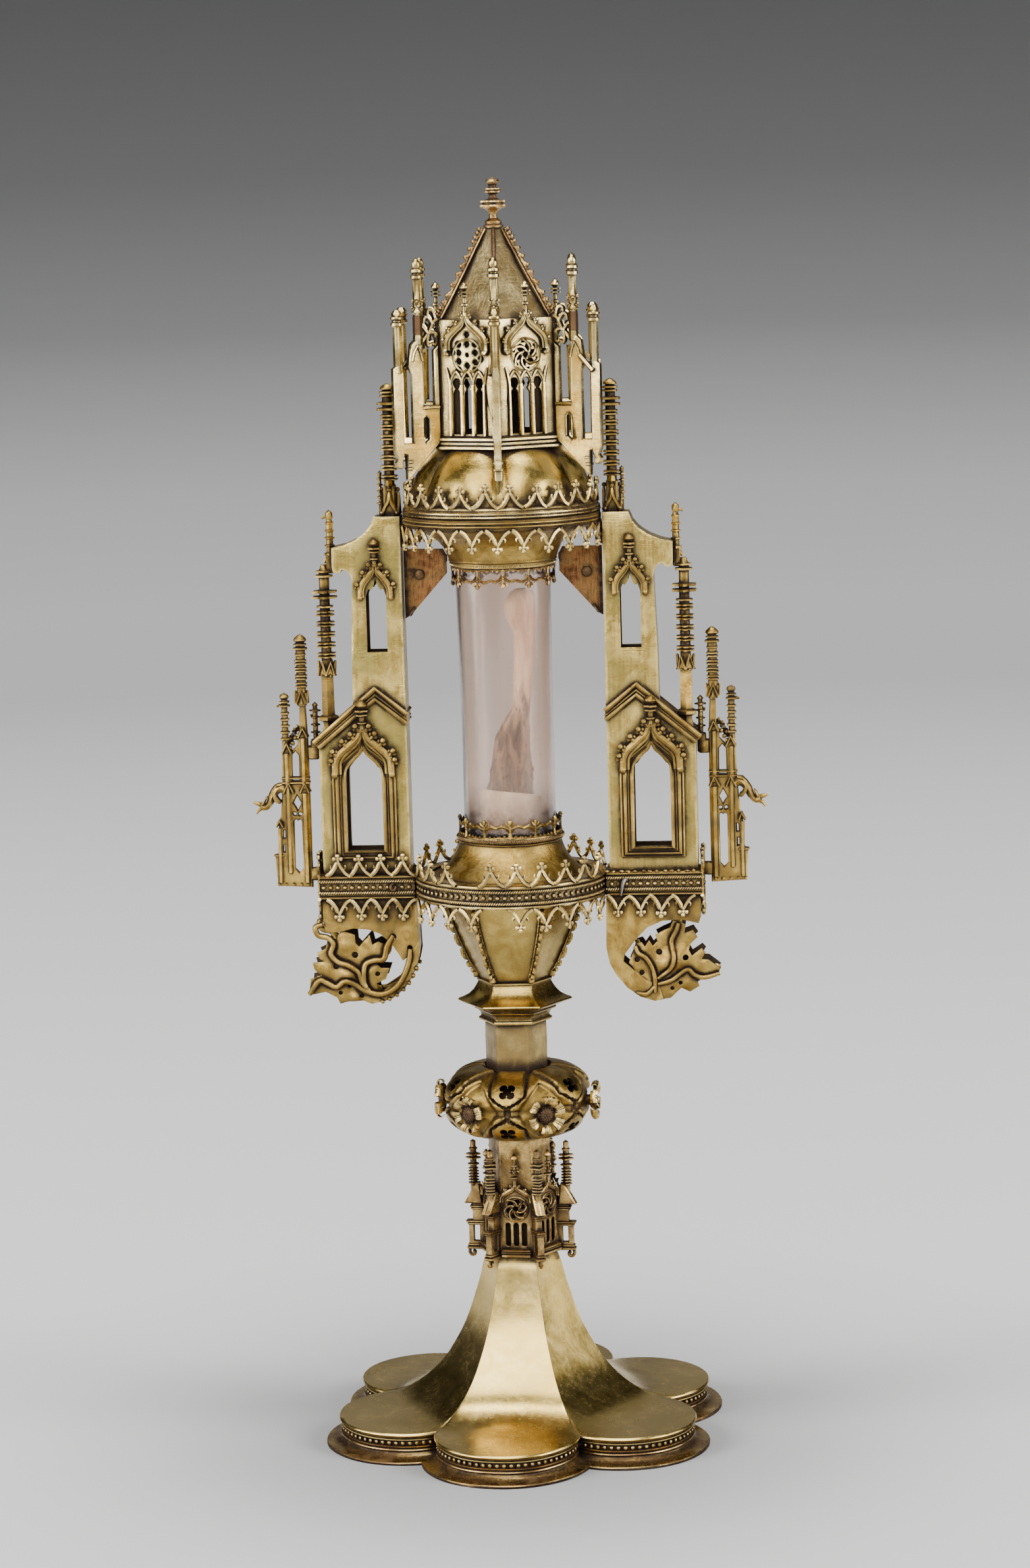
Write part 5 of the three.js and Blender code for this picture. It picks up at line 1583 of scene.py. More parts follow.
def lantern_face(whirl):
    half = 13.1
    lights = [lancet_light(x, 402.0, 423.6, 1.75) for x in (-5.1, 0, 5.1)]
    outline = [(-half, 396.0), (half, 396.0), (half, 446.0), (-half, 446.0)]
    rose = rose_of_whirls() if whirl else rose_of_holes()
    wall = sheet(outline, 0.9, lights + rose, 0.22, -22.1)
    # painted shade: a near-black sheet behind each wall, seen through the openings; it leaves two lights open
    shade_lining = sheet([(x * 0.97, z) for x, z in outline], 0.35, lights[:2] if whirl else lights[1:], 0.05, -21.3)
    forms = []
    y = -22.9
    for x in (-7.65, -2.55, 2.55, 7.65):
        forms.append(wire([(x, y, 401.4), (x, y - 0.1, 412), (x, y, 421.0)], [0.85, 0.7, 0.62], 6))
    for x in (-5.1, 0, 5.1):
        arch = smooth_path(
            [
                (x - 2.55, 420.6), (x - 2.3, 422.8), (x - 1.2, 424.9), (x, 426.0), (x + 1.2, 424.9),
                (x + 2.3, 422.8), (x + 2.55, 420.6)
            ],
            3
        )
        forms.append(wire(in_front([tuple(p) for p in arch], y + 0.1), 0.55, 6))
    for side in (-1, 1):
        forms.append(
            wire([(side * 7.6, y, 421), (side * 8.5, y, 425.4), (side * 9.1, y, 427.4)], [0.6, 0.55, 0.3], 5)
        )
    ring = [(6.3 * cos(a), y + 0.35, ROSE_Z + 6.3 * sin(a)) for a in ring_angles(36)]
    forms.append(wire(ring, 0.45, 5, True))
    if whirl:
        forms += whirl_ribs(y + 0.2, ROSE_Z, 25, 1.5, 4.6, 1.35, 9, 0.45)
    else:
        for x, heights in ROSE_HOLES:
            for z in heights:
                rim = [(x + 1.5 * cos(a), y + 0.45, ROSE_Z + z + 1.5 * sin(a)) for a in ring_angles(14)]
                forms.append(wire(rim, 0.26, 5, True))
    finial = turning(
        0, 0.75, [(4.0, 1.6, 0.8, 0), (7.4, 2.1, 0.75, 0.25), (8.8, 2.1, 0.75, 0.25)],
        [(0.8, 9.4), (1.7, 10.4), (1.5, 11.4), (0, 13.0)], 6, 12
    )
    crown = [put(leaf_crocket(1.15), 0, 0, 0.3, roll=r) for r in (-70, 70)]
    hood = gable(9.0, 434.4, 448.6, joined(finial, *crown), 0.95, 4, 1.35, y - 0.4)
    scrolls = []
    for side in (-1, 1):
        curl = [
            (side * 8.9, y - 0.4, 436.0), (side * 9.4, y - 0.6, 434.2), (side * 8.7, y - 0.8, 432.8),
            (side * 7.9, y - 0.8, 433.4)
        ]
        scrolls.append(wire(smooth_path(curl, 3), 0.85, 6))
    sill = [
        block(-half - 0.6, half + 0.6, -24.4, -21.2, 395.8, 397.6, 0.5),
        block(-half - 0.2, half + 0.2, -23.6, -21.2, 397.6, 399.0, 0.3),
        block(-half - 0.5, half + 0.5, -24.1, -21.2, 399.0, 400.9, 0.55)
    ]
    return joined(wall, *forms, hood, *scrolls, *sill), shade_lining


lantern_walls, lantern_shade_linings = [], []
for n in range(6):
    wall, shade_lining = lantern_face(n % 2 == 0)
    turn = 60 * n + 30 + LID_TURN
    lantern_walls.append(put(wall, turn=turn))
    lantern_shade_linings.append(put(shade_lining, turn=turn))
finished(
    "lantern_pierced_walls",
    [(uneven(joined(*lantern_walls), 0.09, 3.5, 31), 0), (uneven(joined(*lantern_shade_linings), 0.09, 3.5, 31), 1)],
    [gilt_bright, painted_shade_inside], ["lantern"], crease=40,
)


def roof():
    profile = [
        (20.0, 442.6), (25.4, 442.6), (25.0, 444.6), (21.6, 449.2), (16.4, 457.6), (11.2, 466.2), (6.6, 474.4),
        (3.6, 480.4), (2.8, 481.2), (0.05, 481.2), (0.05, 479.0), (9.0, 466.0), (18.0, 448.0)
    ]
    return hex_form(profile, 0.4, 5, LID_TURN)


def roof_strip(front):
    """Up a ridge of the roof: a scalloped copper strip, or on the front a row of beads; r runs along X."""
    line = [
        np.array(p)
        for p in smooth_path([(24.6, 446.6), (21.4, 451.6), (13.8, 464.0), (7.6, 474.4), (4.2, 480.0)], 20)
    ]
    count = 14
    if front:
        beads = []
        for k in range(26):
            p = line[int((k + 0.5) / 26 * (len(line) - 1))]
            beads.append(ball(p[0] + 0.15, 0, p[1] + 0.1, 0.8, 6, 4))
        return put(joined(*beads), turn=-90)
    outer = []
    for i, p in enumerate(line):
        s = i / (len(line) - 1) * count
        bump = abs(sin(pi * s)) ** 0.7
        outer.append((p[0] + 0.7 + 1.25 * bump, p[1] + 0.35 + 0.6 * bump))
    knobs = []
    for k in range(count):
        p = line[int((k + 0.5) / count * (len(line) - 1))]
        knobs.append(ball(p[0] + 1.75, 0, p[1] + 0.85, 0.85, 6, 4))
    strip = sheet([(p[0] - 0.8, p[1] - 0.4) for p in line] + outer[::-1], 1.0, (), 0.3)
    seam = [wire([(p[0] + 0.1, side * 0.75, p[1]) for p in line[::5]], 0.4, 5) for side in (-1, 1)]
    return put(joined(strip, *knobs, *seam), turn=-90)


finished("roof_panels", [uneven(roof(), 0.2, 9.0, 41)], [roof_gilt], ["roof"])
strips = [put(roof_strip(n == 0), turn=60 * n + LID_TURN) for n in range(6)]
ridge_seam = put(
    wire(
        [(22.6, 0, 450.0), (17.0, 0, 458.6), (11.6, 0, 467.6), (7.0, 0, 475.2), (4.4, 0, 479.6)],
        [0.9, 0.8, 0.8, 0.8, 0.7], 6
    ),
    turn=LID_TURN - 90
)
finished(
    "roof_crocket_strips", [(uneven(joined(*strips[1:]), 0.1, 2.2, 42), 0), (joined(strips[0], ridge_seam), 1)],
    [copper_gilt, brown_metal], [], crease=45
)

top = [
    (0, 480.6), (3.9, 480.6), (4.0, 481.4), (3.2, 481.9), (3.3, 483.0), (2.6, 483.5), (1.7, 484.2),
    (1.55, 485.6), (2.2, 487.0), (3.2, 487.8), (5.0, 488.2, 0.05), (5.75, 488.7, 0.22), (5.6, 489.3, 0.22),
    (4.4, 489.5, 0.1), (4.5, 490.0, 0.1), (5.6, 490.3, 0.22), (5.5, 490.9, 0.22), (3.0, 491.3), (1.5, 491.9),
    (1.4, 493.2), (2.2, 493.7), (3.6, 494.0, 0.15), (3.4, 494.6, 0.15), (2.7, 494.8), (3.5, 495.1, 0.15),
    (3.3, 495.7, 0.15), (1.6, 496.1), (1.5, 496.6), (2.2, 497.4), (2.6, 498.2), (2.3, 499.0), (1.0, 499.6),
    (0, 499.95)
]
finished(
    "roof_finial", [(put(lathe(top, 48, lobes=6), turn=LID_TURN), 0)], [copper_gilt],
    ["roof_finial"], crease=34
)


# ---- Lid buttresses: pierced plates with two pinnacles; r runs along X ----


def lid_buttress():
    plate = [
        (26.4, 401.5), (26.9, 398.6), (39.6, 386.0), (41.2, 385.2), (41.3, 394.6), (42.4, 395.0), (43.2, 392.0),
        (42.8, 390.4), (44.0, 389.4), (45.6, 390.0), (46.2, 391.8), (45.2, 393.2), (46.4, 396.5), (46.2, 428.0),
        (42.6, 430.2), (42.4, 426.6), (42.2, 399.2), (38.2, 399.2), (38.0, 425.4), (39.6, 428.6), (38.2, 437.0),
        (35.2, 439.6), (33.6, 436.5), (33.4, 413.4), (28.4, 413.4), (28.3, 434.5), (26.4, 436.0)
    ]
    slot = [[(31.2, 400.2), (33.0, 398.8), (33.6, 400.2), (33.6, 408.2), (32.4, 409.2), (31.2, 408.2)]]
    forms = [sheet(plate, 2.7, slot, 0.4)]
    forms.append(wire([(33.2, 0, 434), (33.4, 0, 424), (33.5, 0, 414)], 1.55, 6, flat=1.0))
    forms.append(
        wire(
            [
                (31.2, -1.5, 400.4), (31.2, -1.5, 408), (32.4, -1.5, 409.2), (33.6, -1.5, 408),
                (33.6, -1.5, 400.4)
            ],
            0.45, 5
        )
    )
    forms.append(block(26.2, 34.4, -1.75, 1.75, 411.6, 413.4, 0.5))
    scroll = [
        [(26.6, 446.6), (28.4, 445.2), (30.0, 441.6), (32.6, 438.4), (34.6, 436.4)],
        [(28.6, 444.6), (30.4, 447.2), (32.0, 446.8), (32.4, 444.8)],
        [(27.4, 446.8), (28.4, 449.6), (30.2, 449.8), (30.6, 448.0)],
        [(30.6, 441.0), (32.8, 443.6), (34.6, 443.0), (34.4, 441.2)],
        [(26.6, 440.2), (28.6, 441.4), (30.8, 440.8), (33.4, 437.6), (34.0, 435.4)],
        [(27.6, 440.6), (26.8, 438.2), (27.6, 436.6), (28.8, 437.2)],
        [(30.6, 440.6), (31.0, 437.6), (30.2, 436.0), (29.2, 437.0)],
    ]
    for path in scroll:
        line = smooth_path([(x, 0, z) for x, z in path], 4)
        forms.append(
            wire(line, [0.95 - 0.3 * i / len(line) for i in range(len(line))], 6, flat=1.5, up=(0, 1, 0))
        )
    for side in (-1, 1):
        forms.append(
            wire(
                [
                    (33.6, side * 1.3, 430.6), (34.4, side * 1.4, 433.6), (35.8, side * 1.4, 436.4),
                    (37.2, side * 1.4, 433.6), (38.0, side * 1.3, 430.6)
                ],
                0.5, 5
            )
        )
    fluted = lathe(
        [
            (0, 426.4), (1.9, 426.4, 0.1), (1.75, 428.5, 0.22), (1.7, 443.6, 0.22), (1.8, 444.0, 0),
            (2.4, 444.4), (2.4, 445.4), (1.8, 445.8), (1.8, 446.4), (2.5, 446.9), (2.5, 447.6), (1.9, 448.0),
            (2.2, 449.0, 0.3), (1.2, 450.2), (0, 450.6)
        ],
        24, lobes=6
    )
    forms.append(put(fluted, 43.6))
    forms.append(wire([(38.0, -1.6, 431.2), (40.8, -1.9, 428.6), (43.8, -1.9, 425.4)], 0.95, 6))
    forms.append(
        put(lathe([(0, 437), (1.9, 437), (2.05, 439.5), (1.75, 441.0), (1.7, 448.2), (0, 448.4)], 6), 34.6)
    )
    cap = turning(
        448, 1.5, [(449.4, 2.1, 1.6, 0.2), (451.6, 2.0, 1.4, 0.3), (453.8, 1.9, 1.2, 0.3)],
        [
            (1.55, 455, 0.25), (1.45, 461.6, 0.25), (2.25, 462.2), (2.25, 463.2), (1.6, 463.6), (1.6, 464.0),
            (2.3, 464.5), (2.25, 465.4), (1.5, 466.0), (1.8, 467.4), (1.2, 469.0), (0, 470.0)
        ],
        6, 24
    )
    forms.append(put(cap, 34.6))
    for k, angle in enumerate(SIXTHS):
        a = radians(angle)
        crocket = leaf_crocket(1.0)
        forms.append(
            put(crocket, 34.6 + 1.4 * cos(a), 1.4 * sin(a), 449.6 + (k % 2) * 2.4, turn=angle + 90, lean=18)
        )
    for z, r in ((392.0, 40.2), (389.4, 40.5)):
        forms.append(block(r - 1.4, r + 1.0, -1.7, 1.7, z - 0.7, z + 0.7, 0.4))
    return put(joined(*forms), turn=-90)


insert = put(lathe([(0, 440.6), (1.95, 440.8), (1.9, 447.8), (0, 448)], 6), 34.6)
inserts = [(put(insert, turn=60 * n + LID_TURN - 90), 1) for n in (1, 2, 4, 5)]
finished(
    "lid_buttresses", [(uneven(six_round(lid_buttress(), LID_TURN), 0.12, 3.0, 51), 0), *inserts],
    [gilt_bright, brown_metal], [f"lid_buttress_{n}" for n in range(1, 7)], crease=42
)


# ---- Wings: made as the right wing, with X outwards, and mirrored for the left ----


WINDOW = (57.0, 7.2, 237.4, 265.5, 279.6)  # middle, half width, foot, spring, apex


def inside(x, z, loop):
    odd = False
    for (xa, za), (xb, zb) in zip(loop, loop[1:] + loop[:1]):
        if (za > z) != (zb > z) and x < (xb - xa) * (z - za) / (zb - za) + xa:
            odd = not odd
    return odd


def shortened(loop, step):
    """The loop with points added so that none of its edges is longer than step."""
    out = []
    for (xa, za), (xb, zb) in zip(loop, loop[1:] + loop[:1]):
        count = max(1, ceil(hypot(xb - xa, zb - za) / step))
        out += [(xa + (xb - xa) * k / count, za + (zb - za) * k / count) for k in range(count)]
    return out


def embossed(outline, thick, holes=(), step=1.6, lift=None, soft=0.2, y=0.0):
    """A sheet in the XZ plane, raised towards the front where lift says so, with a softened edge."""
    loops = [shortened([tuple(p) for p in loop], step) for loop in (outline, *holes)]
    flat, edges = [], []
    for loop in loops:
        start = len(flat)
        flat += loop
        edges += [(start + i, start + (i + 1) % len(loop)) for i in range(len(loop))]
    rim = len(flat)
    low = np.min(loops[0], 0)
    high = np.max(loops[0], 0)
    for j, z in enumerate(np.arange(low[1] + step / 2, high[1], step * 0.87)):
        for x in np.arange(low[0] + step * (0.25 + 0.5 * (j % 2)), high[0], step):
            if inside(x, z, loops[0]) and not any(inside(x, z, h) for h in loops[1:]):
                near = min((x - px) ** 2 + (z - pz) ** 2 for px, pz in flat[:rim])
                if near > (step * 0.45) ** 2:
                    flat.append((x, z))
    spread, _, tris, origins, _, _ = delaunay([Vector(p) for p in flat], edges, [], 0, 1e-5)
    rims = set(i for i, source in enumerate(origins) if any(s < rim for s in source))
    kept = []
    for tri in tris:
        x = sum(spread[i][0] for i in tri) / 3
        z = sum(spread[i][1] for i in tri) / 3
        if inside(x, z, loops[0]) and not any(inside(x, z, h) for h in loops[1:]):
            kept.append(tuple(tri))
    count = len(spread)
    points = []
    for back in (0, 1):
        for i, p in enumerate(spread):
            raised = lift(p[0], p[1]) if lift else 0.0
            inset = soft if i in rims else 0.0
            points.append((p[0], y - raised + (thick - inset * 0.4 if back else inset), p[1]))
    faces = kept + [tuple(i + count for i in reversed(tri)) for tri in kept]
    edges = {pair: True for tri in kept for pair in zip(tri, tri[1:] + tri[:1])}
    faces += [(a, b, b + count, a + count) for a, b in edges if (b, a) not in edges]
    return np.array(points), faces


def beaten(amount, scale, seed=0.0):
    """Shallow waves of beaten sheet."""
    return lambda x, z: amount * noise.noise(Vector((x / scale, z / scale, seed)))


def flat_wire(path, y, radius, **more):
    return wire([(x, y, z) for x, z in path], radius, **more)


def window_loop(x, half, z0, spring, apex, wider=0.0, cusps=False):
    """The outline of a window: square foot, straight sides and an ogee head."""
    half += wider
    head = ogee(half, spring, apex + wider * 1.1, 8)
    if cusps:
        head = [(px * (0.88 if abs(abs(px) - half * 0.8) < half * 0.12 else 1.0), pz) for px, pz in head]
    return [(x + half, z0 - wider * 0.8)] + [(x - px, pz) for px, pz in head] + [(x - half, z0 - wider * 0.8)]


def ringed_finial(base, tall, r):
    """A hood finial: stem, ring, capital of two rings and a faceted bud."""
    return put(
        turning(
            0, r * 0.42,
            [(tall * 0.2, r * 0.8, 0.8, 0), (tall * 0.46, r * 0.95, 0.8, 0.2), (tall * 0.6, r * 1.1, 1.1, 0.3)],
            [(r * 0.55, tall * 0.68), (r * 0.95, tall * 0.78), (r * 0.8, tall * 0.86), (0, tall)], 6, 12
        ),
        z=base
    )


def tower_walls(seed):
    outline = [
        (39.5, 227.4), (74.4, 227.4), (74.6, 240), (74.5, 262), (74.6, 281.6), (60.6, 293.4), (60.4, 300),
        (60.2, 318), (59.6, 334), (59.2, 344.6), (59.9, 347.4), (61.4, 349.1), (63.2, 349.2), (64.0, 347.9),
        (65.2, 347.8), (66.6, 348.4), (67.0, 350.2), (67.0, 357.8), (62.2, 358.8), (57.4, 360.8), (53.8, 363.4),
        (51.4, 366.2), (50.0, 369.7), (39.7, 369.7), (39.7, 330), (39.5, 291)
    ]
    lower = window_loop(*WINDOW, cusps=True)
    upper = [
        (54.05, 316.4), (54.0, 338.6), (53.0, 341.4), (51.9, 341.0), (50.9, 342.4), (50.0, 345.6),
        (49.1, 342.4), (48.1, 341.0), (47.0, 341.4), (45.95, 338.6), (45.95, 316.4)
    ]
    front = embossed(outline, 1.0, [lower, upper], 2.6, beaten(0.5, 13.0, seed), 0.25, -6.3)
    back = embossed(outline, 1.0, [lower, upper], 3.4, beaten(0.3, 13.0, seed + 5), 0.1, 5.3)
    within = [
        [(x + dx * d, z + dz * d) for (x, z), (dx, dz) in zip(outline, inward(outline, 1.0))]
        for d in (1.0, 1.3)
    ]
    skirt = sheet(outline, 11.9, [within[0]], 0.15)
    # painted shade: near-black sheets inside the tower, this one and the panes below, seen through the windows
    shade_lining = sheet(
        [(x + dx * 0.98, z + dz * 0.98) for (x, z), (dx, dz) in zip(outline, inward(outline, 1.0))], 10.4,
        [within[1]], 0.02
    )
    shade_panes = [sheet(within[0], 0.2, [lower[::-1], upper[::-1]], 0.02, y) for y in (-5.1, 5.1)]
    return joined(front, back, skirt), joined(shade_lining, *shade_panes)


def inward(loop, depth):
    """For each point of an anticlockwise loop, the step that takes it inwards by depth."""
    steps = []
    for i, (x, z) in enumerate(loop):
        ax, az = loop[i - 1]
        bx, bz = loop[(i + 1) % len(loop)]
        ux, uz, vx, vz = x - ax, z - az, bx - x, bz - z
        lu, lv = hypot(ux, uz), hypot(vx, vz)
        nx, nz = -uz / lu - vz / lv, ux / lu + vx / lv
        size = hypot(nx, nz) or 1.0
        share = max(0.45, (nx * -uz / lu + nz * ux / lu) / size)
        steps.append((nx / size * depth / share, nz / size * depth / share))
    return steps


def tower_mouldings():
    forms = []
    for wider, r, y in ((0.7, 0.85, -7.0), (2.3, 0.5, -6.9), (3.5, 0.75, -7.1), (4.9, 0.6, -6.9)):
        loop = window_loop(*WINDOW, wider)
        forms.append(facing_pair(flat_wire(loop, y, r, sides=6, closed=True)))
    bed = window_loop(*WINDOW, 5.3)
    hole = window_loop(*WINDOW, 0.2)
    forms.append(facing_pair(sheet(bed, 0.7, [hole[::-1]], 0.2, -6.6)))
    hood = gable(11.2, 268.4, 287.4, ringed_finial(0, 12.0, 2.6), 1.15, 5, 2.05, -8.0)
    forms.append(facing_pair(put(hood, 57.0)))
    small = gable(6.0, 338.2, 352.2, ringed_finial(0, 10.2, 2.3), 0.85, 3, 1.7, -7.3)
    forms.append(facing_pair(put(small, 50.0)))
    apex = (51.5, 302.0)
    for drop, r, y in ((0.0, 1.05, -7.4), (1.9, 0.6, -7.2), (3.3, 0.85, -7.4)):
        path = [
            (76.4 - drop * 0.55, 280.9 - drop * 0.6), (apex[0], apex[1] - drop * 1.25),
            (39.1, 291.7 - drop * 1.1)
        ]
        forms.append(facing_pair(flat_wire(path, y, r, sides=6)))
    slab = [
        (76.6, 280.4), (76.0, 282.0), (51.5, 302.4), (39.1, 292.1), (39.1, 287.8), (51.5, 297.6), (74.2, 278.6),
        (75.2, 279.2)
    ]
    forms.append(sheet(slab, 13.6, (), 0.4))
    return joined(*forms)


def top_pinnacle():
    """A square shaft with gables, small corner pinnacles and a tall stack of crocket rings."""
    forms = [block(41.4, 46.0, -2.9, 2.9, 369.2, 382.0, 0.5)]
    hood = []
    for way in (-1, 1):
        half = smooth_path(
            [(way * 2.8, -3.2, 371.0), (way * 1.7, -3.3, 373.4), (way * 0.5, -3.3, 375.6), (0, -3.2, 379.0)], 3
        )
        hood.append(wire(half, [0.75] * 9 + [0.5], 5))
    hood += [
        ball(x, y, z, r, 6, 4)
        for x, y, z, r in ((0, -3.1, 380.0, 1.0), (-2.9, -3.3, 370.8, 0.9), (2.9, -3.3, 370.8, 0.9))
    ]
    forms += [put(joined(*hood), 43.7, turn=turn) for turn in (0, 90, 180, 270)]
    rings = doubled(rings_between(384.6, 408.2, 7, 4.0, 3.5, 1.1, 0.3), 0.66, 1.0)
    discs = [(411.4, 4.9, 1.4, 0.32), (413.6, 4.8, 1.4, 0.32), (416.6, 3.3, 1.0, 0.1), (418.0, 3.4, 1.0, 0.1)]
    tip = [(1.7, 418.8), (2.7, 419.2), (2.6, 419.9), (1.4, 420.9), (0, 421.5)]
    forms.append(put(turning(380, 2.0, rings + discs, tip, 4, 24), 43.7, turn=45))
    for x, y, z0, z1 in ((47.6, 0, 369.6, 387.4), (43.7, 3.6, 369.6, 385.0), (43.7, -3.9, 381.0, 384.0)):
        tall = z1 - z0
        shaft = turning(
            z0, 0.62, rings_between(z0 + tall * 0.28, z0 + tall * 0.82, 5, 1.45, 1.25, 0.8, 0.25),
            [(0.8, z1 - 1.6), (0.9, z1 - 1.0), (0, z1)], 4, 8
        )
        forms.append(put(shaft, x, y))
    return joined(*forms)


def side_spire():
    """A six-sided shaft with gablets, crocket rings and big notched discs, beside the upper stage."""
    lower = [
        (0, 281.6), (2.9, 281.6), (2.9, 285.6), (2.3, 287.0), (2.5, 288.4), (4.3, 289.2), (4.3, 290.4),
        (2.7, 291.2), (2.6, 307.0), (0, 307.2)
    ]
    forms = [put(lathe(lower, 6), 71.0)]
    for n in range(6):
        gablet = wire([(-1.7, -2.9, 307.0), (0, -3.3, 312.4), (1.7, -2.9, 307.0)], [0.55, 0.7, 0.55], 5)
        fill = sheet([(-1.7, 307.2), (1.7, 307.2), (0, 312.0)], 0.6, (), 0.1, -2.8)
        forms.append(put(joined(gablet, fill, ball(0, -3.4, 307.0, 0.5, 5, 3)), 71.0, turn=60 * n + 30))
    rings = doubled(rings_between(315.0, 331.6, 5, 4.1, 4.0, 1.3, 0.28), 0.65, 1.0)
    rings += [
        (334.3, 3.6, 1.1, 0.1), (338.0, 5.5, 1.45, 0.35), (340.2, 5.4, 1.45, 0.35), (346.4, 3.8, 1.3, 0.15),
        (348.2, 3.5, 1.0, 0.15)
    ]
    forms.append(put(turning(306, 2.05, rings, [(1.5, 349.4), (1.3, 350.8), (0, 351.0)], 6, 24), 71.0))
    flat = turning(
        349.6, 1.35,
        [
            (355.0, 2.3, 1.6, 0.2), (358.4, 2.0, 1.0, 0.2), (361.4, 2.0, 0.9, 0.2), (364.2, 1.8, 0.9, 0.2),
            (367.2, 1.7, 0.9, 0.2)
        ],
        [(1.0, 368.6), (1.5, 369.4), (1.4, 371.4), (0, 372.6)], 4, 8
    )
    prong = wire([(68.2, 0, 369.4), (70.0, 0, 369.7), (71.2, 0, 369.0)], [0.85, 0.7, 0.45], 6)
    low = wire([(68.2, 0, 353.4), (69.8, 0, 353.0), (70.6, 0, 351.6)], [1.0, 0.9, 0.6], 6)
    forms += [put(flat, 68.2), prong, low, block(66.9, 69.9, -1.3, 1.3, 347.4, 355.0, 0.4)]
    spur = turning(
        276.0, 1.0, rings_between(281.2, 290.4, 4, 2.0, 1.8, 1.0, 0.25) + [(293.0, 2.3, 1.0, 0.3)],
        [(0.9, 294.4), (1.3, 295.2), (0, 296.6)], 4, 8
    )
    forms += [
        put(spur, 76.4), wire([(76.6, 0, 291.4), (78.4, 0, 291.0)], [0.7, 0.4], 5),
        block(74.9, 78.6, -1.6, 1.6, 275.4, 281.4, 0.7)
    ]
    return joined(*forms)


def gargoyle():
    """A beast's neck and open-mouthed head, leaning out."""
    neck = smooth_path(
        [
            (89.4, 0, 261.2), (91.6, 0, 262.2), (94.0, 0, 260.0), (95.8, 0, 256.2), (97.6, 0, 254.4),
            (99.4, 0, 254.8)
        ],
        4
    )
    forms = [
        wire(
            neck,
            [
                2.3, 2.4, 2.5, 2.6, 2.6, 2.5, 2.4, 2.3, 2.2, 2.1, 2.0, 1.9, 1.8, 1.7, 1.65, 1.65, 1.7, 1.75,
                1.7, 1.6, 1.4
            ],
            8, flat=0.8
        )
    ]
    forms.append(wire([(99.0, 0, 255.4), (100.8, 0, 255.9), (102.5, 0, 256.4)], [1.2, 0.9, 0.35], 6))
    forms.append(wire([(99.0, 0, 254.0), (100.4, 0, 253.2), (101.4, 0, 251.6)], [1.0, 0.7, 0.3], 6))
    for side in (-1, 1):
        forms.append(
            wire(
                [(98.4, side * 0.9, 255.8), (97.6, side * 1.5, 257.6), (96.8, side * 1.6, 258.6)],
                [0.7, 0.5, 0.2], 5
            )
        )
        forms.append(ball(99.7, side * 0.95, 255.9, 0.45, 5, 3))
        forms.append(
            wire(
                smooth_path(
                    [
                        (92.0, side * 1.6, 262.4), (93.6, side * 2.0, 260.0), (92.8, side * 1.9, 257.4),
                        (91.2, side * 1.5, 256.2)
                    ],
                    3
                ),
                [0.9] * 9 + [0.4], 5
            )
        )
        forms.append(
            wire(
                [(90.4, side * 1.6, 263.6), (92.4, side * 1.9, 263.2), (94.0, side * 1.7, 261.6)],
                [0.6, 0.7, 0.3], 5
            )
        )
    return joined(*forms)


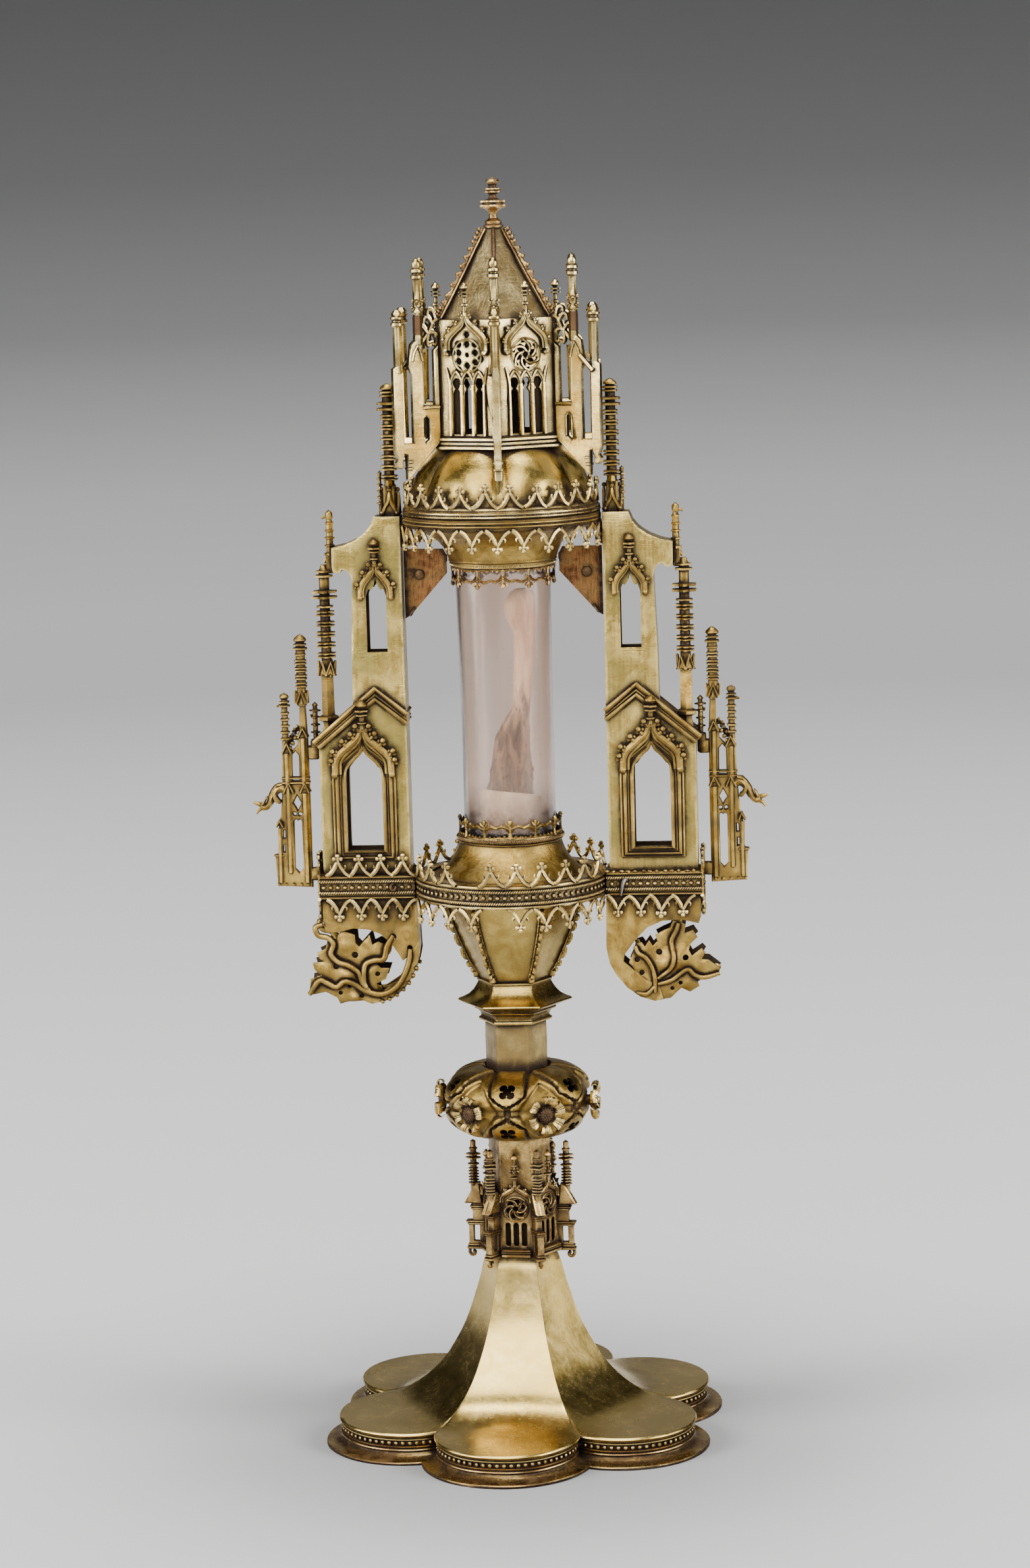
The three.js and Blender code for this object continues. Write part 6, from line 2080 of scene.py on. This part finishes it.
def outer_buttress():
    outline = [
        (79.5, 221.8), (93.6, 222.6), (94.2, 234.6), (92.8, 236.0), (92.4, 247.6), (91.4, 250.2), (90.8, 258.4),
        (90.4, 264.6), (89.9, 278.6), (88.2, 280.4), (86.6, 276.6), (83.6, 279.6), (83.8, 282.6), (82.6, 285.2),
        (82.4, 296.6), (80.2, 296.6), (79.6, 282.0), (79.4, 252.0)
    ]
    holes = [
        [(83.4, 265.0), (86.3, 265.0), (86.2, 275.2), (84.8, 276.9), (83.4, 275.2)],
        [
            (83.2, 229.4), (84.6, 227.9), (86.4, 229.6), (86.2, 248.6), (85.4, 249.4), (84.6, 248.8),
            (83.8, 249.4), (83.1, 248.6)
        ],
        [
            (84.6, 253.2), (85.3, 254.4), (86.3, 256.0), (85.6, 257.2), (84.7, 259.0), (83.8, 257.2),
            (83.1, 256.0), (84.0, 254.4)
        ],
        circle(83.6, 251.6, 0.75, 9), circle(85.8, 251.6, 0.75, 9),
        [(90.2, 236.4), (90.9, 236.4), (90.7, 239.4), (90.2, 239.4)],
        [(90.0, 242.0), (90.7, 242.0), (90.5, 245.0), (90.0, 245.0)]
    ]
    forms = [sheet(outline, 2.9, [h[::-1] for h in holes], 0.45)]
    for x, z0, z1, r in (
        (81.3, 224, 260, 1.3), (88.0, 228, 262, 1.15), (92.0, 224, 246, 1.0), (81.4, 262, 282, 1.25),
        (88.2, 262, 276, 1.15)
    ):
        forms.append(wire([(x, -1.1, z0), (x - 0.1, -1.2, (z0 + z1) / 2), (x, -1.1, z1)], r, 6))
    for x, z, w in (
        (81.4, 260.2, 1.9), (87.9, 260.2, 2.0), (81.5, 282.2, 1.9), (88.1, 276.0, 1.9), (92.0, 246.6, 1.3)
    ):
        forms.append(
            facing_pair(
                wire([(x - w, -1.7, z), (x, -2.1, z + w * 2.1), (x + w, -1.7, z)], [0.55, 0.6, 0.55], 5)
            )
        )
    for z in (264.2, 266.0):
        forms.append(block(79.2, 90.6, -1.9, 1.9, z - 0.5, z + 0.5, 0.3))
    forms.append(block(90.2, 94.8, -1.8, 1.8, 234.4, 235.4, 0.4))
    for k, (x, z) in enumerate(((82.8, 284.6), (84.4, 283.4), (85.6, 281.2), (86.8, 279.4))):
        forms.append(put(leaf_crocket(1.5), x, 0, z, roll=20 - 8 * k))
        forms.append(ball(x, -0.9, z - 1.2, 1.0, 6, 4))
    rings = doubled([(z, 2.75, 0.9, 0.15) for z in (303.4, 306.4, 309.4, 312.4)], 0.6, 0.9)
    first = turning(295, 1.9, rings + [(315.4, 2.5, 0.9, 0.1), (317.8, 3.4, 1.1, 0.2), (319.4, 3.1, 0.9, 0.2)],
                    [(1.7, 320.2), (2.7, 321.0), (2.5, 321.8), (1.2, 323.0), (0, 323.6)], 4, 16)
    forms.append(put(joined(put(first, turn=45), block(-2.2, 2.2, -1.7, 1.7, 295.4, 300.6, 0.5)), 81.5))
    for turn in (0, 90, 180, 270):
        forms.append(
            put(wire([(-1.9, -2.2, 296.0), (0, -2.5, 300.8), (1.9, -2.2, 296.0)], 0.55, 5), 81.5, turn=turn)
        )
    second = turning(
        277, 1.3,
        [
            (z, 2.2, 1.15, 0.2) for z in (281.8, 284.4, 287.0, 289.6, 292.0)
        ] + [(295.0, 2.7, 1.1, 0.25), (296.6, 2.4, 0.9, 0.2)],
        [(1.2, 297.4), (1.9, 298.4), (1.6, 299.4), (0, 300.3)], 4, 16
    )
    forms.append(put(put(second, turn=45), 88.6))
    forms.append(wire([(88.6, 0, 294.6), (90.6, 0, 295.2), (91.8, 0, 294.8)], [0.9, 0.7, 0.4], 5))
    forms.append(gargoyle())
    forms.append(block(75.0, 80.0, -1.7, 1.7, 273.4, 279.0, 0.7))
    forms.append(block(75.6, 80.4, -1.4, 1.4, 224.6, 230.0, 0.7))
    for k in range(5):
        forms.append(ball(81.0 + 3.0 * k, -1.2, 223.2, 0.9, 5, 3))
    return joined(*forms)


def platform_forms():
    core = block(37.9, 75.9, -7.9, 7.9, 218.1, 227.3, 0.15)
    forms = [
        core, block(37.7, 76.5, -8.5, 8.5, 226.2, 227.5, 0.45), block(37.7, 76.5, -8.5, 8.5, 218.0, 219.3, 0.45)
    ]
    for z in (219.75, 225.85):
        forms.append(block(37.7, 76.3, -8.25, 8.25, z - 0.25, z + 0.25, 0.15))
    forms.append(block(75.7, 76.5, -8.5, -7.3, 218.0, 227.5, 0.3))
    forms.append(block(75.7, 76.5, 7.3, 8.5, 218.0, 227.5, 0.3))
    return joined(*forms)


def rail_path(z):
    out, end = 8.15, 76.15
    return [(38.0, -out, z), (end, -out, z), (end, out, z), (38.0, out, z)]


def platform_beads():
    spots = [(x, -8.15, 0) for x in np.linspace(40.2, 74.4, 13)] + [
        (x, 8.15, 180) for x in np.linspace(40.2, 74.4, 13)
    ]
    return spots + [(76.1, y, 90) for y in np.linspace(-5.6, 5.6, 5)]


CREST_X = (42.6, 51.2, 59.8, 68.4)


def crest_spots(side, low):
    lost = side > 0 and not low  # the cresting along the front of the right wing has broken off
    front = [] if lost else [(x, -8.0, 0) for x in CREST_X]
    back = [(x, 8.0, 180) for x in CREST_X]
    end = [(75.9, y, 90) for y in (-4.0, 4.4)]
    return front + back + end


def bracket_right(side_y):
    """One sheet of the right bracket: crescent, and a vine leaf with three stems."""
    crescent = [
        (37.8, 217.8), (37.6, 208), (37.4, 197), (38.6, 190.5), (41.2, 185.6), (45.4, 180.6), (50.6, 176.8),
        (56.4, 175.0), (59.6, 176.0), (58.0, 181.6), (53.0, 183.6), (48.4, 187.4), (44.1, 191.2), (44.5, 193.9),
        (49.0, 199.9), (53.8, 204.8), (59.8, 207.4), (67.6, 207.8), (74.2, 206.2), (75.2, 209.0), (75.2, 217.8)
    ]
    leaf = [
        (54.0, 180.6), (50.2, 184.6), (47.7, 188.9), (46.2, 190.6), (47.9, 194.5), (49.1, 198.2), (51.4, 198.8),
        (52.6, 197.0), (54.4, 199.5), (55.8, 197.2), (57.8, 199.3), (56.8, 201.6), (59.8, 203.2), (62.6, 204.4),
        (64.0, 207.4), (67.6, 206.6), (69.0, 205.6), (68.4, 202.2), (71.8, 203.4), (73.6, 200.6), (70.8, 198.0),
        (70.0, 195.6), (71.2, 193.2), (75.2, 196.0), (76.6, 194.4), (75.0, 191.6), (77.8, 191.4), (82.4, 187.8),
        (81.6, 185.6), (76.8, 184.2), (73.0, 183.8), (74.0, 180.8), (70.2, 178.6), (66.8, 180.2), (62.6, 176.2),
        (57.0, 175.2)
    ]
    stems = [
        [(56.4, 178.6), (56.4, 184.4), (55.2, 189.0), (52.8, 192.8), (50.0, 194.6), (48.8, 197.4)],
        [(57.6, 184.2), (62.4, 188.0), (64.2, 192.8), (63.2, 199.0), (65.2, 203.4), (66.2, 206.4)],
        [(57.6, 182.0), (63.0, 183.6), (69.0, 187.8), (72.0, 185.6), (75.8, 184.4), (82.2, 186.0)],
        [(49.0, 178.6), (53.0, 178.0), (56.2, 181.0)],
    ]
    holes = [
        circle(x, z, r, 9)[::-1]
        for x, z, r in (
            (49.5, 191.9, 1.15), (58.3, 194.9, 1.3), (51.3, 186.6, 1.15), (68.8, 192.8, 1.25),
            (63.2, 180.1, 0.85), (66.5, 182.3, 0.85)
        )
    ]
    return bracket_sheet(
        crescent, leaf, holes, stems,
        [(66.0, 192.2, 7.0, 3.2), (60.4, 190.4, 4.6, 1.6), (69.5, 182.0, 3.0, 0.8)], 0.95, side_y
    )


def bracket_left(side_y):
    """One sheet of the left bracket: a leaf under three round stems, one running on into a long tail."""
    plate = [
        (37.8, 217.8), (37.5, 208), (37.2, 199.9), (39.0, 196.6), (43.8, 192.6), (46.0, 196.2), (48.6, 200.0),
        (52.6, 203.6), (57.0, 205.4), (63.4, 206.0), (69.2, 204.6), (74.4, 204.2), (75.2, 208.0), (75.2, 217.8)
    ]
    tail = [
        (37.2, 200.6), (37.0, 196.0), (38.0, 191.6), (39.2, 188.6), (40.9, 185.0), (43.0, 181.9), (45.5, 179.6),
        (48.4, 177.4), (52.0, 176.2), (54.0, 179.4), (50.2, 181.8), (46.2, 184.4), (42.8, 189.0), (40.4, 195.0)
    ]
    leaf = [
        (52.4, 176.2), (56.7, 175.2), (60.2, 176.5), (66.1, 176.3), (69.6, 175.4), (70.6, 177.8), (75.3, 180.3),
        (82.1, 178.8), (81.2, 185.6), (76.6, 186.7), (79.6, 189.4), (80.2, 192.0), (75.2, 192.6), (77.2, 193.7),
        (78.3, 196.1), (74.8, 197.8), (73.6, 202.4), (70.2, 201.6), (68.6, 205.2), (62.9, 203.3), (62.7, 199.9),
        (61.3, 198.5), (57.0, 203.2), (56.0, 199.2), (53.6, 200.4), (50.8, 199.2), (50.6, 195.4), (54.8, 191.6),
        (52.8, 189.8), (49.4, 189.6), (51.0, 185.2), (54.7, 183.5), (54.0, 179.8)
    ]
    stems = [
        [
            (75.4, 207.8), (78.4, 206.6), (77.4, 203.4), (73.6, 202.4), (71.4, 199.8), (72.6, 195.8),
            (69.6, 192.4), (65.4, 191.0), (61.8, 188.2), (60.2, 183.6), (57.6, 180.8)
        ],
        [
            (47.4, 203.0), (50.0, 198.6), (51.4, 193.6), (55.4, 193.0), (59.0, 191.2), (59.8, 185.4),
            (58.8, 182.0)
        ],
        [
            (40.8, 197.4), (41.4, 192.4), (44.2, 185.4), (48.2, 181.0), (53.4, 179.2), (59.4, 180.8),
            (63.2, 183.4), (67.2, 184.8), (70.8, 182.4), (74.4, 184.0), (77.8, 185.0), (81.8, 179.4)
        ]
    ]
    spots = (
        (63.0, 195.2, 1.35), (70.8, 190.6, 1.25), (54.2, 187.4, 1.05), (69.3, 179.9, 0.9), (65.6, 182.6, 0.85),
        (60.7, 178.6, 0.9)
    )
    holes = [circle(x, z, r, 9)[::-1] for x, z, r in spots]
    made, shade_sheets = bracket_sheet(
        plate, leaf, holes, stems,
        [(66.0, 187.2, 4.4, 2.4), (63.2, 178.2, 2.6, 1.6), (67.0, 198.6, 4.0, 1.0), (55.8, 188.0, 3.0, 0.8)],
        1.15, side_y, [circle(47.4, 202.4, 1.3, 10)[::-1], circle(40.9, 197.9, 1.2, 10)[::-1]]
    )
    knobs = [
        ball(x, side_y * 6.6, z, 0.95, 6, 4)
        for x, z in (
            (38.4, 189.6), (39.8, 186.6), (41.6, 183.6), (43.9, 181.0), (46.6, 178.8), (49.6, 177.2),
            (52.4, 176.2)
        )
    ]
    band = embossed(
        tail, 0.9, [circle(47.6, 180.6, 0.8, 8)[::-1], circle(52.0, 178.4, 0.6, 8)[::-1]], 1.8,
        beaten(0.4, 4.0, 2.0), 0.25, -6.8
    )
    if side_y > 0:
        band = facing_back(band)
    return joined(made, band, *knobs), shade_sheets


def bracket_sheet(plate, leaf, leaf_holes, stems, bosses, stem_r, side_y, plate_holes=()):
    def lift(x, z):
        raised = sum(h * exp(-(((x - bx) ** 2 + (z - bz) ** 2) / (r * 0.62) ** 2)) for bx, bz, r, h in bosses)
        return raised + 0.45 * noise.noise(Vector((x / 4.5, z / 4.5, 3.0)))

    def groove(x, z):
        near = min((x - px) ** 2 + (z - pz) ** 2 for px, pz in close)
        return lift(x, z) - 0.8 * exp(-near / (stem_r * 1.3) ** 2)

    lines = [smooth_path(stem, 5) for stem in stems]
    close = [tuple(p) for line in lines for p in line[::2]]
    forms = [
        embossed(plate, 0.9, plate_holes, 2.2, beaten(0.6, 9.0, 4.0), 0.25, -6.8),
        embossed(leaf, 0.8, leaf_holes, 1.15, groove, 0.3, -6.5),
    ]
    for line in lines:
        n = len(line)
        path = [(p[0], -6.5 - max(0.0, lift(*p)) - 0.25, p[1]) for p in line]
        forms.append(wire(path, [stem_r * (0.8 + 0.25 * min(1, i / 4, (n - 1 - i) / 4)) for i in range(n)], 8))
    # painted shade: near-black sheets behind the leafwork, seen through its openings
    shade_sheets = [sheet(plate, 0.25, plate_holes, 0.02, -5.75), sheet(leaf, 0.25, (), 0.02, -5.55)]
    made, shade_sheets = joined(*forms), joined(*shade_sheets)
    return (made, shade_sheets) if side_y < 0 else (facing_back(made), facing_back(shade_sheets))


def bracket_edge(path):
    """The strip that joins the two sheets of a bracket along its inner edge."""
    line = smooth_path(path, 4)
    rows = []
    for i, p in enumerate(line):
        a, b = line[max(0, i - 1)], line[min(len(line) - 1, i + 1)]
        t = (b - a) / np.linalg.norm(b - a)
        n = np.array([-t[1], t[0]])
        rows.append(
            [
                (p[0], -6.2, p[1]), (p[0], 6.2, p[1]), (p[0] + n[0] * 0.8, 6.2, p[1] + n[1] * 0.8),
                (p[0] + n[0] * 0.8, -6.2, p[1] + n[1] * 0.8)
            ]
        )
    return uneven(lofted(rows), 0.2, 5.0, 6)


EDGE = [
    (37.9, 217.6), (37.7, 208), (37.5, 197.6), (38.7, 191.0), (41.3, 186.0), (45.5, 181.0), (50.8, 177.0),
    (56.4, 175.4)
]


def gusset():
    plate = [(22.2, 346.6), (36.6, 330.4), (39.1, 328.8), (39.1, 356.3), (23.5, 356.2), (22.2, 353.8)]
    sheet_ = embossed(plate, 1.0, (), 2.0, beaten(0.45, 6.0, 9.0), 0.15, -0.5)
    rivet = facing_pair(
        put(lathe([(0, 0), (1.9, 0), (1.8, 0.5), (1.0, 0.9), (0, 1.0)], 14), 33, -0.4, 346.2, lean=90)
    )
    loop = wire(
        smooth_path(
            [
                (35.4, -0.6, 333.2), (36.4, -1.8, 331.6), (37.4, -1.4, 330.4), (37.0, 0.8, 330.0),
                (36.2, 1.4, 331.6), (36.8, 0.4, 333.4)
            ],
            4
        ),
        0.42, 5
    )
    tab = block(21.9, 23.6, -0.7, 0.7, 351.0, 354.0, 0.3)
    return joined(sheet_, tab), joined(rivet, loop)


def sided(form, side):
    return form if side > 0 else mirrored(form)


for side, label in ((1, "right"), (-1, "left")):
    finished(
        f"platform_box_{label}", [uneven(sided(platform_forms(), side), 0.1, 5.0, side)], [gilt_worn],
        [f"platform_{label}"]
    )
    rope(
        f"platform_twisted_wires_{label}",
        [([(side * x, y, z) for x, y, z in rail_path(z)], False) for z in (220.6, 225.1)], gilt_cast,
    )
    units(
        f"platform_beading_{label}", ball(0, 0, 0, 0.85, 7, 5),
        [((side * x, y, 222.8), (0, 0, side * a), 1.0) for x, y, a in platform_beads()], gilt_cast,
        off_true=0.07, seed=side + 3
    )
    for low, unit, z, part in ((False, CREST, 227.2, "crest"), (True, PENDANT, 218.3, "pendants")):
        places = [((side * x, y, z), (0, 0, side * a), 0.98) for x, y, a in crest_spots(side, low)]
        units(
            f"platform_{part}_cast_{label}", unit, places, gilt_cast, [f"platform_{part}_{label}"],
            off_true=0.05, seed=side + 7
        )
    walls, tower_shade_sheets = tower_walls(1.0 if side > 0 else 8.0)
    finished(
        f"tower_box_{label}", [(sided(walls, side), 0), (sided(tower_shade_sheets, side), 1)], [gilt_brushed, painted_shade_inside],
        [f"tower_{label}"]
    )
    finished(
        f"tower_mouldings_{label}", [uneven(sided(tower_mouldings(), side), 0.12, 2.6, side + 5)], [gilt_worn],
        [], crease=42
    )
    for made, piece, node, dent, scale, seed in (
        (top_pinnacle(), "tower_crown_pinnacle", "tower_pinnacle", 0.12, 2.2, 6),
        (side_spire(), "tower_side_spire", "tower_spire", 0.12, 2.2, 7),
        (outer_buttress(), "outer_pierced_buttress", "outer_buttress", 0.2, 2.6, 8),
    ):
        form = uneven(sided(made, side), dent, scale, side + seed)
        finished(f"{piece}_{label}", [form], [gilt_worn], [f"{node}_{label}"], crease=42)
    leafage = bracket_right if side > 0 else bracket_left
    front, back = leafage(-1), leafage(1)
    leaves = [
        (sided(joined(front[0], back[0], bracket_edge(EDGE)), side), 0),
        (sided(joined(front[1], back[1]), side), 1)
    ]
    finished(
        f"bracket_leafwork_{label}", leaves, [gilt_worn, painted_shade_inside], [f"bracket_{label}"], crease=50
    )
    plate, pins = gusset()
    finished(
        f"gusset_plate_{label}", [(sided(plate, side), 0), (sided(pins, side), 1)], [copper_sheet, brown_metal],
        [f"gusset_{label}"]
    )

stubs = [
    put(ball(0, 0, 0, 0.8, 5, 4, 0.8), x + d, -8.0, 227.6) for x in CREST_X for d in (-4.2, -1.6, 1.8, 4.0)
]
finished("platform_broken_stubs", [uneven(joined(*stubs), 0.35, 1.2, 3)], [gilt_worn], [])
hook = wire(
    smooth_path(
        [
            (-46.4, -8.4, 224.2), (-47.4, -9.6, 223.6), (-47.2, -10.0, 222.2), (-46.0, -9.8, 221.8),
            (-45.4, -9.2, 223.0)
        ],
        4
    ),
    0.55, 6
)
finished("small_hook", [hook], [brown_metal], [])
pin = wire(
    smooth_path([(46.0, -8.2, 224.6), (45.2, -9.6, 224.2), (44.4, -9.9, 221.6), (43.9, -9.4, 218.2)], 4),
    [0.75, 0.75, 0.75, 0.75, 0.72, 0.7, 0.68, 0.66, 0.62, 0.58, 0.52, 0.42, 0.3], 6
)
finished("bent_wire_pin", [pin], [iron], [])


# ---- Studio ----


FLOOR_SIDES = 96
# distance up the paper in metres, tone; the low tones round the foot are a painted shadow, and the tones that
# fall up the wall are painted shade
PAPER_TONES = [
    (0.0, 0.27), (0.09, 0.28), (0.13, 0.35), (0.18, 0.43), (0.28, 0.49), (1.0, 0.52), (1.6, 0.6), (2.9, 0.7),
    (3.5, 0.6), (4.3, 0.3), (5.05, 0.19), (5.9, 0.14), (6.6, 0.25), (7.4, 0.5), (10.0, 0.5)
]


def studio():
    """A pale floor that curves up into a wall painted darker, all round, with a painted shadow round the foot,
    painted shade at the sides and painted light on the floor in front.
    """
    profile = [(0.0, 0.0), (0.4, 0.0), (0.9, 0.0), (1.6, 0.0), (2.4, 0.0)]
    profile += [(2.4 + 2.2 * sin(t), 2.2 - 2.2 * cos(t)) for t in np.linspace(0.12, pi / 2, 14)]
    profile += [(4.6, 3.4), (4.6, 5.0)]
    points, faces = [(0, 0, 0)], []
    for r, z in profile[1:]:
        points += [(r * cos(a), r * sin(a), z) for a in ring_angles(FLOOR_SIDES)]
    for i in range(FLOOR_SIDES):
        faces.append((0, 1 + i, 1 + (i + 1) % FLOOR_SIDES))
        for j in range(len(profile) - 2):
            a, b = 1 + FLOOR_SIDES * j, 1 + FLOOR_SIDES * (j + 1)
            k = (i + 1) % FLOOR_SIDES
            faces.append((a + i, b + i, b + k, a + k))
    mesh = bpy.data.meshes.new("studio_floor")
    mesh.from_pydata(points, [], faces)
    mesh.shade_smooth()
    floor = linked("studio_floor", mesh)
    finish, tree, shader = new_finish("floor_paper")
    spot = tree.nodes.new("ShaderNodeTexCoord").outputs["Object"]
    apart = tree_node(tree, "ShaderNodeSeparateXYZ", {0: spot})
    reach = tree_node(tree, "ShaderNodeVectorMath", {0: spot}, operation="LENGTH").outputs["Value"]
    climb = maths(tree, "MULTIPLY_ADD", apart.outputs["Z"], 2.2, reach)
    shade = tree.nodes.new("ShaderNodeValToRGB")
    tree.links.new(maths(tree, "DIVIDE", climb, 10.0), shade.inputs[0])
    bar = shade.color_ramp
    while len(bar.elements) < len(PAPER_TONES):
        bar.elements.new(0.5)
    for element, (at, value) in zip(bar.elements, PAPER_TONES):
        element.position = at / 10
        element.color = (value, value, value, 1)
    # painted shade: the paper near black off to the left and right, level with and behind the object
    painted_dark_sides = between(tree, maths(tree, "ABSOLUTE", apart.outputs["X"]), 0.95, 1.9)
    painted_dark_sides = maths(tree, "MULTIPLY", painted_dark_sides, between(tree, apart.outputs["Y"], -0.9, 0.2))
    # painted light: the floor in front of the object made lighter
    near = between(tree, apart.outputs["Y"], -0.28, -0.8)
    paper = mixed(tree, near, shade.outputs[0], (0.92, 0.92, 0.92))
    tree.links.new(mixed(tree, painted_dark_sides, paper, (0.03, 0.03, 0.03)), shader.inputs["Base Color"])
    shader.inputs["Roughness"].default_value = 0.9
    shader.inputs["Specular IOR Level"].default_value = 0.1
    mesh.materials.append(finish)


def soft_light(name, where, aim, wide, tall, power, on_floor=True, on_metal=True):
    lamp = bpy.data.lights.new(name, "AREA")
    lamp.shape, lamp.size, lamp.size_y, lamp.energy = "RECTANGLE", wide, tall, power
    holder = linked(name, lamp)
    holder.location = where
    holder.rotation_euler = (Vector(aim) - Vector(where)).to_track_quat("-Z", "Y").to_euler()
    holder.visible_diffuse, holder.visible_glossy = on_floor, on_metal


studio()
middle = (0, 0, 0.2)
soft_light("key_softbox", (-0.25, -2.1, 2.1), middle, 2.6, 2.8, 130, on_floor=False)
soft_light("top_softbox", (0.1, 0.2, 2.7), middle, 1.5, 1.2, 78)
soft_light("left_softbox", (-2.0, -0.7, 1.35), middle, 1.0, 1.0, 95, on_metal=False)
soft_light("right_softbox", (2.0, -0.5, 1.35), middle, 1.0, 1.0, 84, on_metal=False)
soft_light("right_fill", (2.4, -0.3, 0.75), (0, 0, 0.25), 1.8, 1.5, 30, on_floor=False)
soft_light("left_fill", (-2.4, -0.7, 0.7), (0, 0, 0.2), 1.6, 1.5, 32, on_floor=False)
soft_light("right_card", (2.1, -1.0, 0.9), (0, 0, 0.35), 0.9, 1.3, 34, on_floor=False)
soft_light("left_card", (-1.8, -1.5, 0.9), (0, 0, 0.35), 0.9, 1.3, 34, on_floor=False)
world = bpy.data.worlds.new("room")
world.use_nodes = True
world.node_tree.nodes["Background"].inputs["Color"].default_value = (0.6, 0.6, 0.6, 1)
world.node_tree.nodes["Background"].inputs["Strength"].default_value = 0.24
bpy.context.scene.world = world

CAMERA_TURN, CAMERA_REACH, CAMERA_HEIGHT = 4.5, 1.500, 0.490
CAMERA_PITCH, CAMERA_ROLL, CAMERA_PAN = 8.64, 1.6, 0.09
LENS_LENGTH, SENSOR = 87.8672268907563, 36.0  # millimetres
lens = bpy.data.cameras.new("view")
lens.sensor_fit, lens.sensor_height, lens.sensor_width = "VERTICAL", SENSOR, SENSOR
lens.lens = LENS_LENGTH
lens.clip_start, lens.clip_end = 0.05, 50
camera = linked("view", lens)
turn = radians(CAMERA_TURN)
camera.matrix_world = (
    Matrix.Translation((CAMERA_REACH * sin(turn), -CAMERA_REACH * cos(turn), CAMERA_HEIGHT))
    @ Matrix.Rotation(turn - radians(CAMERA_PAN), 4, "Z")
    @ Matrix.Rotation(radians(90 - CAMERA_PITCH), 4, "X")
    @ Matrix.Rotation(radians(-CAMERA_ROLL), 4, "Z")
)
bpy.context.scene.camera = camera
